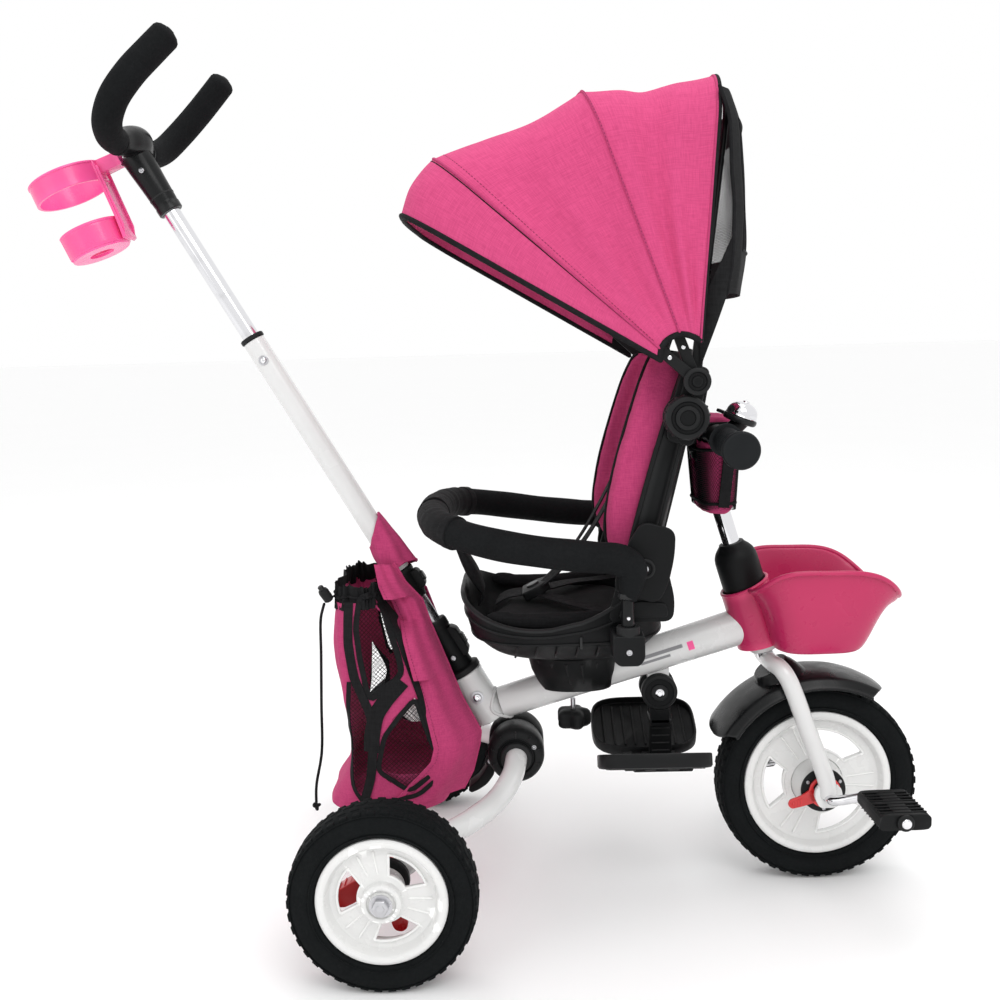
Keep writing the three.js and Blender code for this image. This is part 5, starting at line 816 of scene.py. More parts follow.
for s, n in ((-1, "right"), (1, "left")):
    def plate_pt(u, v, h): # u along x (-1..1), v 0..1 outwards, in the tilted plate frame
        y = v * 100; return A3(319 + 70 * u, s * (18.5 + y * math.cos(TILT) - h * math.sin(TILT)), 158 + y * math.sin(TILT) + h * math.cos(TILT))
    def pring(k, h, dz=0): 
        pts = []
        for i in range(96):
            t = (i + 0.5) / 96 * 2 * math.pi; c, q = math.cos(t), math.sin(t)
            pts.append(plate_pt(k * np.sign(c) * abs(c) ** 0.5, 0.5 + 0.5 * k * np.sign(q) * abs(q) ** 0.55, h))
        return np.array(pts)
    rings = [pring(0.90, -5), pring(0.97, -4.2), pring(1.0, -1.5), pring(1.0, 11), pring(0.992, 12.6), pring(0.97, 13), pring(0.955, 12), pring(0.945, 5.4), pring(0.92, 4.2)]
    V, F = loft_vf(rings)
    o = make("foot_tray_" + n, V, F, BLACK, "plate_" + n, "black_plastic", ride=False, flip=False)
    bv, bf = prism_vf([(230, 120), (420, 120), (420, 200), (230, 200)], A3(0, 0, 0), A3(1, 0, 0), A3(0, 0, 1), A3(0, 1, 0), -17.2, 17.2)
    boolean(o, [(bv, bf)]); finish_piece(o, "plate_" + n, ("foot_plate_" + n,), sharp=40)
    for k in range(9):
        u = -0.76 + 0.19 * k
        P = [plate_pt(u, v, 4.7) for v in np.linspace(0.14, 0.88, 14)]
        tube("tray_rib_%s_%d" % (n, k), P, 1.5, BLACK, "plate_" + n, "black_plastic", 10, ends="round")
    for k in range(5):
        v = 0.2 + 0.15 * k
        P = [plate_pt(u, v, -4.6) for u in np.linspace(-0.82, 0.82, 14)]
        tube("tray_under_rib_%s_%d" % (n, k), P, 1.4, BLACK, "plate_" + n, "black_plastic", 10, ends="round")
    for x in (-26, 0, 30):
        lathe("tray_knuckle_%s_%d" % (n, x), [(0, -7), (5.6, -7), (6.2, -6.4), (6.2, 6.4), (5.6, 7), (0, 7)], (319 + x, s * 20.5, 157), (1, 0, 0), BLACK, "plate_" + n, "black_plastic", 32)

# ------------------------------------------------------------------ push pole
lathe("pole_sleeve_body", [(11.4, -68), (15.6, -68), (15.9, -66), (15.9, -1), (22, 0.4), (23, 1.2), (23, 7.2), (22, 8.2), (18.6, 8.8), (17.2, 10), (17.2, 13), (16.8, 15), (16.6, 66), (17.3, 67), (17.3, 75.5), (16.2, 78.6), (11.4, 79)], POLE_P0, POLE_U, BLACK, "push_pole", "black_plastic", 72, closed=True, rep=("pole_sleeve",))
px, py, pz = basis(POLE_U)
pxx = unit(np.cross(A3(0, 1, 0), POLE_U))
if pxx[0] < 0: pxx = -pxx
def on_pole(t, n=0, y=0): return pole(t) + pxx * n + A3(0, y, 0)
prism("pole_latch_box", [(8, -21), (19, -21), (22.5, -17), (22.5, 14), (17, 21), (8, 21)], -11, 11, BLACK, "push_pole", "black_plastic", c=pole(42), ex=tuple(pxx), ey=tuple(POLE_U), ez=(0, 1, 0), bevel=1.6, seg=3, round_r=3)
prism("pole_latch_key", [(19.5, -11), (24.2, -10), (24.8, 4), (20, 10)], -7, 7, BGLOSS, "push_pole", "black_plastic", c=pole(42), ex=tuple(pxx), ey=tuple(POLE_U), ez=(0, 1, 0), bevel=1.2, seg=3, round_r=2)
for k in range(4):
    prism("pole_latch_rib_%d" % k, [(23.6, -8 + 3.4 * k), (25.4, -8 + 3.4 * k), (25.4, -6.8 + 3.4 * k), (23.6, -6.8 + 3.4 * k)], -5.5, 5.5, BGLOSS, "push_pole", "black_plastic", c=pole(42), ex=tuple(pxx), ey=tuple(POLE_U), ez=(0, 1, 0), bevel=0.35)
tube("pole_lower", [pole(t) for t in np.linspace(60, 202, 20)], 11, SILVER, "push_pole", "silver_tube", 64, rep=("pole_lower_tube",))
lathe("pole_connector_body", [(11.4, 115), (12.6, 115), (13.4, 116), (13.4, 120), (14.4, 122), (15.2, 150), (16.4, 152), (16.4, 156.6), (15.4, 157.6), (11.4, 157.6)], POLE_P0, POLE_U, BLACK, "push_pole", "black_plastic", 72, closed=True, rep=("pole_connector",))
prism("pole_connector_box", [(8, -13), (18, -13), (21, -9), (21, 9), (18, 13), (8, 13)], -10, 10, BLACK, "push_pole", "black_plastic", c=pole(137), ex=tuple(pxx), ey=tuple(POLE_U), ez=(0, 1, 0), bevel=1.6, seg=3, round_r=3)
lathe("pole_connector_button", [(0, 21), (6.8, 21), (6.8, 22.6), (5.8, 23.8), (0, 24.3)], pole(137), tuple(pxx), BGLOSS, "push_pole", "black_plastic", 40)
screw("pole_sleeve_screw", on_pole(27, 0, -16.8), (0, -1, 0), 3.6, "push_pole")
screw("pole_connector_screw", on_pole(129, 0, -14.8), (0, -1, 0), 3.0, "push_pole")
ot = [(11.3, 158), (13.4, 158), (14, 158.6), (14, 497.4), (13.4, 498), (11.3, 498)]
lathe("pole_outer", ot, POLE_P0, POLE_U, WHITE, "push_pole", "white_paint", 72, closed=True, rep=("pole_outer_tube",))
lathe("pole_top_bush", [(10.8, 494), (11.2, 494), (11.2, 498.4), (14.6, 498.4), (15.2, 499.2), (15.2, 503), (14.2, 504), (10.8, 504)], POLE_P0, POLE_U, BLACK, "push_pole", "black_plastic", 64, closed=True)
lathe("pole_button_ring", [(4.3, 13.4), (6.0, 13.4), (6.2, 14.2), (5.6, 14.7), (4.3, 14.7)], pole(470), (0, -1, 0), STEEL, "push_pole", "chrome", 48, closed=True)
lathe("pole_button_pin", [(0, 11), (3.9, 11), (3.9, 15.6), (3.0, 16.8), (1.6, 17.3), (0, 17.4)], pole(470), (0, -1, 0), CHROME, "height_lock", "chrome", 40, rep=("height_button",))
tube("pole_inner", [pole(t) for t in np.linspace(362, 690, 24)], 10.6, CHROME, "handle", "chrome", 64, rep=("pole_inner_tube",))

# ------------------------------------------------------------------ handle
lathe("handle_stem", [(10.9, 681), (14.3, 681), (15.2, 682), (15.4, 690), (14.6, 692), (15.0, 694), (16.4, 720), (18.0, 744), (18.6, 758), (14, 764), (0, 765)], POLE_P0, POLE_U, BGLOSS, "handle", "gloss_black", 72, rep=("handle_hub",))
XB = spline([(-303, -45.6, 948), (-301, -28, 950), (-297, -12, 953), (-295, 0, 954), (-297, 12, 953), (-301, 28, 950), (-303, 45.6, 948)], 80)
tube("handle_cross", XB, [14.6 + 4.6 * math.sin(t * math.pi) ** 1.4 for t in np.linspace(0, 1, 81)], BGLOSS, "handle", "gloss_black", 56, ends="soft", cr=1.0)
for s in (-1, 1):
    P = XB[:4] if s < 0 else XB[-4:]
    tube("handle_cross_ring_%d" % s, P, 16.3, BLACK, "handle", "gloss_black", 56, ends="soft", cr=0.8)
    screw("handle_screw_%d" % s, pole(736) + A3(0, s * 17.4, 0), (0, s, 0), 3.4, "handle")
lathe("handle_seam", [(15.0, 701), (15.8, 701.4), (15.9, 703), (15.2, 703.6)], POLE_P0, POLE_U, BLACK, "handle", "gloss_black", 72, closed=True)
gr = [(-303, -47, 948), (-300, -74, 951), (-292, -100, 962), (-277, -116, 982), (-255, -121, 1006), (-234, -118, 1027), (-216, -114, 1045)]
for s, n in ((-1, "right"), (1, "left")):
    P = spline([(x, -s * y, z) for x, y, z in gr], 110)
    L = np.linspace(0, 1, 111)
    rr = [16.4 - 1.2 * math.exp(-((t) / 0.03) ** 2) + 0.35 * math.sin(t * math.pi) for t in L]
    tube("handle_foam_" + n, P, rr, FOAM, "handle", "foam", 64, ends="round", cr=9, rep=("handle_grip_" + n,))
    e = P[-1]; d = unit(P[-1] - P[-3])
    lathe("handle_end_dimple_" + n, [(0, 8.4), (3.0, 8.5), (4.6, 9.2), (5.2, 8.4), (3.2, 7.2), (0, 7.2)], e, d, BLACK, "handle", "foam", 32)

# ------------------------------------------------------------------ drink holder
CC, CD = A3(-380, 0, 905), unit((-0.375, 0, 0.927)); CX = unit((0.927, 0, 0.375))
def cupat(h, x=0, y=0): return CC + CD * h + CX * x + A3(0, y, 0)
lathe("cup_ring", [(42.4, -12), (45.4, -12), (46, -11.4), (46, 9.4), (47, 10.4), (47, 12), (46, 12.8), (43.6, 12.8), (42.3, 11.6)], CC, CD, HOT, "handle", "hot_pink_plastic", 120, closed=True, rep=("cup_holder",))
lathe("cup_floor", [(15, -88), (35.2, -88), (36, -87.2), (36.4, -84.6), (34.6, -84), (16, -84), (15, -84.8)], CC, CD, HOT, "handle", "hot_pink_plastic", 120, closed=True)
ga = 0.42
aa = np.linspace(math.pi - 2.68, math.pi + 2.68, 90) + math.pi
aa = np.linspace(-2.62, 2.62, 90)
G = []
for a in aa:
    row = []
    for h in np.linspace(-85.5, -58, 8):
        r = 36.2 + 1.2 * (h + 85.5) / 27.5
        row.append(CC + CD * h + (CX * math.cos(a) + A3(0, 1, 0) * math.sin(a)) * r)
    G.append(row)
V, F, uv = grid_vf(G); make("cup_cradle", V, F, HOT, "handle", "hot_pink_plastic", uv=uv, solid=3.2, bevel=0.6)
tube("cup_cradle_lip", [CC + CD * -57.6 + (CX * math.cos(a) + A3(0, 1, 0) * math.sin(a)) * 37.6 for a in aa], 2.3, HOT, "handle", "hot_pink_plastic", 14, ends="round")
for a in (aa[0], aa[-1]):
    P = [CC + CD * h + (CX * math.cos(a) + A3(0, 1, 0) * math.sin(a)) * (36.2 + 1.2 * (h + 85.5) / 27.5) for h in np.linspace(-85, -57, 10)]
    tube("cup_cradle_edge_%d" % (a > 0), P, 2.0, HOT, "handle", "hot_pink_plastic", 14, ends="round")
prism("cup_upright", [(37.6, -86), (42.4, -84), (43.4, -60), (44, -20), (44, 11), (40.4, 11), (40.4, -20), (39.6, -60)], -20, 20, HOT, "handle", "hot_pink_plastic", c=CC, ex=tuple(CX), ey=tuple(CD), ez=(0, 1, 0), bevel=1.1, seg=3)
for y in (-17, 17):
    prism("cup_upright_flange_%d" % y, [(42, -82), (46, -70), (47, 4), (43, 6)], y - 1.5, y + 1.5, HOT, "handle", "hot_pink_plastic", c=CC, ex=tuple(CX), ey=tuple(CD), ez=(0, 1, 0), bevel=0.7)
ca, sa = math.cos(0.3), math.sin(0.3)
V, F = prism_vf(fillet2([(43, -12), (43, 12), (66, 10), (76, 12), (76, -12), (66, -10)], 3), CC + CD * 4, CX, A3(0, 1, 0), CD, -8, 8)
o = make("cup_clip_arm", V, F, HOT, "handle", "hot_pink_plastic", ride=False)
boolean(o, [sweep([pole(640), pole(800)], 20.5, 48)[:2], sweep([(-303, -50, 948), (-295, 0, 954), (-303, 50, 948)], 20, 48)[:2]])
finish_piece(o, "handle", bevel=0.8)

# ------------------------------------------------------------------ seat shell
def rim_z(x): return min(414.0, 525 - math.sqrt(max(156.0 ** 2 - (x - 178.0) ** 2, 0)))
NS = 160
SK = [(166, 286, 60, 312.6, 0.8), (140, 300, 82, 319, 0.7), (118, 312, 100, 328, 0.62), (98, 328, 128, 350, 0.55)]
def seat_rings(grow, zlift):
    keys = [sring(a + grow, b - grow, h - grow, z + zlift, NS, p) for a, b, h, z, p in SK]
    low = smooth_loft(keys, 16); out = low
    for f in np.linspace(0.12, 1, 9):
        a, b, h, p = 98 + (86 - 98) * f ** 0.6 + grow, 328 + 8 * f ** 0.6 - grow, 128 + 9 * f ** 0.6 - grow, 0.55 - 0.05 * f
        r = sring(a, b, h, 350, NS, p); z0 = 350 + zlift
        r[:, 2] = [z0 + (rim_z(x) - z0) * f for x in r[:, 0]]; out = out + [r]
    return out
so, si = seat_rings(0, 0), seat_rings(4.6, 6.5)
lipr = [inset(so[-1], -2.2), inset(so[-1], -2.6), inset(so[-1], -0.6), inset(so[-1], 2.6)]
for r, dz in zip(lipr, (-1.0, 1.8, 3.2, 3.0)): r[:, 2] += dz
V, F = loft_vf(so + lipr + si[::-1])
make("seat_bucket", V, F, BLACK, "seat", "black_plastic", rep=("seat_shell",), sharp=50)
# moulded ridge that follows the rim and a lower feature line
for f, dz, rr in ((0.62, 0, 1.7), (0.05, 0, 1.5)):
    r = sring(98 + (86 - 98) * f ** 0.6 - 0.4, 328 + 8 * f ** 0.6 + 0.4, 128 + 9 * f ** 0.6 + 0.4, 350, NS, 0.55 - 0.05 * f)
    r[:, 2] = [350 + (rim_z(x) - 350) * f for x in r[:, 0]]
    tube("seat_ridge_%d" % int(f * 100), resample(np.vstack([r, r[:1]]), 260), rr, BLACK, "seat", "black_plastic", 12)
for s in (-1, 1):
    for k in range(5):
        x = 150 + 24 * k
        P = [A3(x + 3 * t, s * (101 + 27 * math.sin(t * math.pi / 2) + 0.6), 329 + 20 * t) for t in np.linspace(0.05, 0.95, 8)]
        tube("seat_flute_%d_%d" % (s, k), P, 1.4, BLACK, "seat", "black_plastic", 10, ends="round")
    nme = "right" if s < 0 else "left"
    e0, e1 = (-137, -130.5) if s < 0 else (130.5, 137)
    prism("seat_ear_" + nme, [(258, 378), (334, 378), (336, 404), (328, 440), (318, 458), (301, 466), (285, 459), (275, 442), (264, 404)], e0, e1, BLACK, "seat", "black_plastic", bevel=1.8, seg=4, round_r=12)
    prism("seat_ear_web_" + nme, [(270, 384), (328, 384), (326, 400), (300, 404), (276, 400)], min(s * 136, s * 140.5), max(s * 136, s * 140.5), BLACK, "seat", "black_plastic", bevel=1.4, seg=3, round_r=6)
    l0, l1 = (-177, -131) if s < 0 else (131, 177)
    V, F = prism_vf(fillet2([(261, 345), (268, 337.6), (291, 337.6), (297, 346), (297, 372.6), (261, 372.6)], 4, 5), A3(0, 0, 0), A3(1, 0, 0), A3(0, 0, 1), A3(0, 1, 0), l0, l1)
    o = make("post_lug_" + nme, V, F, BLACK, "seat", "black_plastic", ride=False)
    boolean(o, [sweep([(279, s * 164, 345.5), (279, s * 164, 385)], 7.8, 36)[:2]])
    finish_piece(o, "seat", bevel=1.5, seg=3)
    lathe("post_lug_collar_" + nme, [(7.9, 370), (12.4, 370), (13.2, 371), (13.2, 380), (12.2, 381.4), (7.9, 381.4)], (279, s * 164, 0), (0, 0, 1), BLACK, "seat", "black_plastic", 48, closed=True)
    screw("post_lug_screw_" + nme, (279, s * 177, 354), (0, s, 0), 3.6, "seat")
    prism("seat_slot_" + nme, [(226, 347), (229, 347), (229, 361), (226, 361)], min(s * 128.5, s * 134.8), max(s * 128.5, s * 134.8), BGLOSS, "seat", "black_plastic", bevel=0.5)

# ------------------------------------------------------------------ soft helpers
def relax_cloth(o, pressure=3.0, cap=6.0, pins=None, frames_n=14):
    """A short seeded cloth pass that fills a closed pad out and lets it wrinkle; movement is capped."""
    co0 = np.array([v.co for v in o.data.vertices])
    if pins is not None:
        g = o.vertex_groups.new(name="pin"); g.add([int(i) for i in pins], 1.0, "REPLACE")
    m = o.modifiers.new("c", "CLOTH"); st = m.settings; st.quality = 5; st.mass = 0.15
    st.tension_stiffness = 12; st.compression_stiffness = 8; st.bending_stiffness = 0.25; st.air_damping = 2
    st.use_pressure = True; st.uniform_pressure_force = pressure; st.effector_weights.gravity = 0.0
    st.shrink_min = -0.045
    if pins is not None: st.vertex_group_mass = "pin"
    m.collision_settings.use_collision = False
    sc = bpy.context.scene; sc.frame_start, sc.frame_end = 1, frames_n
    m.point_cache.frame_start, m.point_cache.frame_end = 1, frames_n
    for f in range(1, frames_n + 1): sc.frame_set(f)
    dg = bpy.context.evaluated_depsgraph_get(); me = bpy.data.meshes.new_from_object(o.evaluated_get(dg), depsgraph=dg)
    co1 = np.array([v.co for v in me.vertices]); d = co1 - co0; ln = np.linalg.norm(d, axis=1)[:, None] + 1e-9
    co1 = co0 + d * np.minimum(1, cap * S / ln)
    if not np.isfinite(co1).all(): co1 = co0
    o.modifiers.clear(); o.data.vertices.foreach_set("co", co1.astype(np.float32).ravel()); o.data.update()
    bpy.data.meshes.remove(me); sc.frame_set(1)
    o.vertex_groups.clear()
    return o
def pad_piece(name, V, F, mat, body, slot, rep=(), voxel=4.5, pressure=3.0, cap=6.0, sub=1, wr=1.2, seed=0, fill=None):
    o = make(name, V, F, mat, body, slot, ride=False)
    m = o.modifiers.new("r", "REMESH"); m.mode = "VOXEL"; m.voxel_size = voxel * S; bake(o)
    m = o.modifiers.new("s", "SMOOTH"); m.factor = 0.5; m.iterations = 6; bake(o)
    relax_cloth(o, pressure, cap)
    me = o.data; n = np.array([v.normal for v in me.vertices]); co = np.array([v.co for v in me.vertices])
    d = np.array([noise.noise(Vector(p) * 28 + Vector((seed, 0, 0))) * 0.6 + noise.noise(Vector(p) * 75 + Vector((0, seed, 0))) * 0.3 for p in co])
    co = co + n * (d * wr * S)[:, None]
    me.vertices.foreach_set("co", co.astype(np.float32).ravel()); me.update()
    if sub:
        m = o.modifiers.new("d", "SUBSURF"); m.levels = m.render_levels = sub; bake(o)
    if not o.data.materials: o.data.materials.append(mat)
    for p in o.data.polygons: p.use_smooth = True
    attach(o, body)
    if rep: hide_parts(*rep)
    return o
def strap(name, pts, width, thick_, body, slot="black_fabric", mat=None, n=60, normal=None, rep=(), ride=True, turn=False, taper=None, stitch=False):
    """Flat webbing along pts; normal gives the face direction, as one vector or as a function of t along the strap."""
    P = spline(pts, n); T = np.gradient(P, axis=0); T /= np.linalg.norm(T, axis=1)[:, None]
    rings = []
    for i in range(n + 1):
        t = i / n; nn = np.array(normal(t), float) if callable(normal) else np.array(normal, float)
        nn = nn - T[i] * (nn @ T[i]); nn /= np.linalg.norm(nn); b = np.cross(T[i], nn)
        w = (taper(t) if taper else 1.0) * width / 2; h = thick_ / 2
        sec = [(-w, -h * 0.3), (-w + 0.5, -h), (w - 0.5, -h), (w, -h * 0.3), (w, h * 0.3), (w - 0.5, h), (-w + 0.5, h), (-w, h * 0.3)]
        rings.append([P[i] + b * x + nn * y for x, y in sec])
    V, F = loft_vf([np.array(r) for r in rings])
    return make(name, V, F, mat or WEB, body, slot, rep=rep, ride=ride, turn=turn, sharp=40)
def stitches(name, P, body, slot, N=None, pitch=4.2, length=2.6, r=0.42, mat=None, turn=False, ride=True, skip=0.0):
    """Row of thread stitches laid along P (one joined piece)."""
    P = np.asarray(P, float); d = np.r_[0, np.cumsum(np.linalg.norm(np.diff(P, axis=0), axis=1))]; V, F = [], []
    s = pitch / 2
    while s + length < d[-1]:
        a = np.array([np.interp(s, d, P[:, k]) for k in range(3)]); b = np.array([np.interp(s + length, d, P[:, k]) for k in range(3)])
        t = unit(b - a); u = unit(np.cross(t, A3(0.3, 0.5, 0.81))); w = np.cross(t, u); base = len(V)
        for c, rr in ((a, r * 0.4), (a + (b - a) * 0.25, r), (a + (b - a) * 0.75, r), (b, r * 0.4)):
            for q in range(5):
                an = 2 * math.pi * q / 5; V.append(c + (u * math.cos(an) + w * math.sin(an)) * rr)
        for k in range(3):
            for q in range(5): F.append((base + k * 5 + q, base + k * 5 + (q + 1) % 5, base + k * 5 + 5 + (q + 1) % 5, base + k * 5 + 5 + q))
        F.append(tuple(base + q for q in range(5))); F.append(tuple(base + 15 + q for q in range(5)))
        s += pitch
    return make(name, V, F, mat or THREAD, body, slot, turn=turn, ride=ride)
THREAD = webbing("dark_thread", (0.16, 0.02, 0.06))

# ------------------------------------------------------------------ seat cushion, harness
rr_ = [sring(144, 288, 78, 339, 72, 0.6), sring(124, 301, 98, 346, 72, 0.55), sring(120, 304, 104, 359, 72, 0.55), sring(130, 294, 94, 369, 72, 0.6)]
V, F = loft_vf(smooth_loft(rr_, 12))
sc_ = pad_piece("seat_pad", V, F, INNER, "seat", "black_fabric", ("seat_cushion",), 5.0, 4.0, 5.0, 1, 1.4, 3)
P = [A3(*p) for p in sring(122, 302, 101.5, 352, 160, 0.55)]
tube("seat_pad_piping", np.array(P + P[:1]), 2.0, WEB, "seat", "black_fabric", 12)
for s in (-1, 1):   # thigh bolsters inside the bucket
    rings = [np.array([A3(x, s * (110 + 7 * math.cos(a) * w), 374 + 12 * math.sin(a) * w + (x - 200) ** 2 * 0.0011) for a in np.linspace(0, 2 * math.pi, 28, endpoint=False)]) for x, w in ((118, 0.45), (130, 0.85), (160, 1), (200, 1.05), (240, 1), (262, 0.8), (270, 0.4))]
    V, F = loft_vf(rings)
    o = pad_piece("side_bolster_%d" % s, V, F, INNER, "seat", "black_fabric", (), 4.0, 3.0, 4.0, 1, 1.2, 5 + s)

# ------------------------------------------------------------------ bumper ring
rp = [(279, 164, 414), (283, 164, 430), (284, 164, 446), (272, 163, 457), (240, 162, 461), (190, 161, 467), (140, 156, 475), (98, 138, 483), (68, 104, 489), (55, 58, 491), (52, 0, 491)]
rp = [A3(*p) for p in rp] + [A3(p[0], -p[1], p[2]) for p in rp[-2::-1]]
RP = spline(rp, 260)
ee = np.minimum(np.linspace(0, 1, 261), 1 - np.linspace(0, 1, 261))
rad_ = np.where(ee < 0.045, 10.5 + 7.5 * ee / 0.045, 18.0)
rad_ = rad_ + 0.25 * np.sin(np.linspace(0, 60, 261)) * (ee > 0.05)
tube("bumper_foam", RP, rad_, FOAM, "bumper", "foam", 64, ends="soft", cr=2.0, rep=("bumper_bar",))
for s in (-1, 1):
    nme = "right" if s < 0 else "left"
    lathe("bumper_post_" + nme, [(0, 348), (6.2, 348), (7, 349), (7, 412), (9.6, 413), (11, 414.5), (11, 420), (0, 420)], (279, s * 164, 0), (0, 0, 1), BGLOSS, "bumper", "black_plastic", 48)
    lathe("bumper_post_pin_" + nme, [(0, 0), (2.4, 0), (2.4, 8.2), (1.8, 9), (0, 9.2)], (279, s * 164, 392), (0, s, 0), CHROME, "bumper", "chrome", 24)
# cloth sleeve wrapped round the front of the ring, with a lapped edge
sl = RP[[i for i in range(261) if RP[i][0] < 86]]
m_ = len(sl); sr2 = [19.2 + 0.5 * math.sin(i * 0.9) * math.sin(i * 0.23) for i in range(m_)]
tube("bumper_sleeve", sl, sr2, INNER, "bumper", "black_fabric", 64, ends="soft", cr=1.2)
for q, nm_ in ((0, "a"), (-1, "b")):
    tube("bumper_sleeve_hem_" + nm_, sl[:4] if q == 0 else sl[-4:], 20.2, WEB, "bumper", "black_fabric", 64, ends="soft", cr=1.0)
sp_ = [p + A3(-13, 0, 14.2) for p in sl[2:-2]]
tube("bumper_sleeve_seam", np.array(sp_), 1.1, WEB, "bumper", "black_fabric", 10, ends="round")
# crotch strap: loop over the ring, then down into the seat
cs = [A3(104, 0, 372), A3(110, 0, 386), A3(102, 0, 402), A3(92, 0, 424), A3(82, 0, 446), A3(76, 0, 462), A3(72.5, 0, 478), A3(68.8, 0, 500), A3(58, 0, 511), A3(43, 0, 509), A3(32.5, 0, 496), A3(33, 0, 480), A3(43, 0, 470.5), A3(57, 0, 469.5), A3(68, 0, 463), A3(76, 0, 446)]
def strap_n(t):
    i = min(int(t * 15), 14); d = cs[i + 1] - cs[i]; return unit(np.cross(d, A3(0, 1, 0)))
strap("crotch_web", cs, 34, 2.4, "bumper", rep=("crotch_strap",), n=140, normal=strap_n)
sect = [(math.sin(a), math.cos(a)) for a in np.linspace(0, 2 * math.pi, 32, endpoint=False)]
rings = []
for t in np.linspace(0, 1, 14):
    c = A3(109 - 30 * t, 0, 388 + 66 * t) ; w = 19 + 2.5 * math.sin(t * math.pi); k = 3.8 + 2.4 * math.sin(t * math.pi)
    rings.append(np.array([c + A3(0, 1, 0) * np.sign(math.cos(a)) * abs(math.cos(a)) ** 0.5 * w + unit((0.9, 0, 0.42)) * math.sin(a) * k for a in np.linspace(0, 2 * math.pi, 40, endpoint=False)]))
V, F = loft_vf(rings)
o = pad_piece("crotch_pad", V, F, INNER, "bumper", "black_fabric", (), 3.5, 2.5, 3.0, 1, 0.8, 9)

# ------------------------------------------------------------------ backrest
def sec_ring(s, n0, n1, hw, N=120, p=0.5):
    r = sring(n0, n1, hw, s, N, p); return np.array([back(a, b, c) for a, b, c in r])
BKK = [(-14, -14, 16, 124), (20, -20, 20, 129), (120, -21, 17, 129), (190, -18, 14, 126), (236, -13, 11, 112), (250, -9, 7, 96)]
# rear shell: wrapped sheet, thicker along its edge
def shell_section(s, n0, n1, hw, inner=False):
    pts = []; th = 4.4
    for i in range(61):
        t = -1 + 2 * i / 60
        a = t * 1.5708 * 1.0
        y = hw * np.sign(math.sin(a)) * abs(math.sin(a)) ** 0.5; n = n1 - (n1 - n0) * (1 - abs(math.cos(a)) ** 0.5)
        pts.append((n, y))
    P = np.array(pts); T = np.gradient(P, axis=0); T /= np.linalg.norm(T, axis=1)[:, None]; Nn = np.stack([-T[:, 1], T[:, 0]], 1)
    if Nn[30][0] > 0: Nn = -Nn
    Q = P + Nn * th
    loop = list(P) + list(Q[::-1]); return np.array([back(n, y, s) for n, y in loop])
def smooth_keys(keys, n):
    K = np.array(keys, float); out = []
    for t in np.linspace(0, len(K) - 1, n):
        i = min(int(t), len(K) - 2); f = t - i; p0, p1, p2, p3 = K[max(i - 1, 0)], K[i], K[i + 1], K[min(i + 2, len(K) - 1)]
        m1, m2 = (p2 - p0) / 2, (p3 - p1) / 2
        out.append((2 * f ** 3 - 3 * f ** 2 + 1) * p1 + (f ** 3 - 2 * f * f + f) * m1 + (-2 * f ** 3 + 3 * f * f) * p2 + (f ** 3 - f * f) * m2)
    return out
kk = smooth_keys(BKK, 34)
V, F = loft_vf([shell_section(*k) for k in kk])
make("back_shell", V, F, BLACK, "backrest", "black_plastic", rep=("backrest_shell",), sharp=46)
for s in (-1, 1):
    edge = [back(k[1] - 1.0, s * (k[3] + 0.2), k[0]) for k in kk]
    tube("back_shell_bead_%d" % s, np.array(edge), 3.0, BLACK, "backrest", "black_plastic", 16, ends="round")
    ridge = [back(k[2] - (k[2] - k[1]) * 0.34, s * (k[3] + 0.4), k[0]) for k in kk[2:-5]]
    tube("back_shell_ridge_%d" % s, np.array(ridge), 2.4, BLACK, "backrest", "black_plastic", 12, ends="round")
    ridge = [back(k[2] + 0.6, s * (k[3] * 0.55), k[0]) for k in kk[3:-5]]
    tube("back_shell_rib_%d" % s, np.array(ridge), 2.6, BLACK, "backrest", "black_plastic", 12, ends="round")
for k in range(6):
    s0 = 36 + 24 * k
    P = [back(19.0 + 0.5 - (0.012 * (s0 - 20)), y, s0) for y in np.linspace(-62, 62, 20)]
    tube("back_slat_%d" % k, P, 2.2, BLACK, "backrest", "black_plastic", 12, ends="round")
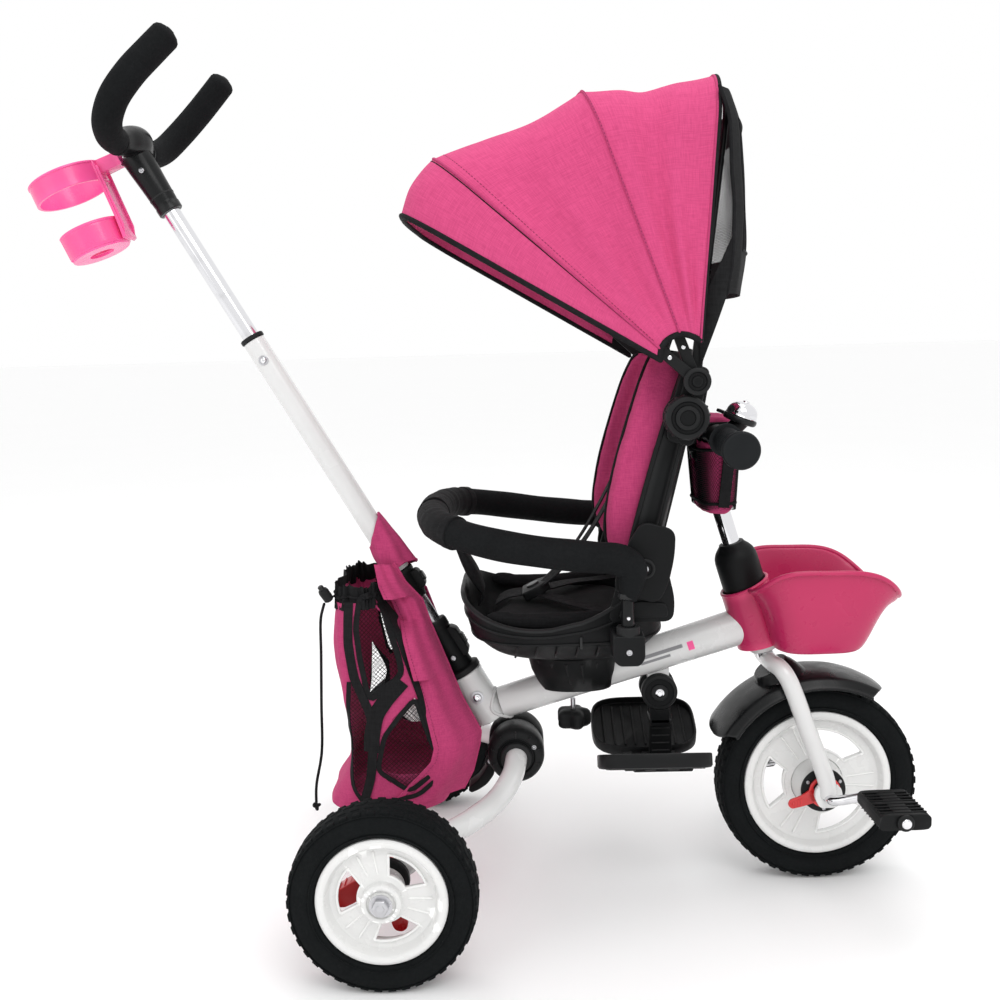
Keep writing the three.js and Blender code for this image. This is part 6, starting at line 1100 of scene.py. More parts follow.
for s in (-1, 1):
    nme = "right" if s < 0 else "left"
    lo_, hi_ = (lambda a, b: (min(s * a, s * b), max(s * a, s * b)))(127, 138)
    V, F = prism_vf(fillet2([(-15, 146), (15, 146), (18, 178), (14, 219), (8, 232), (-14, 232), (-20, 219), (-20, 178)], 8, 6), RECL, BK_N, BK_S, A3(0, 1, 0), lo_, hi_)
    make("canopy_arm_" + nme, V, F, BLACK, "backrest", "black_plastic", bevel=2.0, seg=4)
    prism("recline_cheek_" + nme, [(-27, -36), (26, -36), (31, -10), (29, 22), (22, 52), (-18, 52), (-27, 20), (-30, -10)], min(s * 141, s * 146), max(s * 141, s * 146), BLACK, "backrest", "black_plastic", c=RECL, ex=tuple(BK_N), ey=tuple(BK_S), ez=(0, 1, 0), bevel=1.8, seg=4, round_r=12)
    lathe("recline_boss_" + nme, [(6, 128), (15, 128), (15, 130), (6, 130)], RECL, (0, s, 0), BLACK, "backrest", "black_plastic", 56, closed=True)
    lathe("recline_pin_" + nme, [(0, 122), (6, 122), (6, 141), (0, 141)], RECL, (0, s, 0), BLACK, "backrest", "black_plastic", 40)
    lathe("recline_ring_" + nme, [(4.4, 145.4), (10.6, 145.4), (11.4, 146.2), (11.4, 148.4), (10, 149.2), (8.2, 149.0), (7.6, 147.4), (4.4, 147.4)], RECL, (0, s, 0), BLACK, "backrest", "black_plastic", 64, closed=True)
    screw("recline_screw_" + nme, RECL + A3(0, s * 147.6, 0), (0, s, 0), 4.2, "backrest")
    h1 = back(-2, 0, 177.3)
    lathe("hub_big_" + nme, [(0, 136), (25, 136), (25, 141), (23.5, 142), (23.5, 146), (24.6, 147), (24.6, 158), (23.2, 160.4), (18.5, 161.2), (17.2, 159.4), (14.2, 159.2), (13.4, 161.6), (9.0, 162.2), (8.2, 160.4), (0, 160.2)], h1, (0, s, 0), BLACK, "backrest", "black_plastic", 80)
    for k in range(16):
        a = 2 * math.pi * k / 16; e = BK_N * math.cos(a) + BK_S * math.sin(a)
        tube("hub_grip_%s_%d" % (nme, k), [h1 + e * 24.4 + A3(0, s * 148, 0), h1 + e * 24.4 + A3(0, s * 157, 0)], 1.5, BLACK, "backrest", "black_plastic", 10, ends="round")
    prism("hub_arm_" + nme, [(-13, 160), (12, 160), (11, 236), (-15, 236)], min(s * 138, s * 141.6), max(s * 138, s * 141.6), BLACK, "backrest", "black_plastic", c=RECL, ex=tuple(BK_N), ey=tuple(BK_S), ez=(0, 1, 0), bevel=1.4, seg=3, round_r=9)
    h2 = CAN
    lathe("canopy_pivot_" + nme, [(0, 138), (6, 138), (6, 162.6), (14, 162.6), (15, 163.4), (15, 165.4), (13.6, 166.6), (10.6, 166.8), (9.8, 165.2), (6.6, 165.2), (5.8, 167.2), (3.6, 167.4), (0, 167.2)], h2, (0, s, 0), BLACK, "backrest", "black_plastic", 72)

# padded pink liner: one quilted shape with side wings
def cush_section(s, n0, n1, hw, iw, ib):
    # wings reach forward to n0, the middle is hollowed out to ib
    out = []
    for a in np.linspace(-1, 1, 33):   # outer wrap from right wing tip round the rear to the left wing tip
        q = a * 1.5708; y = hw * np.sign(math.sin(q)) * abs(math.sin(q)) ** 0.42; n = n1 - (n1 - n0) * (1 - abs(math.cos(q)) ** 0.42); out.append((n, y))
    tipw = (hw - iw) / 2
    mid = []
    for a in np.linspace(1, -1, 33):
        q = a * 1.5708; y = iw * np.sign(math.sin(q)) * abs(math.sin(q)) ** 0.6; n = ib - (ib - (n0 + 3)) * (1 - abs(math.cos(q)) ** 0.5); mid.append((n, y))
    tip = [(n0 - 4 * math.sin(t), iw + (hw - iw) * (0.5 + 0.5 * math.cos(t))) for t in np.linspace(0.25, math.pi - 0.25, 7)]
    loop = out + tip + mid + [(n, -y) for n, y in tip[::-1]]
    return np.array([back(n, y, s) for n, y in loop])
CK = [(-6, -26, 4, 110, 84, -14), (24, -46, 8, 117, 90, -17), (70, -54, 7, 117.5, 91, -18), (120, -56, 6, 117, 90, -18), (190, -54, 3, 114, 87, -20), (224, -50, 0, 101, 78, -21), (235, -46, -4, 88, 70, -22)]
V, F = loft_vf([cush_section(*k) for k in smooth_keys(CK, 26)])
bc = pad_piece("back_pad", V, F, PINK3, "backrest", "pink_fabric", ("back_cushion",), 4.5, 3.5, 4.0, 1, 1.8, 1)
ckk = smooth_keys(CK, 60)
for s in (-1, 1):
    P = np.array([back(k[1] - 4.2, s * (k[3] + k[4]) / 2, k[0]) for k in ckk[3:-1]])
    tube("wing_piping_%d" % s, P, 2.2, WEB, "backrest", "black_fabric", 14, ends="round")
    P = np.array([back(k[1] + 16, s * (k[3] + 0.8), k[0]) for k in ckk[5:-3]])
    stitches("wing_stitch_%d" % s, P, "backrest", "black_fabric")
    # black edge band between the wing and the shell
    rings = []
    for k in ckk[2:-2]:
        c = [(k[2] - 2, k[3] - 1.0), (k[2] - 2, k[3] + 2.2), (k[1] * 0.2, k[3] + 2.6), (k[1] * 0.2, k[3] - 1.0)]
        rings.append(np.array([back(n, s * y, k[0]) for n, y in c]))
    V, F = loft_vf(rings); make("wing_band_%d" % s, V, F, INNER, "backrest", "black_fabric", bevel=0.8)
# quilting seams on the centre panel
for y in (-30, 30):
    P = np.array([back(k[5] - 0.6, y, k[0]) for k in ckk[4:-6]])
    stitches("quilt_%d" % y, P, "backrest", "black_fabric")
# harness: shoulder straps with pads, waist straps, buckle
for s in (-1, 1):
    nme = "right" if s < 0 else "left"
    pts = [back(-16, s * 34, 208), back(-27, s * 35, 200), back(-33, s * 37, 170), back(-37, s * 37, 120), back(-44, s * 33, 70), A3(236, s * 24, 452), A3(204, s * 14, 414), A3(178, s * 8, 392)]
    strap("shoulder_web_" + nme, pts, 24, 1.8, "backrest", n=90, normal=(-0.9, 0, 0.35))
    rings = []
    for t in np.linspace(0, 1, 16):
        sv = 196 - 118 * t; c = back(-31.5 - 6.5 * t, s * (36.5 + 1.2 * math.sin(t * 3)), sv); w = 21 * min(1, 0.72 + 2.4 * min(t, 1 - t)); k = 5.6 * min(1, 0.5 + 5 * min(t, 1 - t))
        rings.append(np.array([c + A3(0, 1, 0) * np.sign(math.cos(a)) * abs(math.cos(a)) ** 0.55 * w + BK_N * math.sin(a) * k for a in np.linspace(0, 2 * math.pi, 36, endpoint=False)]))
    V, F = loft_vf(rings)
    o = pad_piece("shoulder_pad_" + nme, V, F, INNER, "backrest", "black_fabric", (), 3.2, 2.5, 2.5, 1, 0.8, 20 + s)
    prism("strap_slider_" + nme, [(-15, -9), (15, -9), (15, 9), (-15, 9)], -2, 2.4, BLACK, "backrest", "black_plastic", c=back(-41.5, s * 34.5, 62), ex=(0, 1, 0), ey=tuple(BK_S), ez=tuple(-BK_N), bevel=0.9, seg=3, round_r=3)
    wp = [A3(296, s * 92, 384), A3(262, s * 88, 381), A3(222, s * 58, 384), A3(186, s * 16, 386)]
    strap("waist_web_" + nme, wp, 24, 1.8, "seat", n=60, normal=(0, 0, 1))
prism("harness_buckle", [(-22, -16), (22, -16), (24, -6), (24, 8), (14, 20), (-14, 20), (-24, 8), (-24, -6)], -6, 6, BLACK, "seat", "black_plastic", c=(176, 0, 389), ex=(0, 1, 0), ey=(0.9, 0, 0.42), ez=(-0.42, 0, 0.9), bevel=2.2, seg=4, round_r=4)
lathe("harness_button", [(0, 5.8), (8.6, 5.8), (8.6, 7.2), (7.6, 8.2), (0, 8.6)], (176, 0, 389), (-0.42, 0, 0.9), BGLOSS, "seat", "black_plastic", 48)
strap("crotch_anchor_web", [A3(126, 0, 372), A3(140, 0, 380), A3(160, 0, 384), A3(172, 0, 386)], 24, 1.8, "seat", n=30, normal=(-0.3, 0, 0.95))

# ------------------------------------------------------------------ canopy
def bow_point(a, L, hw, v, cr=62):
    e = A3(math.cos(a), 0, math.sin(a)); straight, arc, top = L - cr, cr * math.pi / 2, 2 * (hw - cr); total = 2 * straight + 2 * arc + top
    d = v * total; half_ = d <= total / 2
    if not half_: d = total - d
    if d < straight: r, y = d, hw
    elif d < straight + arc:
        q = (d - straight) / cr; r, y = straight + cr * math.sin(q), hw - cr + cr * math.cos(q)
    else:
        q = d - straight - arc; y = hw - cr - q; r = L + 8 * (1 - (y / (hw - cr)) ** 2)
    return A3(CAN[0] + e[0] * r, -y if half_ else y, CAN[2] + e[2] * r)
KEYS = [(149.5, 374, 171), (145, 380, 171.3), (139.4, 379, 170.2), (134, 370, 168.6), (130, 362.5, 168), (120, 346, 167.2), (110.5, 339, 167), (101, 332, 166.2), (93, 330, 166), (85.5, 331, 166)]
KA = np.array([k[0] for k in KEYS[::-1]]); KL = np.array([k[1] for k in KEYS[::-1]]); KH = np.array([k[2] for k in KEYS[::-1]])
def smooth_interp(x, X, Y):
    i = int(np.clip(np.searchsorted(X, x) - 1, 0, len(X) - 2)); f = (x - X[i]) / (X[i + 1] - X[i])
    m = lambda j: (Y[min(j + 1, len(Y) - 1)] - Y[max(j - 1, 0)]) / (X[min(j + 1, len(X) - 1)] - X[max(j - 1, 0)])
    h = X[i + 1] - X[i]
    return (2 * f ** 3 - 3 * f ** 2 + 1) * Y[i] + (f ** 3 - 2 * f * f + f) * h * m(i) + (-2 * f ** 3 + 3 * f * f) * Y[i + 1] + (f ** 3 - f * f) * h * m(i + 1)
A1, A2, A0 = 138.5, 110.5, 85.5
def sag(a, v):
    """Slack of the cloth between the bows: inwards, deepest on the roof and at the shoulders."""
    roof = max(0.0, math.sin(min(max((v - 0.08) / 0.84, 0), 1) * math.pi)) ** 0.7
    if a > A1: return 0.0
    if a > A2: t = (a - A2) / (A1 - A2); return 15.5 * max(0.0, math.sin(t * math.pi)) ** 0.85 * roof
    t = (a - A0) / (A2 - A0); return 11.5 * max(0.0, math.sin(t * math.pi)) ** 0.85 * roof
def folds(a, v, r):
    """Tension folds that fan out of the pivots, plus soft crumple."""
    side = min(v, 1 - v); k = 0.0
    near = max(0, 1 - side / 0.36)
    if a < A2:
        t = (a - A0) / (A2 - A0); w = math.sin(t * math.pi)
        k += 4.6 * w * math.sin(t * 13.0 + side * 9 + (0.7 if v < 0.5 else 1.9)) * math.exp(-((side - 0.24) / 0.15) ** 2)
        k += 2.0 * w * math.sin(t * 21 - side * 14) * near
    elif a < A1:
        t = (a - A2) / (A1 - A2); w = math.sin(t * math.pi)
        k += 3.6 * w * math.sin(t * 9.5 + side * 13 + (0.2 if v < 0.5 else 1.1)) * math.exp(-((side - 0.20) / 0.13) ** 2)
        k += 1.2 * w * math.sin(t * 17 - side * 7) * near
    else:
        t = (a - A1) / 11.0; w = math.sin(min(max(t, 0), 1) * math.pi * 0.8)
        k += 1.8 * w * math.sin(side * 34 + t * 2.5) * near
    p = Vector((a * 0.055, v * 5.2, 0.3)); k += 2.0 * noise.noise(p * 1.7) * (0.35 + w) + 0.8 * noise.noise(p * 5.1) * w
    return k
V0 = 0.046
def hem_v(a):
    """The lower hem: highest at the pivots, dipping towards the visor's tip."""
    return V0 + (0.012 * math.sin((a - A0) / (149.5 - A0) * math.pi))
def can_pt(a, q, extra=0.0, plain=False):
    v0 = hem_v(a); v = v0 + (1 - 2 * v0) * q
    L, hw = smooth_interp(a, KA, KL), smooth_interp(a, KA, KH)
    p = bow_point(rad(a), L, hw, v)
    d = p - A3(CAN[0], 0, CAN[2]); d[1] *= 0.8
    ax = A3(-math.sin(rad(a)), 0, math.cos(rad(a)))
    c = A3(CAN[0] + math.cos(rad(a)) * (L - 120), 0, CAN[2] + math.sin(rad(a)) * (L - 120))
    n = p - c; n = n - ax * (n @ ax)
    r_here = np.linalg.norm(p[[0, 2]] - CAN[[0, 2]])
    if r_here < L - 120: n = A3(0, np.sign(p[1]), 0)
    n = n / (np.linalg.norm(n) + 1e-9)
    amt = extra if plain else extra - sag(a, v) + folds(a, v, 0)
    edge = min(q, 1 - q); amt_s = amt if plain else extra + (amt - extra) * min(1, edge / 0.035)
    return p + n * amt_s
def can_panel(name, a0, a1, na, nq, body, slot, mat, rep=(), thick_=1.5, extra=0.0, q0=0.0, q1=1.0, plain=False):
    G = [[can_pt(a, q, extra, plain) for q in np.linspace(q0, q1, nq)] for a in np.linspace(a0, a1, na)]
    V, F, uv = grid_vf(G)
    return make(name, V, F, mat, body, slot, uv=uv, rep=rep, solid=thick_, ride=body is not None, sharp=60)
def angle_blend(o, ang_a, ang_b):
    """Bake the panel's transform into its mesh."""
    mid_r = 300
    pa = (CAN + A3(math.cos(rad(ang_a)), 0, math.sin(rad(ang_a))) * mid_r - A3(OX, 0, 0)) * S
    pb = (CAN + A3(math.cos(rad(ang_b)), 0, math.sin(rad(ang_b))) * mid_r - A3(OX, 0, 0)) * S
    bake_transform(o)
NQ = 260
can_panel("canopy_visor_cloth", 149.3, A1 + 0.25, 40, NQ, "canopy_front", "pink_fabric", PINK, rep=("canopy_visor",))
fm_ = can_panel("canopy_front_panel", A1 - 0.1, A2 + 0.15, 80, NQ, None, "pink_fabric", PINK, rep=("canopy_fabric",))
angle_blend(fm_, A2, A1)
rm_ = can_panel("canopy_rear_panel", A2 - 0.15, A0, 80, NQ, None, "pink_fabric", PINK)
angle_blend(rm_, A0, A2)
def hem_line(a0, a1, q, n, extra=0.0): return np.array([can_pt(a, q, extra) for a in np.linspace(a0, a1, n)])
def arc_line(a, n, extra=0.0, q0=0.0, q1=1.0): return np.array([can_pt(a, q, extra) for q in np.linspace(q0, q1, n)])
# raised, folded seams over the bows
tube("canopy_seam_front", arc_line(A1, 260, 1.4), 1.5, PINK3, "canopy_front", "pink_fabric", 12, ends="round")
tube("canopy_seam_front_shadow", arc_line(A1 + 0.55, 260, 0.55), 0.75, WEB, "canopy_front", "black_fabric", 8, ends="round")
tube("canopy_seam_mid", arc_line(A2, 260, 1.4), 1.5, PINK3, "canopy_mid", "pink_fabric", 12, ends="round")
tube("canopy_seam_rear", arc_line(A0 + 0.2, 260, 1.0), 1.5, PINK3, "backrest", "pink_fabric", 12, ends="round")
stitches("canopy_stitch_front", arc_line(A1 - 1.6, 420, 1.0, 0.01, 0.99), "canopy_front", "pink_fabric", r=0.36)
stitches("canopy_stitch_mid", arc_line(A2 + 0.0, 420, 2.9, 0.01, 0.99), "canopy_mid", "pink_fabric", r=0.36)
# black bindings round the hems
tube("visor_binding", np.vstack([arc_line(149.3, 300, 0.2)]), 3.0, WEB, "canopy_front", "black_fabric", 16, ends="round")
for q, nme in ((0.0, "right"), (1.0, "left")):
    tube("visor_side_binding_" + nme, hem_line(149.3, A1, q, 60), 3.0, WEB, "canopy_front", "black_fabric", 16, ends="round")
    for (aa0, aa1, ba, bb, an0, an1, tag) in ((A1, A2, "canopy_mid", "canopy_front", A2, A1, "front"), (A2, A0, "backrest", "canopy_mid", A0, A2, "rear")):
        o = tube("canopy_hem_%s_%s" % (tag, nme), hem_line(aa0, aa1, q, 80), 3.4, WEB, None, "black_fabric", 16, ends="flat", ride=False)
        angle_blend(o, an0, an1)
tube("canopy_rear_binding", arc_line(A0 - 0.3, 300, -0.4), 2.6, WEB, "backrest", "black_fabric", 16, ends="round")
# bows: round spring wire in fabric sleeves, flat plastic legs near the pivots
BOWS = (("front", A1, 366, 158.5, "canopy_front"), ("mid", A2, 326, 151, "canopy_mid"), ("rear", 83.0, 320, 143.5, "backrest"))
for nme, a, L, hw, body in BOWS:
    P = resample(np.array([bow_point(rad(a), L, hw, v) for v in np.linspace(0.018, 0.982, 160)]), 240)
    tube("canopy_hoop_" + nme, P, 3.3, BGLOSS, body, "gloss_black", 20, ends="round", rep=("bow_" + nme,))
    for s in (-1, 1):
        e = A3(math.cos(rad(a)), 0, math.sin(rad(a))); nn = A3(-e[2], 0, e[0])
        prism("bow_leg_%s_%d" % (nme, s), [(10, -6.5), (112, -4.6), (116, 0), (112, 4.6), (10, 6.5)], s * hw - 3.8, s * hw + 3.8, BLACK, body, "black_plastic", c=CAN, ex=tuple(e), ey=tuple(nn), ez=(0, 1, 0), bevel=1.2, seg=3)
        lathe("bow_eye_%s_%d" % (nme, s), [(6.6, -3), (11.4, -3), (12.2, -2.2), (12.2, 2.2), (11.4, 3), (6.6, 3)], CAN + A3(0, s * hw, 0), (0, 1, 0), BLACK, body, "gloss_black", 56, closed=True)
        if nme != "rear":
            screw("bow_rivet_%s_%d" % (nme, s), CAN + A3(0, s * (hw + 3.8), 0) + e * 40, (0, s, 0), 2.6, body, mat=CHROME)
# lining strips hung inside along the hem of the front panel
for q, nme in ((0.0, "right"), (1.0, "left")):
    s = -1 if q == 0 else 1
    G = [[can_pt(a, q + (1 if q == 0 else -1) * w, -3.2) + A3(0, 0, 0) for w in np.linspace(0.0, 0.03, 5)] for a in np.linspace(149.0, A1, 30)]
    V, F, uv = grid_vf(G); make("visor_facing_" + nme, V, F, INNER, "canopy_front", "black_fabric", uv=uv, solid=1.2)
# rear curtain: black border and a net window
CUR = [(962, 166, 417), (940, 165, 425), (925, 164, 428), (850, 161, 433), (790, 157, 433), (748, 150, 428)]
cz = np.array([c[0] for c in CUR[::-1]], float); chw = np.array([c[1] for c in CUR[::-1]], float); cx_ = np.array([c[2] for c in CUR[::-1]], float)
def cur_pt(u, q, off=0.0):
    z = 748 + (962 - 748) * u; hw, xc = smooth_interp(z, cz, chw), smooth_interp(z, cz, cx_)
    y = hw * np.sign(q) * min(1, abs(q) * 1.22) if abs(q) < 0.8 else hw * np.sign(q); fx = max(0, (abs(q) - 0.82) / 0.18)
    y = hw * math.sin(q * math.pi / 2) ; y = hw * q
    x = xc - 30 * (y / hw) ** 2 - 6 * max(0, (abs(q) - 0.9) / 0.1) + 1.6 * noise.noise(Vector((u * 4, q * 3, 0)))
    return A3(x + off, y, z)
def cur_piece(name, u0, u1, q0, q1, nu, nq, mat, slot, thick_, rep=()):
    G = [[cur_pt(u, q) for q in np.linspace(q0, q1, nq)] for u in np.linspace(u0, u1, nu)]
    V, F, uv = grid_vf(G); return make(name, V, F, mat, "backrest", slot, uv=uv, solid=thick_, rep=rep)
cur_piece("curtain_top", 0.86, 1.0, -1, 1, 12, 90, INNER, "black_fabric", 1.4, ("canopy_curtain",))
cur_piece("curtain_bottom", 0.0, 0.22, -1, 1, 14, 90, INNER, "black_fabric", 1.4)
for s in (-1, 1): cur_piece("curtain_side_%d" % s, 0.2, 0.88, min(s * 0.86, s), max(s * 0.86, s), 40, 12, INNER, "black_fabric", 1.4)
def net(name, pt, u0, u1, v0, v1, nu, nv, wire, body, inside=None, turn=False, mat=None):
    """Knotted net as real strands: a diamond grid made with the wireframe modifier."""
    V, F = [], []; idx = {}
    def vid(i, j):
        if (i, j) not in idx:
            idx[(i, j)] = len(V); V.append(pt(u0 + (u1 - u0) * i / nu, v0 + (v1 - v0) * j / nv))
        return idx[(i, j)]
    for i in range(0, nu - 1):
        for j in range(0, nv - 1):
            if (i + j) % 2: continue
            if i + 2 > nu or j + 2 > nv: continue
            c = [(i + 1, j), (i + 2, j + 1), (i + 1, j + 2), (i, j + 1)]
            if inside:
                m = (u0 + (u1 - u0) * (i + 1) / nu, v0 + (v1 - v0) * (j + 1) / nv)
                if not inside(*m): continue
            F.append([vid(*k) for k in c])
    v = np.asarray(V, float)
    if turn: v = turned(v)
    v = (v - A3(OX, 0, 0)) * S
    me = bpy.data.meshes.new(name); me.from_pydata([tuple(p) for p in v], [], F); me.update()
    o = bpy.data.objects.new(name, me); bpy.context.scene.collection.objects.link(o); me.materials.append(mat or NET)
    m = o.modifiers.new("w", "WIREFRAME"); m.thickness = wire * S; m.use_even_offset = False; m.use_replace = True; m.offset = 0; bake(o)
    for p in o.data.polygons: p.use_smooth = True
    if body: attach(o, body)
    return o
net("curtain_net", cur_pt, 0.2, 0.88, -0.87, 0.87, 74, 140, 0.75, "backrest")
for u in (0.22, 0.86):
    tube("curtain_bind_%d" % int(u * 100), np.array([cur_pt(u, q, 0.4) for q in np.linspace(-0.87, 0.87, 100)]), 1.8, WEB, "backrest", "black_fabric", 10, ends="round")
for s in (-1, 1):
    tube("curtain_bind_side_%d" % s, np.array([cur_pt(u, s * 0.86, 0.4) for u in np.linspace(0.22, 0.86, 60)]), 1.8, WEB, "backrest", "black_fabric", 10, ends="round")
    tube("curtain_edge_%d" % s, np.array([cur_pt(u, s * 1.0) for u in np.linspace(0, 1, 70)]), 2.2, WEB, "backrest", "black_fabric", 12, ends="round")
    # black panel from the curtain's edge forward to the canopy arm
    G = []
    for u in np.linspace(0, 1, 24):
        a_, b_ = cur_pt(0.30 * u, s * 1.0), CAN + A3(6 - 4 * u, s * 150, 16 + 60 * u)
        G.append([a_ + (b_ - a_) * t + A3(0, s * 3.0 * math.sin(t * math.pi), 0) for t in np.linspace(0, 1, 14)])
    V, F, uv = grid_vf(G); make("curtain_gusset_%d" % s, V, F, INNER, "backrest", "black_fabric", uv=uv, solid=1.4)

# ------------------------------------------------------------------ pouch behind the steering stem
pk = [sring(387, 414, 44, 486, 96, 0.5), sring(381, 424, 52, 500, 96, 0.5), sring(377, 428, 56, 560, 96, 0.5), sring(374, 424, 57, 598, 96, 0.5), sring(379, 418, 52, 606, 96, 0.6)]
V, F = loft_vf([inset(r, 1.6) for r in smooth_loft(pk, 22)])
o = make("pouch_body", V, F, PINK3, "steering", "pink_fabric", ride=False)
boolean(o, [sweep([steer(150), steer(256)], 13, 40)[:2], sweep([steer(254), steer(306)], 17.2, 40)[:2], sweep(BP, 11.8, 32)[:2]])
m = o.modifiers.new("r", "REMESH"); m.mode = "VOXEL"; m.voxel_size = 0.0026; bake(o)
m = o.modifiers.new("s", "SMOOTH"); m.factor = 0.5; m.iterations = 5; bake(o)
me = o.data; n_ = np.array([v.normal for v in me.vertices]); co = np.array([v.co for v in me.vertices])
d_ = np.array([noise.noise(Vector(p) * 30) * 0.7 + noise.noise(Vector(p) * 80) * 0.35 for p in co]); co = co + n_ * (d_ * 2.0 * S)[:, None]
co = (turned(co / S + A3(OX, 0, 0)) - A3(OX, 0, 0)) * S
me.vertices.foreach_set("co", co.astype(np.float32).ravel()); me.update(); finish_piece(o, "steering", ("bar_pouch",), sharp=70)
if not o.data.materials: o.data.materials.append(PINK3)
for z, xa, xb, hw in ((598, 374.5, 424, 57), (500, 381, 424, 52)):
    r = sring(xa, xb, hw, z, 120, 0.5); tube("pouch_binding_%d" % z, np.vstack([r, r[:1]]), 1.9, WEB, "steering", "black_fabric", 12, turn=True)
def pouch_side(u, v, s=-1):   # lower front and side mesh pocket
    z = 492 + 74 * u; xa, xb, hw = 377.5 + 6 * (1 - u), 427.5 - 5 * (1 - u), 55.5 - 4 * (1 - u)
    t = v; c, q = math.cos(t), math.sin(t)
    return A3((xa + xb) / 2 + (xb - xa + 3.2) / 2 * np.sign(c) * abs(c) ** 0.5, (hw + 1.4) * np.sign(q) * abs(q) ** 0.5, z)
net("pouch_net", pouch_side, 0, 1, -math.pi * 0.999, math.pi * 0.999, 30, 150, 0.7, "steering", turn=True)
tube("pouch_net_binding", np.array([pouch_side(1.0, t) for t in np.linspace(-math.pi, math.pi, 160)]), 1.8, WEB, "steering", "black_fabric", 12, turn=True)
for s in (-1, 1):
    strap("pouch_loop_%d" % s, [A3(404, s * 40, 596), A3(402, s * 40, 599), A3(390, s * 40, 599.5), A3(377, s * 40, 592), A3(374.5, s * 40, 580)], 22, 1.6, "steering", n=30, normal=lambda t: unit((math.sin(1.2 - 2.4 * t), 0, 1)), turn=True)
    strap("pouch_web_%d" % s, [A3(412, s * 58.0, 592), A3(410, s * 59.2, 560), A3(406, s * 57.6, 520), A3(404, s * 54.6, 496)], 14, 1.6, "steering", n=30, normal=(0, s, 0), turn=True)

# ------------------------------------------------------------------ storage bag
BAGK = [(128, -86, 50, 83), (136, -92, 62, 91), (170, -72, 76, 99), (205, -60, 82, 103), (240, -62, 62, 101), (275, -70, 44, 99), (310, -75, 34, 95), (340, -77, 26, 91), (370, -75, 4, 86), (394, -73, -18, 81)]
BZ = np.array([k[0] for k in BAGK], float)
def bag_ring_pt(z, a, off=0.0, rough=1.0):
    x0, x1, hw = (smooth_interp(min(max(z, 128), 394), BZ, np.array([k[i] for k in BAGK], float)) for i in (1, 2, 3))
    c, s = math.cos(a), math.sin(a)
    p = A3((x0 + x1) / 2 + (x1 - x0) / 2 * np.sign(c) * abs(c) ** 0.55, hw * np.sign(s) * abs(s) ** 0.55, z)
    n = A3(np.sign(c) * abs(c) ** 1.4, np.sign(s) * abs(s) ** 1.4, 0); n /= np.linalg.norm(n) + 1e-9
    h = (z - 128) / 266
    f = 2.6 * math.sin(a * 9 + h * 5 + 1.5 * math.sin(h * 6)) * (0.25 + 0.75 * h) * (0.6 + 0.4 * math.sin(h * 9 + a * 2))
    f += 3.2 * noise.noise(Vector((p[0] * 0.018, p[1] * 0.018, z * 0.011))) + 1.5 * noise.noise(Vector((p[0] * 0.05 + 3, p[1] * 0.05, z * 0.035)))
    p = p + n * (f * rough - 1.0 + off)
    # keep clear of the pole
    t = (p - POLE_P0) @ POLE_U; q = POLE_P0 + POLE_U * t; d = p - q; r = np.linalg.norm(d)
    if r < 27.5 and t > -110: p = q + d / (r + 1e-9) * 27.5
    return p
UP = [(-37, 401), (-19, 404), (-5, 371), (9, 328), (12, 307), (-11, 293), (-25, 279), (-31, 291), (-38, 329), (-42, 366)]
LOW = [(-21, 190), (-11, 234), (8, 259), (27, 278), (33, 259), (44, 227), (58, 195), (17, 162)]
LEFT = [(-50, 300), (-27, 270), (-27, 228), (-31, 177), (-41, 152), (-52, 165), (-54, 229)]
def inside_poly(x, z, poly):
    c = False; n = len(poly)
    for i in range(n):
        x1, z1 = poly[i]; x2, z2 = poly[(i + 1) % n]
        if (z1 > z) != (z2 > z) and x < (x2 - x1) * (z - z1) / (z2 - z1) + x1: c = not c
    return c
NZ, NA_ = 120, 300
G = [[bag_ring_pt(z, 2 * math.pi * j / NA_) for j in range(NA_)] for z in np.linspace(128, 394, NZ)]
V = [p for r in G for p in r]; F = []
for i in range(NZ - 1):
    for j in range(NA_):
        k = (j + 1) % NA_; q = [G[i][j], G[i][k], G[i + 1][k], G[i + 1][j]]; m = sum(q) / 4
        if abs(m[1]) > 70 and (inside_poly(m[0], m[2], UP) or inside_poly(m[0], m[2], LOW) or inside_poly(m[0], m[2], LEFT)): continue
        F.append((i * NA_ + j, i * NA_ + k, (i + 1) * NA_ + k, (i + 1) * NA_ + j))
base = len(V); c0 = A3(np.mean([p[0] for p in G[0]]), 0, 129.5); V.append(c0)
rings_in = []
for f in (0.97, 0.8, 0.5):
    rings_in.append(len(V)); V += [c0 + (p - c0) * f + A3(0, 0, -0.6 if f > 0.9 else 1.0) for p in G[0]]
prev = 0
for b_ in rings_in:
    for j in range(NA_): F.append((prev + j, prev + (j + 1) % NA_, b_ + (j + 1) % NA_, b_ + j))
    prev = b_
for j in range(NA_): F.append((prev + j, prev + (j + 1) % NA_, base))
make("bag_shell", V, F, PINK3, "frame", "pink_fabric", solid=1.3, rep=("storage_bag",), sharp=70)
def side_surface(s, off=0.0):
    """x, z -> point on the bag's side."""
    def f(x, z):
        lo_a, hi_a = (math.pi, 1.5 * math.pi) if s < 0 else (0.5 * math.pi, math.pi)
        best = None
        x0, x1, hw = (smooth_interp(min(max(z, 128), 394), BZ, np.array([k[i] for k in BAGK], float)) for i in (1, 2, 3))
        c = (x - (x0 + x1) / 2) / ((x1 - x0) / 2); c = max(-0.97, min(0.97, c)); ca = np.sign(c) * abs(c) ** (1 / 0.55); a = math.acos(max(-1, min(1, ca)))
        a = -a if s < 0 else a
        p = bag_ring_pt(min(z, 394), a % (2 * math.pi), off); p[2] = z; return p
    return f
def dens(poly, n, closed=True):
    P = np.array(poly + ([poly[0]] if closed else []), float); return resample(P, n)
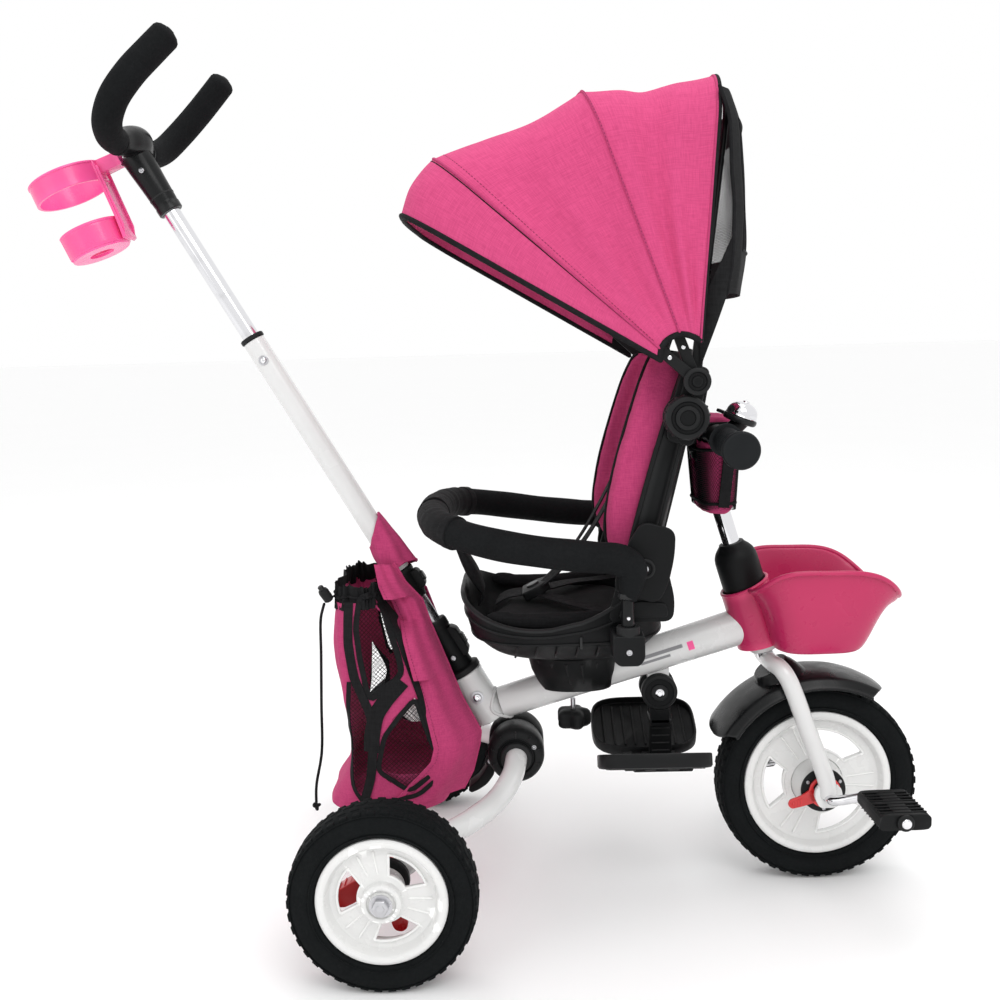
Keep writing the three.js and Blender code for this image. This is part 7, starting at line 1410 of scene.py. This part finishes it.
def band(name, line, s, width, mat=INNER, off=1.6, n=90, closed=True, slot="black_fabric", thick_=1.2):
    L = fillet2(line, 9, 5) if closed else [tuple(p) for p in fillet([(x, 0, z) for x, z in line], 9)[:, [0, 2]]]
    P = dens([tuple(p) for p in L], n, closed); T = np.gradient(P, axis=0); T /= np.linalg.norm(T, axis=1)[:, None] + 1e-9
    if closed: T[0] = T[-1] = unit(P[1] - P[-2])
    f = side_surface(s, off); G = [[f(P[i][0] - T[i][1] * w, P[i][1] + T[i][0] * w) for w in np.linspace(-width / 2, width / 2, 5)] for i in range(len(P))]
    V, F, uv = grid_vf(G); return make(name, V, F, mat, "frame", slot, uv=uv, solid=thick_)
for s, nme in ((-1, "right"), (1, "left")):
    f0 = side_surface(s, 0.6)
    for tag, poly, wire, mt in (("upper", UP, 0.75, NET), ("lower", LOW, 0.75, NET), ("rear", LEFT, 0.7, NET)):
        xs, zs = [p[0] for p in poly], [p[1] for p in poly]; xa, xb, za, zb = min(xs) - 3, max(xs) + 3, min(zs) - 3, max(zs) + 3
        step = 2.6 if tag != "lower" else 2.9
        grow = lambda x, z, poly=poly: inside_poly(x, z, poly) or inside_poly(x + 2.5, z, poly) or inside_poly(x - 2.5, z, poly) or inside_poly(x, z + 3, poly) or inside_poly(x, z - 3, poly)
        net("bag_net_%s_%s" % (tag, nme), f0, xa, xb, za, zb, int((xb - xa) / step), int((zb - za) / step), wire, "frame", inside=grow, mat=mt)
    band("bag_trim_upper_" + nme, UP, s, 7, off=1.4)
    band("bag_trim_lower_" + nme, LOW, s, 6, off=1.5)
    band("bag_trim_bridge_" + nme, [(12, 300), (-4, 284), (-20, 262), (-26, 236), (-27, 214)], s, 19, off=1.9, closed=False)
    band("bag_trim_rear_" + nme, [(-50, 396), (-52, 350), (-46, 304), (-36, 282), (-27, 262), (-24, 228), (-30, 180), (-40, 148)], s, 11, off=2.1, closed=False)
    band("bag_trim_front_" + nme, [(-20, 404), (-3, 378), (11, 345), (23, 304), (36, 262), (49, 222), (63, 193), (52, 178), (27, 157), (-6, 149), (-38, 144)], s, 5.5, off=2.3, closed=False)
    band("bag_trim_tail_" + nme, [(-52, 300), (-55, 229), (-53, 165), (-43, 148)], s, 4.5, off=1.7, closed=False)
    # lining seen through the net
    band("bag_inner_flap_" + nme, [(-30, 176), (0, 166), (30, 168)], s, 30, mat=LINER, off=-7, closed=False, slot="pink_fabric")
    # front wing that ties the bag to the pole
    ZR = np.array([146, 168, 200, 216, 260, 303, 353, 387, 409, 432], float); XL = np.array([-6, 14, 44, 48, 38, 26, 12, -2, -16, -24], float); XR = np.array([80, 92, 101, 103, 80, 64, 45, 34, 14, 2], float)
    YR = np.array([-52, -50, -42, -40, -34, -33, -33, -33, -32, -31], float)
    G = []
    for z in np.linspace(146, 432, 90):
        xl, xr, yr = np.interp(z, ZR, XL), np.interp(z, ZR, XR), np.interp(z, ZR, YR); a_ = side_surface(s, 2.4)(min(xl, 70 if z < 300 else 10), min(z, 394)); a_[0] = xl; a_[2] = z
        if z > 394: a_[1] = s * np.interp(z, [394, 432], [76, 34])
        row = []
        for t in np.linspace(0, 1, 34):
            b_ = A3(xr, -s * yr, z); p = a_ + (b_ - a_) * t
            bulge = 17 * math.sin(t * math.pi) * (1 if z < 394 else np.interp(z, [394, 432], [1, 0.15]))
            fold_ = 3.0 * math.sin(t * 11 + z * 0.013 + 1.0) * math.sin(t * math.pi) + 2.2 * noise.noise(Vector((t * 3, z * 0.014, s)))
            p = p + A3(0.35, s * 0.94, 0) * (bulge * 0.8 + fold_)
            tt_ = (p - POLE_P0) @ POLE_U; q_ = POLE_P0 + POLE_U * tt_; d_ = p - q_; r_ = np.linalg.norm(d_)
            if r_ < 28: p = q_ + d_ / (r_ + 1e-9) * 28
            row.append(p)
        G.append(row)
    V, F, uv = grid_vf(G); wing_ = make("bag_wing_" + nme, V, F, PINK3, "frame", "pink_fabric", uv=uv, solid=1.4, sharp=70)
    stitches("bag_wing_stitch_" + nme, np.array([G[i][3] + A3(0, s * 1.1, 0) for i in range(2, 84)]), "frame", "pink_fabric", r=0.36)
    tube("bag_wing_fold_" + nme, np.array([G[i][-1] for i in range(90)]), 1.7, PINK3, "frame", "pink_fabric", 12, ends="round")
# pointed cloth collar on the pole above the connector (rides with the turning pole)
G = []
for u in np.linspace(0, 1, 30):
    row = []
    for a in np.linspace(-2.75, 2.75, 90):
        top = 214 + 22 * math.cos(a * 0.55) ** 2 - 4 * abs(a); bot = 157.5 + 5.0 * math.sin(a * 1.7) + 3.5 * abs(a); t = bot + (top - bot) * u
        r = 25.5 - 9.0 * u ** 0.8 + 1.6 * math.sin(a * 6 + u * 4) * (1 - 0.5 * u) + 1.2 * noise.noise(Vector((a * 1.6, u * 3, 0.5)))
        row.append(pole(t) + (pxx * math.cos(a) + A3(0, -1, 0) * math.sin(a)) * max(r, 15.4))
    G.append(row)
V, F, uv = grid_vf(G); make("bag_collar_cloth", V, F, PINK3, "push_pole", "pink_fabric", uv=uv, solid=1.3, sharp=70)
tube("bag_collar_hem", np.array(G[0]), 1.5, PINK3, "push_pole", "pink_fabric", 12, ends="round")
# gathered black mouth with its drawcord tunnel
G = []
for u in np.linspace(0, 1, 26):
    row = []
    for j in range(301):
        a = 2 * math.pi * j / 300; z = 386 + 27 * u
        p = bag_ring_pt(390, a, 0, 0.4); c = A3(-45, 0, 0)
        sh = 1.0 - 0.10 * u - 0.10 * math.sin(u * math.pi) * 0.3; pl = 2.6 * math.sin(a * 34 + 1.3 * math.sin(a * 5)) * (0.35 + 0.65 * math.sin(min(1, u * 1.3) * math.pi * 0.5)) + 2.0 * math.sin(a * 13 + u * 2)
        q = A3(c[0] + (p[0] - c[0]) * sh, p[1] * sh, z + 2.2 * math.sin(a * 7 + 1) * u + 1.4 * math.sin(a * 34) * u)
        n = unit(A3((p[0] - c[0]) / 27, p[1] / 82, 0)); q = q + n * (pl * 0.8 + 1.2)
        tt_ = (q - POLE_P0) @ POLE_U; q_ = POLE_P0 + POLE_U * tt_; d_ = q - q_; r_ = np.linalg.norm(d_)
        if r_ < 28: q = q_ + d_ / (r_ + 1e-9) * 28
        row.append(q)
    G.append(row)
V, F, uv = grid_vf(G); make("bag_mouth", V, F, INNER, "frame", "black_fabric", uv=uv, solid=1.2, sharp=80)
mp_ = np.array([G[13][j] for j in range(0, 301)]); c_ = A3(-45, 0, 0)
mp_ = mp_ + np.array([unit(A3((p[0] + 45) / 27, p[1] / 82, 0)) * 1.4 for p in mp_])
tube("bag_drawcord", resample(mp_, 420), 1.7, WEB, "frame", "black_fabric", 10)
# toggle, cord ends and the hanging drawcord
TG = A3(-79, -72, 404)
lathe("bag_toggle", [(0, -9), (4.6, -9), (6.2, -7.6), (6.4, 5), (5.4, 8), (3.0, 9), (0, 9.2)], TG, (-0.45, -0.3, 0.85), BLACK, "frame", "black_plastic", 48)
lathe("bag_toggle_button", [(0, 8), (3.6, 8), (3.6, 12.6), (2.8, 13.6), (0, 13.8)], TG, (-0.45, -0.3, 0.85), BGLOSS, "frame", "black_plastic", 40)
CORD = [(-82, -70, 392), (-86, -74, 376), (-87, -80, 330), (-89, -84, 270), (-91, -88, 210), (-99, -92, 168), (-100, -94, 140)]
CP_ = spline(CORD, 150)
cord_ = tube("bag_cord_run", CP_, 1.75, WEB, "frame", "black_fabric", 16, ends="round", rep=("bag_cord",))
knot = []
for t in np.linspace(0, 2 * math.pi, 60):
    knot.append(A3(-99.5 + 3.0 * (math.sin(t) + 1.2 * math.sin(2 * t)) * 0.6, -93.6 + 2.6 * math.sin(3 * t) * 0.6, 143 + 3.2 * (math.cos(t) - 1.2 * math.cos(2 * t)) * 0.6))
kn_ = tube("bag_cord_knot", np.array(knot), 1.7, WEB, "frame", "black_fabric", 12)
